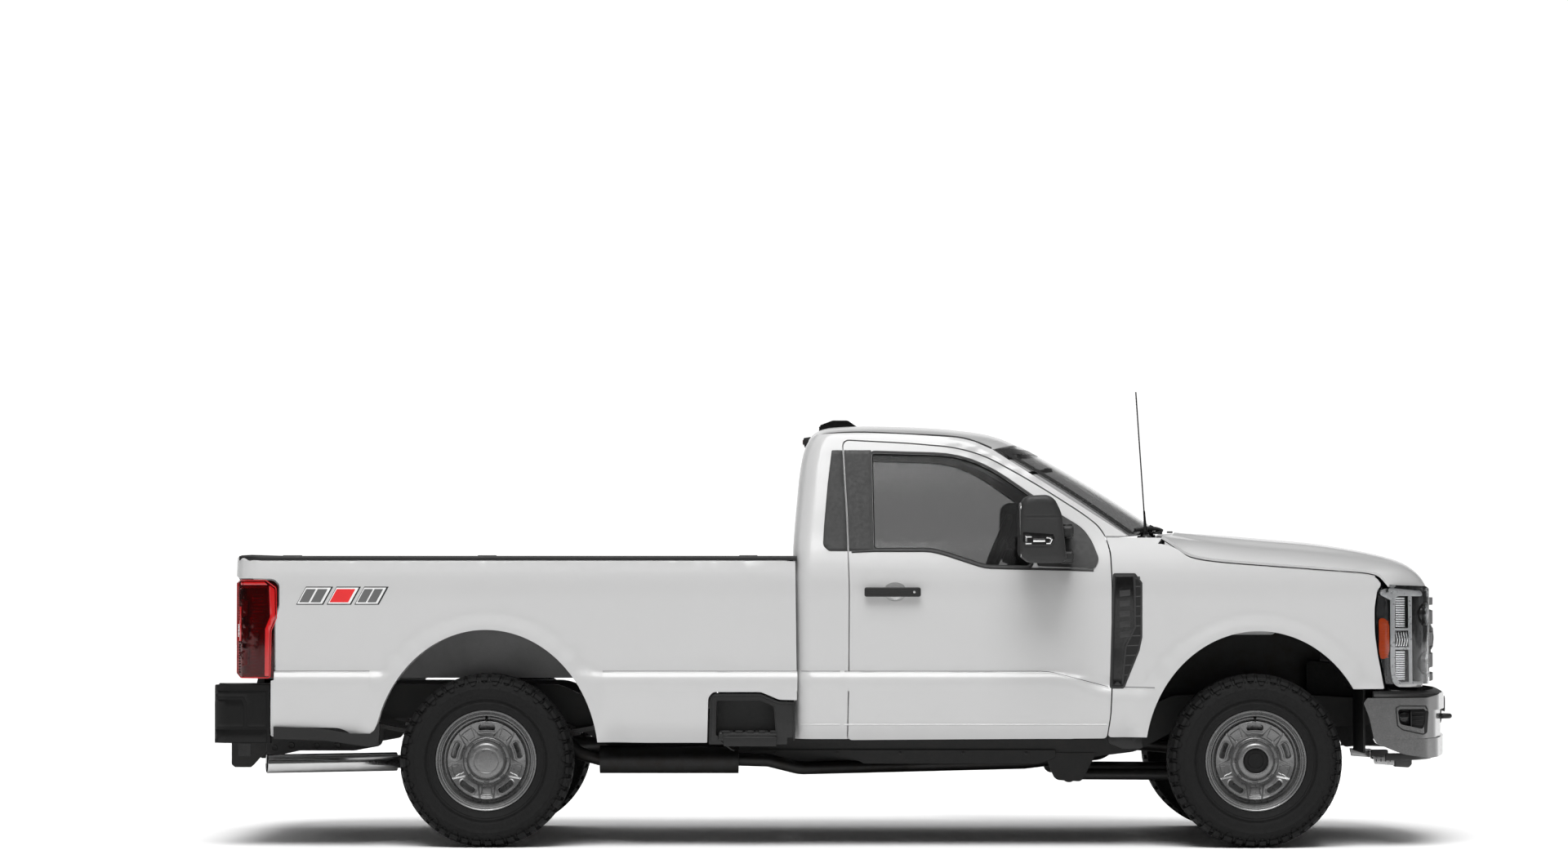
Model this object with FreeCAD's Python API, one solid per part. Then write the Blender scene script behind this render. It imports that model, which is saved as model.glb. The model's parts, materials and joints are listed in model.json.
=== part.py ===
import FreeCAD, Part
import math
import os

# Full-size single-cab, long-bed four-wheel-drive pickup.
# +X forward, +Y to the vehicle's left, +Z up, origin on the ground under the middle of the overall box.
# All sizes are millimetres.

os.makedirs("parts", exist_ok=True)
V = FreeCAD.Vector

# ---------------------------------------------------------------- driving dimensions
X_REAR = -2941.0          # rearmost point of the step bumper
X_FRONT = 2941.0          # foremost point of the front bumper
AXLE_F = 1951.0           # front axle
AXLE_R = -1646.0          # rear axle (wheelbase 3597)
TYRE_R = 406.0            # tyre outside radius
TYRE_W = 265.0            # tyre section width
TRACK_F = 1735.0
TRACK_R = 1707.0
RIM_R = 236.0             # rim flange radius
KINGPIN_Y = 715.0         # steering axis, each side
ARM_X = 210.0             # steering arm length
DOOR_GAP = 6.0
RAIL_TOP = 1358.0         # top of the bed sides
BED_FLOOR = 825.0         # load floor
TRACK_HALF_F = TRACK_F / 2
TRACK_HALF_R = TRACK_R / 2
ARCH_F = (AXLE_F + 12.0, 532.0, 606.0)     # ellipse centre x, half width, height above the hub
ARCH_R = (AXLE_R, 528.0, 612.0)


# ---------------------------------------------------------------- small maths
def pchip(pts):
    """Smooth monotone curve through points (x, y), as a function."""
    xs = [p[0] for p in pts]
    ys = [p[1] for p in pts]
    n = len(xs)
    h = [xs[i + 1] - xs[i] for i in range(n - 1)]
    d = [(ys[i + 1] - ys[i]) / h[i] for i in range(n - 1)]
    m = [0.0] * n
    m[0], m[-1] = d[0], d[-1]
    for i in range(1, n - 1):
        if d[i - 1] * d[i] > 0:
            w1, w2 = 2 * h[i] + h[i - 1], h[i] + 2 * h[i - 1]
            m[i] = (w1 + w2) / (w1 / d[i - 1] + w2 / d[i])

    def f(x):
        if x <= xs[0]:
            return ys[0] + m[0] * (x - xs[0])
        if x >= xs[-1]:
            return ys[-1] + m[-1] * (x - xs[-1])
        lo, hi = 0, n - 1
        while hi - lo > 1:
            mid = (lo + hi) // 2
            if xs[mid] <= x:
                lo = mid
            else:
                hi = mid
        t = (x - xs[lo]) / h[lo]
        a, b = ys[lo], ys[lo + 1]
        return ((1 + 2 * t) * (1 - t) ** 2 * a + t * (1 - t) ** 2 * h[lo] * m[lo]
                + t * t * (3 - 2 * t) * b + t * t * (t - 1) * h[lo] * m[lo + 1])
    return f


def smooth(t):
    t = max(0.0, min(1.0, t))
    return t * t * (3 - 2 * t)


def solve_rows(A, B):
    """Gaussian elimination, A n x n, B n x m."""
    n = len(A)
    A = [row[:] for row in A]
    B = [row[:] for row in B]
    for i in range(n):
        p = max(range(i, min(n, i + 6)), key=lambda r: abs(A[r][i]))
        A[i], A[p] = A[p], A[i]
        B[i], B[p] = B[p], B[i]
        for r in range(i + 1, min(n, i + 6)):
            k = A[r][i] / A[i][i]
            if k:
                for c in range(i, min(n, i + 12)):
                    A[r][c] -= k * A[i][c]
                for c in range(len(B[0])):
                    B[r][c] -= k * B[i][c]
    for i in range(n - 1, -1, -1):
        for c in range(len(B[0])):
            s = B[i][c]
            for j in range(i + 1, min(n, i + 12)):
                s -= A[i][j] * B[j][c]
            B[i][c] = s / A[i][i]
    return B


def knots_for(us):
    n = len(us)
    t = [us[0]] * 4
    for j in range(1, n - 3):
        t.append((us[j] + us[j + 1] + us[j + 2]) / 3.0)
    return t + [us[-1]] * 4


def basis_row(us, t, u):
    n = len(us)
    k = 3
    while k < n - 1 and u >= t[k + 1]:
        k += 1
    N = [0.0] * n
    b = [1.0]
    left, right = [0.0] * 4, [0.0] * 4
    for j in range(1, 4):
        left[j] = u - t[k + 1 - j]
        right[j] = t[k + j] - u
        saved = 0.0
        nb = []
        for r in range(j):
            tmp = b[r] / (right[r + 1] + left[j - r])
            nb.append(saved + right[r + 1] * tmp)
            saved = left[j - r] * tmp
        nb.append(saved)
        b = nb
    for j in range(4):
        N[k - 3 + j] = b[j]
    return N


def mults(t):
    ks, ms = [], []
    for x in t:
        if ks and abs(x - ks[-1]) < 1e-9:
            ms[-1] += 1
        else:
            ks.append(x)
            ms.append(1)
    return ks, ms


def spline_face(us, vs, P):
    """Cubic surface through the grid P[i][j] = (x, y, z)."""
    tu, tv = knots_for(us), knots_for(vs)
    Au = [basis_row(us, tu, u) for u in us]
    Av = [basis_row(vs, tv, v) for v in vs]
    nu, nv = len(us), len(vs)
    flat = [[c for j in range(nv) for c in P[i][j]] for i in range(nu)]
    R = solve_rows(Au, flat)
    S = [[[R[i][3 * j + c] for c in range(3)] for j in range(nv)] for i in range(nu)]
    T = [[c for i in range(nu) for c in S[i][j]] for j in range(nv)]
    Q = solve_rows(Av, T)
    poles = [[V(*Q[j][3 * i:3 * i + 3]) for j in range(nv)] for i in range(nu)]
    ku, mu = mults(tu)
    kv, mv = mults(tv)
    s = Part.BSplineSurface()
    s.buildFromPolesMultsKnots(poles, mu, mv, ku, kv, False, False, 3, 3)
    return s.toShape()


def spaced(a, b, step, extra=()):
    n = max(4, int(round((b - a) / step)))
    xs = [a + (b - a) * i / n for i in range(n + 1)]
    for e in extra:
        if a < e < b and min(abs(e - x) for x in xs) > 4:
            xs.append(e)
    return sorted(xs)


# ---------------------------------------------------------------- outlines
def rpoly_edges(pts, off=0.0):
    """Closed polygon [(a, b, r)] with rounded corners as a list of ('l', p, q) and ('a', p, m, q). off > 0 moves it inwards."""
    P = [(p[0], p[1]) for p in pts]
    R = [p[2] if len(p) > 2 else 0.0 for p in pts]
    n = len(P)
    area = sum(P[i][0] * P[(i + 1) % n][1] - P[(i + 1) % n][0] * P[i][1] for i in range(n)) / 2
    sg = 1.0 if area > 0 else -1.0
    if off:
        lines = []
        for i in range(n):
            (ax, ay), (bx, by) = P[i], P[(i + 1) % n]
            L = math.hypot(bx - ax, by - ay)
            nx, ny = -(by - ay) / L * sg, (bx - ax) / L * sg
            lines.append((ax + nx * off, ay + ny * off, (bx - ax) / L, (by - ay) / L))
        Q, RR = [], []
        for i in range(n):
            x1, y1, dx1, dy1 = lines[i - 1]
            x2, y2, dx2, dy2 = lines[i]
            den = dx1 * dy2 - dy1 * dx2
            if abs(den) < 1e-6:
                Q.append((x2, y2))
            else:
                t = ((x2 - x1) * dy2 - (y2 - y1) * dx2) / den
                Q.append((x1 + dx1 * t, y1 + dy1 * t))
            convex = den * sg > 0
            r = R[i] - off if convex else R[i] + off
            RR.append(max(r, 0.0))
        P, R = Q, RR
    segs = []
    cut = []
    for i in range(n):
        p, a, b = P[i], P[i - 1], P[(i + 1) % n]
        u = (a[0] - p[0], a[1] - p[1])
        w = (b[0] - p[0], b[1] - p[1])
        lu, lw = math.hypot(*u), math.hypot(*w)
        u, w = (u[0] / lu, u[1] / lu), (w[0] / lw, w[1] / lw)
        dot = max(-1.0, min(1.0, u[0] * w[0] + u[1] * w[1]))
        ang = math.acos(dot)
        if R[i] > 0.01 and ang < math.pi - 1e-3:
            t = min(R[i] / math.tan(ang / 2), 0.49 * lu, 0.49 * lw)
            r = t * math.tan(ang / 2)
            h = math.hypot(t, r)
            bis = (u[0] + w[0], u[1] + w[1])
            lb = math.hypot(*bis)
            c = (p[0] + bis[0] / lb * h, p[1] + bis[1] / lb * h)
            m = (c[0] - bis[0] / lb * r, c[1] - bis[1] / lb * r)
            cut.append(((p[0] + u[0] * t, p[1] + u[1] * t), m, (p[0] + w[0] * t, p[1] + w[1] * t)))
        else:
            cut.append((p, None, p))
    for i in range(n):
        s, m, e = cut[i]
        if m:
            segs.append(("a", s, m, e))
        nxt = cut[(i + 1) % n][0]
        if math.hypot(nxt[0] - e[0], nxt[1] - e[1]) > 1e-4:
            segs.append(("l", e, nxt))
    return segs


def face_of(pts, place, off=0.0):
    es = []
    for s in rpoly_edges(pts, off):
        q = [V(*place(*p)) for p in s[1:]]
        es.append(Part.Arc(*q).toShape() if s[0] == "a" else Part.makeLine(*q))
    return Part.Face(Part.Wire(es))


def prism_y(pts, y0, y1, off=0.0):
    return face_of(pts, lambda a, b: (a, y0, b), off).extrude(V(0, y1 - y0, 0))


def prism_z(pts, z0, z1, off=0.0):
    return face_of(pts, lambda a, b: (a, b, z0), off).extrude(V(0, 0, z1 - z0))


def prism_x(pts, x0, x1, off=0.0):
    return face_of(pts, lambda a, b: (x0, a, b), off).extrude(V(x1 - x0, 0, 0))


def box(x0, x1, y0, y1, z0, z1, r=0.0, axis="z"):
    b = Part.makeBox(x1 - x0, y1 - y0, z1 - z0, V(x0, y0, z0))
    if r:
        d = {"x": 0, "y": 1, "z": 2}[axis]
        es = [e for e in b.Edges if abs(tuple(e.Vertexes[1].Point - e.Vertexes[0].Point)[d]) > 1e-6]
        b = b.makeFillet(r, es)
    return b


def soft_box(x0, x1, y0, y1, z0, z1, r):
    b = Part.makeBox(x1 - x0, y1 - y0, z1 - z0, V(x0, y0, z0))
    return b.makeFillet(r, b.Edges)


def cyl(p, d, r, h):
    return Part.makeCylinder(r, h, V(*p), V(*d))


def tube_between(a, b, r):
    a, b = V(*a), V(*b)
    d = b - a
    return Part.makeCylinder(r, d.Length, a, d)


def mirror(s):
    return s.mirror(V(0, 0, 0), V(0, 1, 0))


def fuse(shapes):
    s = shapes[0].multiFuse(shapes[1:]) if len(shapes) > 1 else shapes[0]
    try:
        s = s.removeSplitter()
    except Exception:
        pass
    return s


def bent_pipe(points, r, bend):
    """Round bar along straight runs joined by tangent arcs of radius bend."""
    pts = [V(*p) for p in points]
    edges = []
    prev = pts[0]
    for i in range(1, len(pts) - 1):
        a, p, b = pts[i - 1], pts[i], pts[i + 1]
        u = (a - p).normalize()
        w = (b - p).normalize()
        ang = u.getAngle(w)
        if ang > math.pi - 0.01:
            continue
        t = min(bend / math.tan(ang / 2), 0.45 * (a - p).Length, 0.45 * (b - p).Length)
        rr = t * math.tan(ang / 2)
        bis = (u + w).normalize()
        c = p + bis * math.hypot(t, rr)
        m = c - bis * rr
        s, e = p + u * t, p + w * t
        edges.append(Part.makeLine(prev, s))
        edges.append(Part.Arc(s, m, e).toShape())
        prev = e
    edges.append(Part.makeLine(prev, pts[-1]))
    path = Part.Wire(edges)
    d = (pts[1] - pts[0]).normalize()
    prof = Part.Wire([Part.makeCircle(r, pts[0], d)])
    return path.makePipeShell([prof], True, True)


# ---------------------------------------------------------------- body skin
BASE = pchip([(470, 950), (505, 972), (545, 990), (585, 1000), (700, 1006), (760, 1007), (785, 1004.5), (805, 998),
              (818, 991.5), (826, 988.5), (836, 987.5), (900, 988.5), (1050, 993), (1180, 998), (1235, 997), (1290, 988),
              (1340, 973), (1385, 957), (1430, 940), (1600, 879), (1800, 806), (1900, 769), (1960, 745), (2010, 722)])
BACK = pchip([(480, -205), (1380, -210), (1500, -203), (1634, -191), (1748, -180), (1863, -157), (1930, -122), (1960, -88), (1990, -20)])


def flare(x, z, arch):
    cx, a, b = arch
    rho = math.hypot((x - cx) * b / a, z - TYRE_R)
    return smooth((b + 96.0 - rho) / 84.0)


def w_lower(x, z):
    """Half width of the painted skin at a point of the side view."""
    w = BASE(z + 73.0 * smooth((x - 1070.0) / 200.0) * smooth((z - 560) / 120.0) * smooth((960 - z) / 110.0))
    for arch in (ARCH_F, ARCH_R):
        k = flare(x, z, arch)
        if k > 0:
            w += (max(w, 1012.0) - w) * k
    if x > 2080:
        w -= 62.0 * ((x - 2080) / 620.0) ** 2.4
    return w


def corner(d, r):
    """Loss of half width at distance d from an edge rounded at radius r."""
    if d >= r:
        return 0.0
    d = max(d, 0.06 * r)
    return r - math.sqrt(r * r - (r - d) * (r - d))


WS_A, WS_B = (735.0, 1869.0), (1362.0, 1456.0)      # windshield edge in the side view


def ws_dist(x, z):
    """Distance of a side-view point behind the windshield edge line."""
    dx, dz = WS_B[0] - WS_A[0], WS_B[1] - WS_A[1]
    L = math.hypot(dx, dz)
    return ((x - WS_A[0]) * dz - (z - WS_A[1]) * dx) / L


ROOF_EDGE = pchip([(-240, 1900), (-160, 1925), (-88, 1944), (0, 1951), (100, 1953), (338, 1943), (574, 1929), (646, 1911), (735, 1872), (800, 1832)])


def w_cab(x, z):
    w = w_lower(x, z)
    w -= corner(x - BACK(z), 95.0)
    if z > 1380:
        w -= corner(ROOF_EDGE(x) + 8 - z, 34.0) * smooth((z - 1750) / 60.0)
    return w


def w_bed(x, z):
    w = w_lower(x, z)
    w -= corner(x + 2822.0, 120.0)
    w -= corner(RAIL_TOP + 10 - z, 26.0)
    return w


def side_slab(fn, xs, zs, t0, t1):
    """Solid between the skin moved in by t0 and by t1, on the right side (-Y)."""
    P = [[(x, -fn(x, z) + t0, z) for z in zs] for x in xs]
    return spline_face(xs, zs, P).extrude(V(0, t1 - t0, 0))


def arch_cut(arch, y0, y1, grow=0.0):
    cx, a, b = arch
    e = Part.Ellipse(V(cx, y0, TYRE_R), b + grow, a + grow)
    e = Part.Ellipse(V(cx, y0, TYRE_R + b + grow), V(cx + a + grow, y0, TYRE_R), V(cx, y0, TYRE_R))
    f = Part.Face(Part.Wire([e.toShape()]))
    s = f.extrude(V(0, y1 - y0, 0))
    legs = Part.makeBox(2 * (a + grow), y1 - y0, 500, V(cx - a - grow, y0, TYRE_R - 500))
    return s.fuse(legs)


# ---------------------------------------------------------------- outlines in the side view (x, z, corner radius)
DOOR = [(47, 503, 18), (54, 820, 2000), (56, 1225, 2000), (44, 1560, 3000), (25, 1909, 26), (334, 1893, 3000), (560, 1873, 700),
        (700, 1830, 600), (922, 1706, 4000), (1157, 1553, 3000), (1236, 1488, 180), (1272, 1390, 260), (1278, 1235, 900),
        (1277, 760, 900), (1270, 620, 400), (1254, 511, 18)]
GLASS = [(168, 1396, 14), (440, 1396, 260), (513, 1376, 260), (690, 1318, 200), (900, 1312, 22),
         (935, 1622, 16), (742, 1757, 900), (629, 1812, 500), (511, 1838, 900), (160, 1848, 14)]
SAIL = [(930, 1316, 14), (1200, 1306, 20), (1222, 1345, 60), (1190, 1430, 200), (1150, 1492, 200), (962, 1610, 14)]
CAB_SIDE = [(-260, 508, 4), (-260, 1700, 20), (-188, 1936, 30), (-88, 1940, 300), (100, 1948, 2000), (338, 1938, 3000), (574, 1923, 400), (646, 1904, 200), (730, 1867, 12),
            (1357, 1457, 3), (1100, 1457, 3), (1100, 508, 3)]
FENDER = [(1260, 517, 14), (1276, 622, 400), (1283, 760, 900), (1284, 1235, 900), (1278, 1392, 260), (1248, 1449, 10),
          (1519, 1449, 60), (1589, 1402, 120), (1650, 1357, 60), (1706, 1339, 500), (2057, 1312, 3000), (2290, 1295, 3000), (2506, 1282, 60), (2548, 1240, 30),
          (2520, 1200, 40), (2507, 1120, 300), (2509, 1000, 400), (2523, 900, 600), (2553, 742, 6), (2300, 742, 3), (2300, 517, 3)]
BED_SIDE = [(-2822, 1345, 10), (-2826, 1272, 40), (-2806, 1258, 10), (-2640, 1258, 60), (-2611, 1230, 30), (-2611, 1130, 40), (-2630, 1060, 60), (-2630, 786, 6),
            (-2650, 780, 4), (-2652, 512, 10), (-2560, 563, 500), (-2320, 560, 600), (-2260, 520, 200), (-2240, 515, 4), (-2165, 508, 6),
            (-900, 490, 4), (-612, 490, 4), (-606, 700, 26), (-585, 728, 26), (-360, 728, 60), (-275, 692, 60), (-192, 690, 3), (-200, 1358, 4), (-2822, 1358, 6)]

BACK_HALF = [(901, 652, 20), (895, 1180, 900), (873, 1330, 300), (854, 1385, 900), (837, 1430, 900), (776, 1600, 900), (703, 1800, 900), (670, 1889, 40)]
BACK_OUT = BACK_HALF + [(0, 1922, 9000)] + [(-a, b, r) for a, b, r in reversed(BACK_HALF)]

bodies = {}


def put(name, shape):
    bodies[name] = shape


# ---------------------------------------------------------------- doors
xs_door = spaced(20, 1290, 85)
zs_door = spaced(490, 1925, 34, (798, 810, 819, 828, 840, 1340, 1385, 1430))


def w_door(x, z):
    return w_cab(max(x, 30), z)


skin = side_slab(w_door, xs_door, zs_door, 0, 16)
inner = side_slab(w_door, xs_door, zs_door, 16, 86)
frame_in = side_slab(w_door, xs_door, zs_door, 16, 44)
# handle recess scooped out of the skin
d_skin = skin.common(prism_y(DOOR, -1100, -600))
scoop = Part.makeSphere(62, V(0, 0, 0))
m = FreeCAD.Matrix()
m.scale(1.0, 0.62, 0.82)
scoop = scoop.transformGeometry(m)
scoop.translate(V(267, -1016, 1196))
d_low = inner.common(prism_y(DOOR, -1100, -600, 22)).common(box(-100, 1400, -1100, -500, 480, 1392))
d_up = frame_in.common(prism_y(DOOR, -1100, -600, 22)).common(box(-100, 1400, -1100, -500, 1392, 1950))
win = prism_y(GLASS, -1100, -500)
door = fuse([d_skin, d_low, d_up]).cut(win)
# slot the glass into the lower half of the door and leave a window channel
chan = side_slab(w_door, xs_door, zs_door, 12, 22).common(prism_y(GLASS, -1100, -600, -9))
door = door.cut(chan)
door = door.cut(scoop)
door = door.cut(side_slab(w_door, xs_door, zs_door, -20, 6).common(prism_y(SAIL, -1100, -600, -1.5)))
handle = soft_box(126, 384, -1030, -1010, 1175, 1214, 8)
feet = [soft_box(134, 176, -1022, -992, 1180, 1210, 5), soft_box(336, 376, -1022, -992, 1180, 1210, 5)]
door = fuse([door] + [handle] + feet)
put("door_right", door)
glass = side_slab(w_door, xs_door, zs_door, 13, 18).common(prism_y(GLASS, -1100, -600, -5))
put("door_glass_right", glass)

# door mirror: sail on the door, two arms and a tall housing
sail = side_slab(w_door, xs_door, zs_door, -7, 5.5).common(prism_y(SAIL, -1100, -600))
arm1 = fuse([soft_box(1035, 1092, -1205, -925, 1452, 1502, 16)])
arm2 = fuse([soft_box(1035, 1092, -1205, -935, 1335, 1385, 16)])
house = prism_y([(833, 1368, 40), (838, 1600, 60), (868, 1640, 40), (985, 1645, 60), (1030, 1560, 160), (1052, 1345, 40), (1030, 1330, 30), (880, 1330, 50)], -1338, -1105)
try:
    es = [e for e in house.Edges if abs(e.CenterOfMass.y + 1338) < 1]
    house = house.makeFillet(26, es)
except Exception:
    pass
house = house.cut(prism_y([(800, 1345, 30), (800, 1628, 30), (845, 1628, 30), (845, 1345, 30)], -1325, -1120))
foot = prism_y([(1010, 1300, 20), (1010, 1345, 10), (1100, 1345, 20), (1100, 1318, 20)], -1010, -950)
mirror_r = fuse([sail, arm1, arm2, house])
mirror_r = mirror_r.cut(door).cut(glass)
mirror_r = max(mirror_r.Solids, key=lambda q: q.Volume)
put("mirror_right", mirror_r)

# ---------------------------------------------------------------- cab
xs_cab = sorted(set([BACK(1200) + 2 + d for d in (0, 8, 20, 36, 56, 80, 110)] + spaced(-70, 1390, 73)))
zs_cab = spaced(490, 1965, 36, (798, 810, 819, 828, 840, 1340, 1385, 1430, 1900, 1930))
# the cab side is laid out on a grid that follows the leaning back edge
us = [0, 8, 20, 36, 56, 80, 110, 150] + spaced(220, 1600, 74)


def cab_point(u, z, t):
    x = BACK(z) + u
    return (x, -w_cab(x, z) + t, z)


P = [[cab_point(u, z, 0) for z in zs_cab] for u in us]
cab_slab = spline_face(us, zs_cab, P).extrude(V(0, 72, 0))
cs = cab_slab.common(prism_y(CAB_SIDE, -1100, -500))
P = [[cab_point(u, z, 24.0) for z in zs_cab] for u in us]
deep = spline_face(us, zs_cab, P).extrude(V(0, 60, 0))
outer = spline_face(us, zs_cab, P).extrude(V(0, -80, 0))
# a narrow gap round the door's skin, a ledge behind it for the seal, and a wide gap at the hinges
cs = cs.cut(prism_y(DOOR, -1100, -500, -DOOR_GAP).common(outer))
cs = cs.cut(prism_y(DOOR, -1100, -500, 16).common(deep))
cs = cs.cut(box(1150, 1400, -1100, -500, 480, 1500).common(prism_y(DOOR, -1100, -500, -DOOR_GAP)))
cs = cs.cut(box(-300, 1500, -703, -400, 1700, 2100))
# keep the panel off the cab back
cs = cs.cut(prism_x(BACK_OUT, -400, -124, -5.0))
cs = max(cs.Solids, key=lambda s: s.Volume) if len(cs.Solids) > 1 else cs
put("cab_side_right", cs)

# cab back panel: a slab following the same leaning back line
ys_b = [-910, -880, -840, -790, -720, -620, -500, -380, -240, -120, 0, 120, 240, 380, 500, 620, 720, 790, 840, 880, 910]
zs_b = spaced(560, 1975, 59, (1900, 1940))


def back_x(y, z):
    return BACK(z) + 1 + 9 * (abs(y) / (BASE(z) - 98.0)) ** 8


P = [[(back_x(y, z), y, z) for z in zs_b] for y in ys_b]
back = spline_face(ys_b, zs_b, P).extrude(V(60, 0, 0))
REAR_WIN = [(-640, 1462, 60), (640, 1462, 60), (596, 1800, 70), (-596, 1800, 70)]
back_void = spline_face(ys_b, zs_b, P)
back_void.translate(V(-50, 0, 0))
back_void = back_void.extrude(V(116, 0, 0)).common(prism_x(BACK_OUT, -400, 200, -6.0))
back = back.common(prism_x(BACK_OUT, -400, 200)).cut(prism_x(REAR_WIN, -400, 200))
rear_glass_slab = spline_face(ys_b, zs_b, P)
rear_glass_slab.translate(V(8, 0, 0))
rear_glass = rear_glass_slab.extrude(V(6, 0, 0)).common(prism_x(REAR_WIN, -400, 200, 1.0))
put("cab_back", back)

# roof: crowned panel between the drip lines
RC = pchip([(-140, 1925), (-118, 1952), (-90, 1971), (-50, 1984), (0, 1990), (150, 1995), (300, 1992), (460, 1985), (620, 1970), (700, 1959), (780, 1939), (858, 1906), (960, 1855)])
RE = pchip([(-140, 1895), (-118, 1915), (-88, 1932), (0, 1944), (100, 1948), (338, 1939), (574, 1925), (646, 1907), (735, 1870), (860, 1795), (960, 1730)])
xs_r = [-138, -125, -108, -85, -55, -10] + spaced(60, 950, 68)
ys_r = [-702, -680, -640, -580, -490, -370, -240, -120, 0, 120, 240, 370, 490, 580, 640, 680, 702]


def roof_z(x, y):
    t = (abs(y) / 702.0)
    k = 1 - t ** 2.6
    xx = x + 142.0 * t * t if x > 500 else x + 142.0 * t * t * smooth((x + 100) / 600.0)
    return RE(x if x < 600 else x) * (1 - k) + RC(xx if False else x) * k


P = [[(x, y, roof_z(x, y)) for y in ys_r] for x in xs_r]
roof = spline_face(xs_r, ys_r, P).extrude(V(0, 0, -46))


def plan_cut(fn, y_max, x_far, n=24):
    """Prism ahead of a plan curve x = fn(y), to cut a panel's front edge."""
    pts = [V(fn(y_max * (2.0 * i / n - 1)), y_max * (2.0 * i / n - 1), 1000) for i in range(n + 1)]
    c = Part.BSplineCurve()
    c.interpolate(pts)
    a, b = pts[0], pts[-1]
    w = Part.Wire([c.toShape(), Part.makeLine(b, V(x_far, b.y, 1000)), Part.makeLine(V(x_far, b.y, 1000), V(x_far, a.y, 1000)), Part.makeLine(V(x_far, a.y, 1000), a)])
    return Part.Face(w).extrude(V(0, 0, 1100))


def roof_front(y):
    return 878.0 - 142.0 * (abs(y) / 702.0) ** 2


roof = roof.cut(plan_cut(roof_front, 760, 1300))
# the roof lies over the back panel's top edge
roof = roof.cut(back_void)
roof = max(roof.Solids, key=lambda q: q.Volume)
fin = prism_y([(-85, 1980, 0), (-78, 2002, 14), (-20, 2024, 26), (50, 2024, 60), (105, 1986, 0)], -62, 62)
fin = fin.cut(box(-200, 300, -200, 200, 1900, 1989))
put("roof", roof)

# windshield: sheet of glass bowed in plan, from the roof edge to the cowl
ts = [0, 0.12, 0.26, 0.42, 0.58, 0.74, 0.88, 1.0]


def ws_point(t, s):
    yw = 703 + 148 * t
    xc, zc = 890 + (1574 - 890) * t, 1897 + (1478 - 1897) * t
    xe, ze = 748 + (1374 - 748) * t, 1870 + (1462 - 1870) * t
    k = abs(s) ** 2.2
    bow = 10 * math.sin(math.pi * t)
    return (xc + (xe - xc) * k + bow * 0.55, s * yw, zc + (ze - zc) * k + bow)


ss = [-1, -0.94, -0.84, -0.7, -0.52, -0.35, -0.17, 0, 0.17, 0.35, 0.52, 0.7, 0.84, 0.94, 1]
P = [[ws_point(t, s) for s in ss] for t in ts]
wind = spline_face([1000 * t for t in ts], [1000 * s for s in ss], P).extrude(V(-4.0, 0, -5.0))
# the rear window is wired in a third sheet, with the windshield as one glass node
put("cab_glass", Part.Compound([wind, rear_glass]))

# floor, firewall, sills and hinge pillars
floor = box(-122, 1300, -878, 878, 655, 698)
tunnel = prism_x([(-230, 690, 0), (230, 690, 0), (190, 790, 40), (-190, 790, 40)], 500, 1372)
toe = prism_y([(1296, 655, 0), (1300, 698, 0), (1372, 830, 0), (1420, 830, 0), (1420, 655, 0)], -878, 878)
fire = box(1372, 1420, -878, 878, 820, 1395)
sill_l = box(-120, 1290, 800, 878, 560, 656)
pill_l = prism_z([(1297, 878, 0), (1420, 878, 0), (1420, 902, 8), (1297, 902, 8)], 600, 1395)
jamb_l = box(1252, 1300, 866, 884, 600, 1270)
floor = fuse([floor, tunnel, toe, fire, sill_l, mirror(sill_l), pill_l, mirror(pill_l), jamb_l, mirror(jamb_l)])
put("cab_floor", floor)

# ---------------------------------------------------------------- front fenders
xs_f = spaced(1240, 2580, 62)
zs_f = spaced(500, 1470, 34, (798, 810, 819, 828, 840))


def w_fender(x, z):
    w = w_lower(x, z)
    top = 1449 if x < 1540 else (1339 + (1449 - 1339) * smooth((1706 - x) / 166.0) if x < 1706 else 1339 - (x - 1706) * 0.0712)
    if z > 1300:
        w -= 0.0
    return w


fs = side_slab(w_fender, xs_f, zs_f, 0, 24)
fen = fs.common(prism_y(FENDER, -1100, -700)).cut(prism_y(DOOR, -1100, -500, -DOOR_GAP))
fen = fen.cut(arch_cut(ARCH_F, -1100, -700))
# air outlet behind the wheel: a sunk pocket
VENT = [(1292, 1228, 6), (1372, 1228, 26), (1388, 1200, 26), (1388, 1060, 30), (1366, 980, 60), (1325, 812, 8), (1292, 812, 6)]
fen = fen.cut(side_slab(w_fender, xs_f, zs_f, -10, 20).common(prism_y(VENT, -1100, -700)))
put("fender_right", fen)

# ---------------------------------------------------------------- hood
HC = [(1650, 1470), (1760, 1464), (1900, 1455), (2122, 1436), (2300, 1419), (2440, 1400), (2560, 1381), (2640, 1364), (2705, 1342), (2760, 1308), (2800, 1266), (2822, 1222), (2828, 1180)]
HE = [(1520, 1462), (1585, 1420), (1640, 1384), (1800, 1353), (2000, 1337), (2180, 1324), (2330, 1313), (2430, 1306), (2492, 1299), (2535, 1284), (2558, 1262), (2572, 1246), (2578, 1236)]
HEY = [w_lower(x, min(z, 1440)) - 3 for x, z in HE]
sp = [0.0]
for i in range(1, len(HC)):
    sp.append(sp[-1] + math.hypot(HC[i][0] - HC[i - 1][0], HC[i][1] - HC[i - 1][1]))
tt = [-1, -0.97, -0.92, -0.85, -0.76, -0.68, -0.6, -0.5, -0.36, -0.18, 0, 0.18, 0.36, 0.5, 0.6, 0.68, 0.76, 0.85, 0.92, 0.97, 1]


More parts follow.
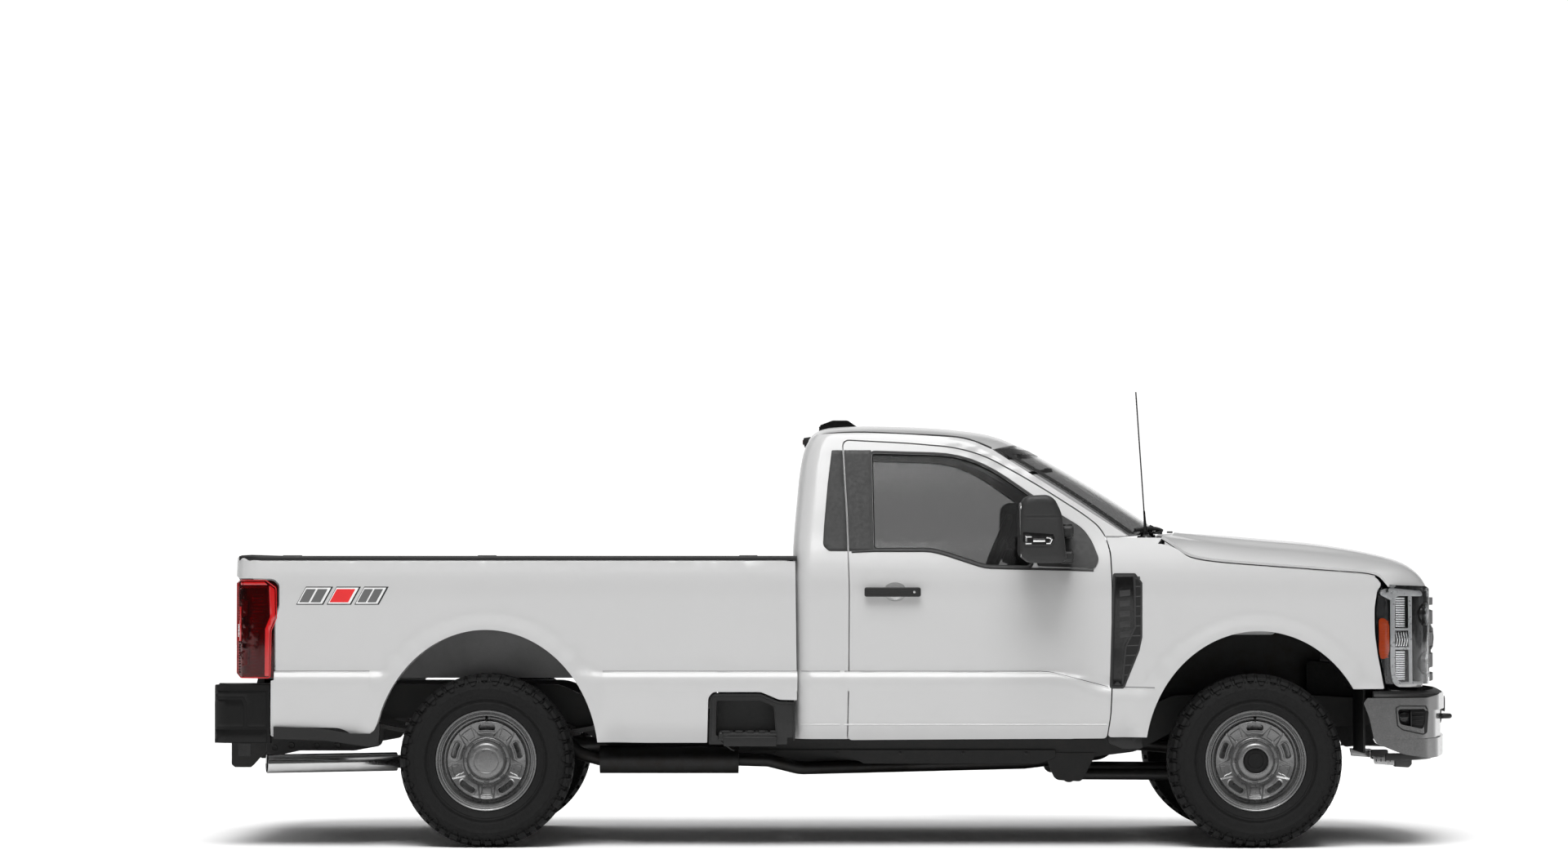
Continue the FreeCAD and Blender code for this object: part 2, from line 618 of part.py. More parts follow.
def hood_point(i, t, dz=0.0, ky=1.0):
    s = sp[i] / sp[-1]
    nx = 2.0 + 2.4 * s
    a = abs(t)
    kx, kz = a ** nx, 0.55 * a ** 5.0 + 0.45 * a ** 2.4
    x = HC[i][0] + (HE[i][0] - HC[i][0]) * kx
    z = HC[i][1] + (HE[i][1] - HC[i][1]) * kz
    dome = 13.0 * smooth((0.70 - a) / 0.12) * smooth((2680 - HC[i][0]) / 500.0 + 0.25)
    return (x, t * HEY[i] * ky, z + dome - 6.0 + dz)


P = [[hood_point(i, t) for t in tt] for i in range(len(HC))]
hf = spline_face(sp, [1000 * t for t in tt], P)
# space the hood needs above the fenders, lamps and grille
PV = [[hood_point(i, t, 0.0, 1.011) for t in tt] for i in range(len(HC))]
hv = spline_face(sp, [1000 * t for t in tt], PV)
hv.translate(V(18, 0, 30))
hood_void = hv.extrude(V(-41, 0, -68))
fen = fen.cut(hood_void)
fen = max(fen.Solids, key=lambda q: q.Volume)
put("fender_right", fen)
hood_skin = hf.extrude(V(-7, 0, -11))
hood_in = hf.copy()
hood_in.translate(V(-7, 0, -11))
hood_in = hood_in.extrude(V(-14, 0, -22))
hood_in = hood_in.common(prism_z([(1680, -820, 40), (2600, -820, 160), (2740, -560, 120), (2740, 560, 120), (2600, 820, 160), (1680, 820, 40)], 1100, 1600))
hood = fuse([hood_skin, hood_in])
put("hood", hood)
for d in ((0, 0, 0), (0, -4, 0)):
    h = hood.copy()
    h.translate(V(*d))
    fen = fen.cut(h)
fen = max(fen.Solids, key=lambda q: q.Volume)
put("fender_right", fen)

# cowl tray between windshield and hood, and the mast antenna on it
def cowl_front(y):
    return 1636.0 - 130.0 * (abs(y) / 930.0) ** 2


def cowl_back(y):
    return 1590.0 - 205.0 * (abs(y) / 853.0) ** 2.2


cw = box(1250, 1640, -868, 868, 1402, 1446)
cw = cw.cut(plan_cut(cowl_front, 960, 2100)).common(plan_cut(cowl_back, 960, 2100))
put("cowl", cw)
ant = fuse([Part.makeCone(11, 4.5, 95, V(1449, -845, 1448), V(-0.07, 0, 1)), tube_between((1443, -845, 1535), (1403, -845, 2135), 3.2),
            cyl((1449, -845, 1446), (0, 0, 1), 22, 8)])
put("antenna", ant)

# ---------------------------------------------------------------- front end
LAMP_XY = [(2570, -742, 8), (2786, -742, 8), (2780, -850, 120), (2716, -938, 90), (2560, -962, 300), (2500, -968, 4), (2500, -880, 10), (2570, -860, 20)]
LAMP_XZ = [(2556, 1228, 20), (2529, 1196, 40), (2516, 1120, 300), (2518, 1000, 400), (2532, 900, 600), (2562, 764, 8), (2800, 764, 8), (2800, 1176, 20), (2770, 1222, 40)]
lamp = prism_z(LAMP_XY, 700, 1300).common(prism_y(LAMP_XZ, -1100, -600)).cut(hood_void)
lamp = max(lamp.Solids, key=lambda q: q.Volume)
put("headlamps", Part.Compound([lamp, mirror(lamp)]))

# grille: deep frame, two double bars and a middle plate, open between
G_OUT = [(-732, 772, 24), (732, 772, 24), (732, 1166, 24), (-732, 1166, 24)]
gr = prism_x(G_OUT, 2690, 2872)
gr = gr.cut(prism_x([(-692, 806, 16), (692, 806, 16), (692, 1132, 16), (-692, 1132, 16)], 2680, 2900))
bars = [box(2722, 2868, -700, 700, 1040, 1104), box(2722, 2868, -700, 700, 836, 900),
        box(2722, 2876, -700, 700, 942, 998), box(2716, 2880, -150, 150, 900, 1040), box(2700, 2722, -700, 700, 800, 1140)]
gr = fuse([gr] + bars)
# front face bowed in plan: pull the ends back
def grille_front(y):
    return 2880.0 - 92.0 * (abs(y) / 732.0) ** 2


bow_cut = plan_cut(grille_front, 760, 3100)
bow_cut.translate(V(0, 0, -700))
gr = gr.cut(bow_cut)
bow = prism_x([(-60, 912, 30), (60, 912, 30), (104, 970, 30), (60, 1028, 30), (-60, 1028, 30), (-104, 970, 30)], 2860, 2892)
gr = fuse([gr, bow]).cut(hood_void)
gr = max(gr.Solids, key=lambda q: q.Volume)
put("grille", gr)
put("radiator", fuse([box(2560, 2606, -560, 560, 715, 1160), box(2606, 2622, -600, 600, 700, 735), box(2606, 2622, -600, 600, 1135, 1170)]))

# front bumper: bright wrap-round shell
def both_ends(half):
    return half + [(x, -y, r) for x, y, r in reversed(half)]


B_XY = both_ends([(2446, -1000, 10), (2620, -992, 300), (2745, -940, 150), (2830, -780, 240), (2884, -540, 700), (2918, -300, 900), (2941, -70, 700)])
B_IN = both_ends([(2430, -948, 10), (2620, -942, 300), (2722, -900, 120), (2790, -752, 220), (2844, -526, 700), (2878, -290, 900), (2896, -68, 700)])
B_XZ = [(2452, 676, 10), (2470, 700, 10), (2760, 700, 60), (2860, 716, 30), (2918, 712, 26), (2950, 676, 26), (2950, 640, 30), (2926, 610, 20), (2926, 560, 20),
        (2950, 520, 30), (2950, 450, 30), (2915, 424, 30), (2780, 416, 120), (2640, 436, 300), (2512, 488, 20), (2500, 510, 20), (2478, 610, 200)]
bump = fuse([prism_z([(x - dx, y, r) for x, y, r in B_XY], z0, z1) for z0, z1, dx in ((400, 508, 5), (508, 640, 16), (640, 730, 0))])
bump = bump.cut(prism_z([(x - 16, y, r) for x, y, r in B_IN], 395, 735)).common(prism_y(B_XZ, -1100, 1100))
shelf = prism_z([(x - 2, y, r) for x, y, r in B_XY], 690, 700, 30).common(prism_z([(2560, -1100, 0), (3000, -1100, 0), (3000, 1100, 0), (2560, 1100, 0)], 600, 800))
shelf = shelf.common(prism_y(B_XZ, -1100, 1100, 2)).cut(box(2400, 2760, -720, 720, 600, 800))
bump = fuse([bump, shelf])
FOG = [(2612, 648, 14), (2622, 578, 22), (2742, 552, 14), (2752, 648, 14)]
bump = bump.cut(prism_y(FOG, -1100, -760)).cut(prism_y(FOG, 760, 1100))
# the lower air opening and the holes for the tow hooks
bump = bump.cut(box(2700, 3000, -330, 330, 520, 585)).cut(box(2700, 3000, 366, 494, 568, 632, 14, "x")).cut(box(2700, 3000, -494, -366, 568, 632, 14, "x"))
put("front_bumper", bump)


def hook():
    bar = box(2560, 2866, -480, -452, 578, 622).common(box(2500, 3000, -480, -452, 570, 630))
    bar = fuse([bar, box(2800, 2862, -470, -420, 588, 612, 10, "z")])
    loop = Part.makeTorus(34, 12, V(2893, -430, 600), V(0, 0, 1))
    return fuse([bar, loop])


# ---------------------------------------------------------------- bed
xs_b = [-2821, -2812, -2798, -2778, -2752, -2722, -2690] + spaced(-2640, -180, 72)
zs_bed = spaced(478, 1362, 34, (798, 810, 819, 828, 840, 1330, 1350))
bs = side_slab(w_bed, xs_b, zs_bed, 0, 150)
bs = bs.common(prism_y(BED_SIDE, -1100, -600))
bs = bs.cut(arch_cut(ARCH_R, -1100, -600))
# below the load floor only the outer skin goes down
bs = bs.cut(box(-2900, -100, -930, -600, 400, 779))
# the skin runs on past the front wall, outside the cab's rounded corner
bs = bs.cut(box(-238, -100, -974, -600, 400, 1400))
# rear end face sits behind the tailgate line
bs = bs.cut(box(-2830, -2752, -846, -600, 400, 1400))
# stake pockets in the rail
pockets = [box(x - 38, x + 38, -935, -885, 1290, 1400) for x in (-2560, -1646, -420)]
for p in pockets:
    bs = bs.cut(p)
bs = max(bs.Solids, key=lambda s: s.Volume) if len(bs.Solids) > 1 else bs
put("bed_side_right", bs)

# bed floor with ribs, wheelhouses and front wall
fl = box(-2732, -240, -836, 836, 786, BED_FLOOR)
head = box(-280, -240, -836, 836, BED_FLOOR - 1, 1352)
WH = (AXLE_R, 432.0, 688.0)


def wheelhouse():
    o = prism_y([(-2092, 786, 2), (-2092, 900, 20), (-1960, 1075, 120), (-1332, 1075, 120), (-1200, 900, 20), (-1200, 786, 2)], -838, -640)
    return o


def wheelhouse_in():
    return prism_y([(-2078, 770, 2), (-2078, 893, 20), (-1952, 1061, 110), (-1340, 1061, 110), (-1214, 893, 20), (-1214, 770, 2)], -860, -654)


wh = wheelhouse()
fl = fuse([fl, head, wh, mirror(wh)])
wi = wheelhouse_in()
fl = fl.cut(wi).cut(mirror(wi))
# pressed ribs along the floor
for k in range(-5, 6):
    fl = fl.cut(box(-2660, -330, k * 110 - 30, k * 110 + 30, BED_FLOOR - 7, BED_FLOOR + 1))
bw = side_slab(w_bed, xs_b, zs_bed, -30, 156)
fl = fl.cut(bw).cut(mirror(bw)).cut(bs).cut(mirror(bs))
fl = max(fl.Solids, key=lambda q: q.Volume)
put("bed_floor", fl)

# tailgate: thick panel with a formed outer face and a top lip
TG = [(-2752, 802, 6), (-2752, 1352, 10), (-2806, 1358, 12), (-2826, 1330, 26), (-2822, 1262, 30), (-2808, 1236, 30), (-2804, 900, 400), (-2812, 830, 20), (-2806, 796, 8)]
tg = prism_y(TG, -838, 838)
tg = tg.cut(prism_x([(-640, 935, 30), (640, 935, 30), (640, 1190, 30), (-640, 1190, 30)], -2830, -2796))
tg = tg.cut(prism_x([(-110, 1252, 12), (110, 1252, 12), (110, 1306, 12), (-110, 1306, 12)], -2850, -2790))
put("tailgate", tg)

# tail lamps fill the notch of the bed side
TL = [(-2800, 1250, 6), (-2642, 1250, 50), (-2619, 1224, 26), (-2619, 1132, 40), (-2638, 1064, 60), (-2638, 792, 6), (-2800, 792, 12), (-2822, 815, 14), (-2824, 1235, 14)]
tl = side_slab(lambda x, z: w_bed(x, 1100) - 1.0, xs_b, zs_bed, 0, 140).common(prism_y(TL, -1100, -600))
tl = tl.cut(box(-2900, -2600, -868, -700, 700, 1300)) if False else tl.cut(box(-2830, -2752, -846, -600, 400, 1400)).cut(box(-2752, -2600, -880, -600, 400, 1400))
tl = max(tl.Solids, key=lambda s: s.Volume)
bs2 = bodies["bed_side_right"].cut(box(-2825, -2600, -1100, -882, 786, 1250).common(prism_y(TL, -1100, -600, -6)))
bs2 = max(bs2.Solids, key=lambda s: s.Volume) if len(bs2.Solids) > 1 else bs2
put("bed_side_right", bs2)
put("taillamps", Part.Compound([tl, mirror(tl)]))

# side steps in front of the rear wheels
ST = [(-604, 482, 6), (-598, 696, 22), (-580, 720, 22), (-362, 720, 60), (-278, 684, 60), (-200, 682, 3), (-200, 482, 6)]
step = side_slab(w_bed, xs_b, zs_bed, 3, 140).common(prism_y(ST, -1100, -700)).cut(box(-238, -100, -974, -600, 400, 1400))
step = step.cut(prism_y([(-570, 520, 10), (-566, 690, 16), (-368, 690, 40), (-300, 664, 30), (-290, 520, 10)], -1100, -905))
tread = soft_box(-560, -300, -985, -880, 500, 540, 9)
step = fuse([step, tread])
put("side_steps", Part.Compound([step, mirror(step)]))

# rear bumper: black step bumper
R_XY = [(-2653, -972, 6), (-2860, -972, 60), (-2922, -930, 40), (-2936, -700, 200), (-2941, -300, 900), (-2941, 300, 900), (-2936, 700, 200), (-2922, 930, 40), (-2860, 972, 60), (-2653, 972, 6)]
R_IN = [(-2640, -930, 6), (-2840, -930, 40), (-2884, -890, 30), (-2896, -700, 200), (-2901, -300, 800), (-2901, 300, 800), (-2896, 700, 200), (-2884, 890, 30), (-2840, 930, 40), (-2640, 930, 6)]
rb = prism_z(R_XY, 488, 760).cut(prism_z(R_IN, 480, 770)).cut(box(-3000, -2800, -46, 46, 400, 556))
rb = rb.cut(prism_y([(-2400, 480, 0), (-2620, 480, 0), (-2660, 560, 0), (-2660, 800, 0), (-2400, 800, 0)], -1100, 1100))
rb = rb.cut(box(-3000, -2600, -800, 800, 722, 800))
rb = rb.cut(prism_y([(-3000, 560, 0), (-2922, 560, 6), (-2928, 730, 6), (-2918, 770, 6), (-3000, 770, 0)], -1100, 1100))
pad = prism_z(R_XY, 706, 721, 3).common(box(-2960, -2700, -798, 798, 600, 800))
pads = fuse([rb, pad])
pads = pads.cut(cyl((-2872, 0, 690), (0, 0, 1), 13.0, 60))
pads = pads.cut(prism_x([(-165, 540, 10), (165, 540, 10), (165, 700, 10), (-165, 700, 10)], -2960, -2905))
put("rear_bumper", pads)

hr = box(-2925, -2560, -38.5, 38.5, 471.5, 548.5, 10, "x").cut(box(-2960, -2620, -32, 32, 478, 542, 3, "x"))
cross = box(-2700, -2600, -540, 540, 470, 550, 12, "y").cut(box(-2960, -2500, -40, 40, 460, 560))
hr = fuse([hr, cross, box(-2700, -2560, 386, 402, 470, 640), box(-2700, -2560, -402, -386, 470, 640)])
hr = hr.cut(box(-2960, -2620, -32, 32, 478, 542, 3, "x"))
put("hitch_receiver", hr)

# ---------------------------------------------------------------- frame
RAIL = [(-2690, 560, 4), (-2690, 690, 6), (-2250, 752, 200), (-1330, 752, 200), (-1040, 610, 150), (1400, 600, 150), (1600, 700, 200), (2250, 700, 200), (2586, 680, 6),
        (2586, 560, 6), (2250, 545, 200), (1640, 545, 200), (1420, 430, 150), (1150, 398, 200), (-330, 398, 200), (-620, 430, 200), (-1040, 430, 150), (-1330, 590, 200), (-2250, 590, 200), (-2560, 560, 60)]
rail = prism_y(RAIL, -478, -404)
rail = rail.cut(prism_y(RAIL, -470, -396, 9))      # channel, open to the middle
cab_mounts = [box(x - 45, x + 45, -640, -477, 560, 600) for x in (60, 1120)] + [cyl((x, -590, 600), (0, 0, 1), 36, 52) for x in (60, 1120)]
bed_mounts = [box(-2490, -2410, -600, -477, 690, 716), cyl((-2450, -560, 716), (0, 0, 1), 34, 68), box(-1140, -1060, -600, -477, 580, 606), cyl((-1100, -560, 606), (0, 0, 1), 34, 178)]
spring_tower = [box(AXLE_F - 75, AXLE_F + 75, -618, -476, 730, 754), box(AXLE_F - 75, AXLE_F + 75, -484, -476, 600, 740)]
shock_tower = [box(AXLE_F - 190, AXLE_F - 110, -600, -477, 641, 668)]
hangers = [box(AXLE_R + 700, AXLE_R + 756, -579, -511, 642, 670), box(AXLE_R + 690, AXLE_R + 766, -511, -477, 540, 670),
           box(AXLE_R - 756, AXLE_R - 700, -579, -511, 642, 670), box(AXLE_R - 766, AXLE_R - 690, -511, -477, 600, 670)]
ARM_BR = [(985, 425, 6), (1040, 296, 30), (1165, 288, 30), (1235, 425, 6)]
arm_br = [prism_y(ARM_BR, -486, -474), prism_y(ARM_BR, -408, -396)]
rail = fuse([rail] + cab_mounts + bed_mounts + spring_tower + shock_tower + hangers + arm_br + [hook()])
put("frame_rails", Part.Compound([rail, mirror(rail)]))
cross = [cyl((x, -470, z), (0, 1, 0), r, 940) for x, z, r in ((-2400, 650, 36), (AXLE_R - 270, 664, 28), (-1150, 590, 36), (-700, 560, 24), (-60, 560, 24), (2420, 620, 36))]
cross += [box(520, 600, -470, -150, 470, 504, 12, "y"), box(520, 600, 260, 470, 470, 504, 12, "y")]
cross.append(box(2590, 2640, -600, 600, 572, 688, 12, "y"))
cross = [c.cut(rail).cut(mirror(rail)) for c in cross]
put("cross_members", Part.Compound([max(c.Solids, key=lambda q: q.Volume) for c in cross]))

# ---------------------------------------------------------------- engine and driveline
put("engine", Part.Compound([box(1480, 2320, -330, 330, 600, 1230, 40, "x")]))
gb = fuse([Part.makeCone(230, 150, 260, V(1474, 0, 640), V(-1, 0, 0)), box(640, 1230, -140, 140, 470, 620, 30, "x"), box(420, 760, -150, 260, 430, 600, 30, "x")])
gb = gb.cut(box(0, 2000, -400, 400, 651, 1000)).cut(box(1440, 1600, -400, 400, 300, 1000))
put("gearbox", gb)
shaft_f = tube_between((785, 215, 500), (AXLE_F - 192, 215, 420), 32)
shaft_r2 = tube_between((405, 60, 500), (-1500, 0, 434), 42)
put("driveshafts", Part.Compound([shaft_r2, shaft_f]))

# ---------------------------------------------------------------- axles
ax = cyl((AXLE_R, -800, TYRE_R), (0, 1, 0), 52, 1600)
diff = Part.makeSphere(165, V(0, 0, 0))
mm = FreeCAD.Matrix()
mm.scale(0.85, 0.9, 0.98)
diff = diff.transformGeometry(mm)
diff.translate(V(AXLE_R - 20, 0, TYRE_R + 6))
cover = cyl((AXLE_R - 168, 0, TYRE_R + 4), (1, 0, 0), 118, 40)
nose = cyl((AXLE_R + 60, 0, TYRE_R + 24), (1, 0, 0.02), 62, 70)
pads_r = [box(AXLE_R - 60, AXLE_R + 60, y - 40, y + 40, 440, 463) for y in (-545, 545)]
flg = [cyl((AXLE_R, 798 if s > 0 else -826, TYRE_R), (0, 1, 0), 160, 28) for s in (1, -1)]
flg += [cyl((AXLE_R, 820 if s > 0 else -905, TYRE_R), (0, 1, 0), 78, 85) for s in (1, -1)]
drum = [Part.makeCylinder(178, 22, V(AXLE_R, 776 if s > 0 else -798, TYRE_R), V(0, 1, 0)) for s in (1, -1)]
rear_ax = fuse([ax, diff, cover, nose] + pads_r + flg)
put("rear_axle", rear_ax)

axf = cyl((AXLE_F, -640, TYRE_R), (0, 1, 0), 42, 1280)
dff = fuse([cyl((AXLE_F - 130, 215, TYRE_R), (1, 0, 0), 128, 240), cyl((AXLE_F - 180, 215, TYRE_R + 6), (1, 0, 0), 58, 60)])
yoke = fuse([box(AXLE_F - 44, AXLE_F + 44, 610, 634, TYRE_R - 138, TYRE_R + 138, 10, "y"),
             box(AXLE_F - 38, AXLE_F + 38, 626, 748, TYRE_R + 112, TYRE_R + 138, 12, "z"), box(AXLE_F - 38, AXLE_F + 38, 626, 748, TYRE_R - 138, TYRE_R - 112, 12, "z")])
yoke = yoke.cut(cyl((AXLE_F, KINGPIN_Y, 200), (0, 0, 1), 16.0, 400))
seats = [box(AXLE_F - 66, AXLE_F + 66, y - 66, y + 66, 444, 463) for y in (-548, 548)]
axf = fuse([axf, dff, yoke, mirror(yoke)] + seats)
put("front_axle", axf)


def knuckle():
    zc = TYRE_R
    body = box(AXLE_F - 50, AXLE_F + 50, 672, 772, zc - 104, zc + 104, 18, "z")
    body = body.cut(cyl((AXLE_F, 660, zc), (0, 1, 0), 48, 30))
    pin = cyl((AXLE_F, KINGPIN_Y, zc - 136), (0, 0, 1), 14.0, 272)
    spindle = cyl((AXLE_F, 765, zc), (0, 1, 0), 62, 145)
    hubf = cyl((AXLE_F, 903, zc), (0, 1, 0), 78, 16)
    arm = prism_z([(AXLE_F + 40, 690, 6), (AXLE_F + 40, 745, 6), (AXLE_F + ARM_X + 22, 739, 20), (AXLE_F + ARM_X + 22, 691, 20)], zc - 44, zc - 20)
    cal = prism_y([(AXLE_F - 176, zc - 74, 20), (AXLE_F - 176, zc + 74, 20), (AXLE_F - 96, zc + 74, 20), (AXLE_F - 96, zc - 74, 20)], 772, 838)
    br = box(AXLE_F - 130, AXLE_F - 40, 745, 775, zc - 40, zc + 40)
    return fuse([body, pin, spindle, hubf, arm, cal, br])


kn = knuckle()
put("knuckle_left", kn)
put("knuckle_right", mirror(kn))
# tie rod: its ends sit under the two arms
ty = KINGPIN_Y
rod = fuse([tube_between((AXLE_F + ARM_X, -ty + 24, TYRE_R - 76), (AXLE_F + ARM_X, ty - 24, TYRE_R - 76), 17),
            cyl((AXLE_F + ARM_X, ty, TYRE_R - 98), (0, 0, 1), 25, 44), cyl((AXLE_F + ARM_X, -ty, TYRE_R - 98), (0, 0, 1), 25, 44)])
put("tie_rod", rod)

# ---------------------------------------------------------------- suspension
def leaf(y, n=4):
    shapes = []
    for k in range(n):
        half = (720, 560, 420, 300)[k]
        z0 = 500 - 11 * k
        rise = 104.0 * (half / 720.0) ** 2
        a = [V(AXLE_R - half, y - 32, z0 + rise), V(AXLE_R, y - 32, z0), V(AXLE_R + half, y - 32, z0 + rise)]
        b = [p + V(0, 0, 10) for p in a]
        w = Part.Wire([Part.Arc(*a).toShape(), Part.makeLine(a[2], b[2]), Part.Arc(b[2], b[1], b[0]).toShape(), Part.makeLine(b[0], a[0])])
        shapes.append(Part.Face(w).extrude(V(0, 64, 0)))
    shapes.append(box(AXLE_R - 50, AXLE_R + 50, y - 34, y + 34, 463, 516))
    shapes.append(cyl((AXLE_R + 728, y - 34, 616), (0, 1, 0), 24, 68))
    shapes.append(cyl((AXLE_R - 728, y - 34, 616), (0, 1, 0), 24, 68))
    return fuse(shapes)


leaf_r = leaf(-545)


def coil(y):
    try:
        h = Part.makeLongHelix(52, 246, 50)
    except Exception:
        h = Part.makeHelix(52, 246, 50)
    prof = Part.Wire([Part.makeCircle(8.5, V(50, 0, 0), V(0, 1, 0))])
    s = Part.Wire(h.Edges).makePipeShell([prof], True, True)
    s.translate(V(AXLE_F, y, 473))
    return s


coil_r = coil(-546)
put("springs", Part.Compound([leaf_r, mirror(leaf_r), coil_r, mirror(coil_r)]))


def shock(a, b):
    a, b = V(*a), V(*b)
    m = a + (b - a) * 0.52
    return fuse([tube_between(tuple(a), tuple(m), 30), tube_between(tuple(m), tuple(b), 14), tube_between(tuple(a + (b - a) * 0.45), tuple(a + (b - a) * 0.86), 34)])


sh = [shock((AXLE_F - 118, -560, 420), (AXLE_F - 150, -540, 637)), shock((AXLE_R - 90, -350, 466), (AXLE_R - 242, -330, 648))]
put("shocks", Part.Compound(sh + [mirror(s) for s in sh]))
arm_f = bent_pipe([(AXLE_F - 60, -500, 350), (AXLE_F - 340, -452, 320), (1105, -440, 322)], 26, 200)
arm_f = fuse([arm_f, box(AXLE_F - 90, AXLE_F - 46, -530, -470, 318, 430), cyl((1105, -470, 322), (0, 1, 0), 38, 60)])
put("radius_arms", Part.Compound([arm_f, mirror(arm_f)]))

# ---------------------------------------------------------------- exhaust and tank
muf = cyl((-1127, -640, 400), (1, 0, 0), 66, 657)
front_pipe = bent_pipe([(1360, -285, 600), (1300, -285, 420), (900, -300, 372), (330, -340, 359), (-180, -640, 359), (-330, -640, 396), (-475, -640, 400)], 31, 90)
tail = bent_pipe([(-1122, -640, 400), (-1230, -640, 430), (-1440, -640, 640), (-1800, -625, 650), (-1975, -636, 391), (-2680, -830, 386)], 31, 90)
tip = bent_pipe([(-2090, -667.7, 390.2), (-2680, -830, 386)], 43, 100).cut(bent_pipe([(-2560, -797, 386.9), (-2720, -841, 385.7)], 39, 100))
ex = fuse([muf, front_pipe, tail])
ex = fuse([ex, tip])
ex = ex.cut(bent_pipe([(-2560, -797, 386.9), (-2720, -841, 385.7)], 39, 100))
put("exhaust", ex)
put("fuel_tank", soft_box(-660, -110, 130, 396, 340, 544, 28))

# ---------------------------------------------------------------- wheel liners
def liner(cx, sy):
    o = arch_cut((cx + 12, 556, 632), -950, -600)
    i = arch_cut((cx + 12, 544, 620), -960, -590)
    s = o.cut(i).cut(box(cx - 900, cx, -1000, -500, -300, 560)).cut(box(cx - 1, cx + 900, -1000, -500, -300, 745))
    return s


ln = liner(AXLE_F, -1)
ln = ln.cut(box(1200, 1432, -1000, -500, 500, 1500))
# splash panel from the liner's front end down behind the bumper
ln = fuse([ln, box(2420, 2468, -925, -600, 738, 750), box(2458, 2468, -925, -500, 440, 750)])
put("wheel_liners", Part.Compound([ln, mirror(ln)]))

# ---------------------------------------------------------------- interior
seat_c = soft_box(140, 690, -690, 690, 905, 1050, 45)
seat_b = prism_y([(118, 1000, 30), (250, 1000, 30), (120, 1590, 60), (20, 1590, 40)], -690, 690)
seat_base = box(150, 492, -620, 620, 700, 912)
head_r = [soft_box(18, 110, y - 120, y + 120, 1600, 1760, 34) for y in (-430, 430)]
posts = [cyl((68, y + s, 1570), (0, 0, 1), 7, 50) for y in (-430, 430) for s in (-50, 50)]
put("bench_seat", fuse([seat_c, seat_b, seat_base] + posts + head_r))
DASH = [(1050, 1060, 40), (985, 1150, 50), (985, 1290, 50), (1040, 1382, 60), (1330, 1392, 20), (1366, 1392, 4), (1366, 1060, 4)]
dash = prism_y(DASH, -858, 858)
dash = fuse([dash, prism_y([(905, 1150, 20), (905, 1260, 20), (1000, 1300, 20), (1000, 1150, 20)], 300, 540) if False else box(1000, 1060, 250, 590, 1290, 1400, 20, "x")])
sw_c = V(790, 420, 1392)
tilt = math.radians(22)
sw_n = V(-math.cos(tilt), 0, math.sin(tilt))      # towards the driver
col = tube_between(tuple(sw_c - sw_n * 50), tuple(sw_c - sw_n * 300), 38)
dash = fuse([dash, col])
put("dashboard", dash)
ring = Part.makeTorus(180, 15, sw_c, sw_n)
hub = Part.makeCylinder(62, 44, sw_c - sw_n * 38, sw_n)
side = V(0, 1, 0)
up = sw_n.cross(side)
sp1 = tube_between(tuple(sw_c - side * 178 - sw_n * 4), tuple(sw_c + side * 178 - sw_n * 4), 13)
sp2 = tube_between(tuple(sw_c - sw_n * 10), tuple(sw_c + (up if up.z < 0 else up * -1) * 176), 13)
put("steering_wheel", fuse([ring, hub, sp1, sp2]))


# ---------------------------------------------------------------- wheels
def revolve_y(pts, cx, cy, cz):
    """Revolve a profile [(radius, axial)] about the wheel's axis, axial towards +Y."""
    es = []
    for i in range(len(pts)):
        a, b = pts[i], pts[(i + 1) % len(pts)]
        es.append(Part.makeLine(V(0, a[1], a[0]), V(0, b[1], b[0])))
    f = Part.Face(Part.Wire(es))
    s = f.revolve(V(0, 0, 0), V(0, 1, 0), 360)
    s.translate(V(cx, cy, cz))
    return s


def profile_face(pieces):
    es = []
    for p in pieces:
        q = [V(0, a[1], a[0]) for a in p]
        if len(q) == 2:
            es.append(Part.makeLine(*q))
        elif len(q) == 3:
            es.append(Part.Arc(*q).toShape())
        else:
            c = Part.BSplineCurve()
            c.interpolate(q)
            es.append(c.toShape())
    return Part.Face(Part.Wire(es))


def tyre():
    h = TYRE_W / 2
    r = TYRE_R
    return profile_face([
        [(238, -101.5), (230, -100)], [(230, -100), (222, -94)], [(222, -94), (222, 94)], [(222, 94), (230, 100)], [(230, 100), (238, 101.5)],
        [(238, 101.5), (250, 111), (300, h - 2), (345, h), (372, h - 6)],
        [(372, h - 6), (394, h - 20)], [(394, h - 20), (402, h - 34)],
        [(402, h - 34), (r, 0), (402, -h + 34)],
        [(402, -h + 34), (394, -h + 20)], [(394, -h + 20), (372, -h + 6)],
        [(372, -h + 6), (345, -h), (300, -h + 2), (250, -111), (238, -101.5)],
    ]).revolve(V(0, 0, 0), V(0, 1, 0), 360)


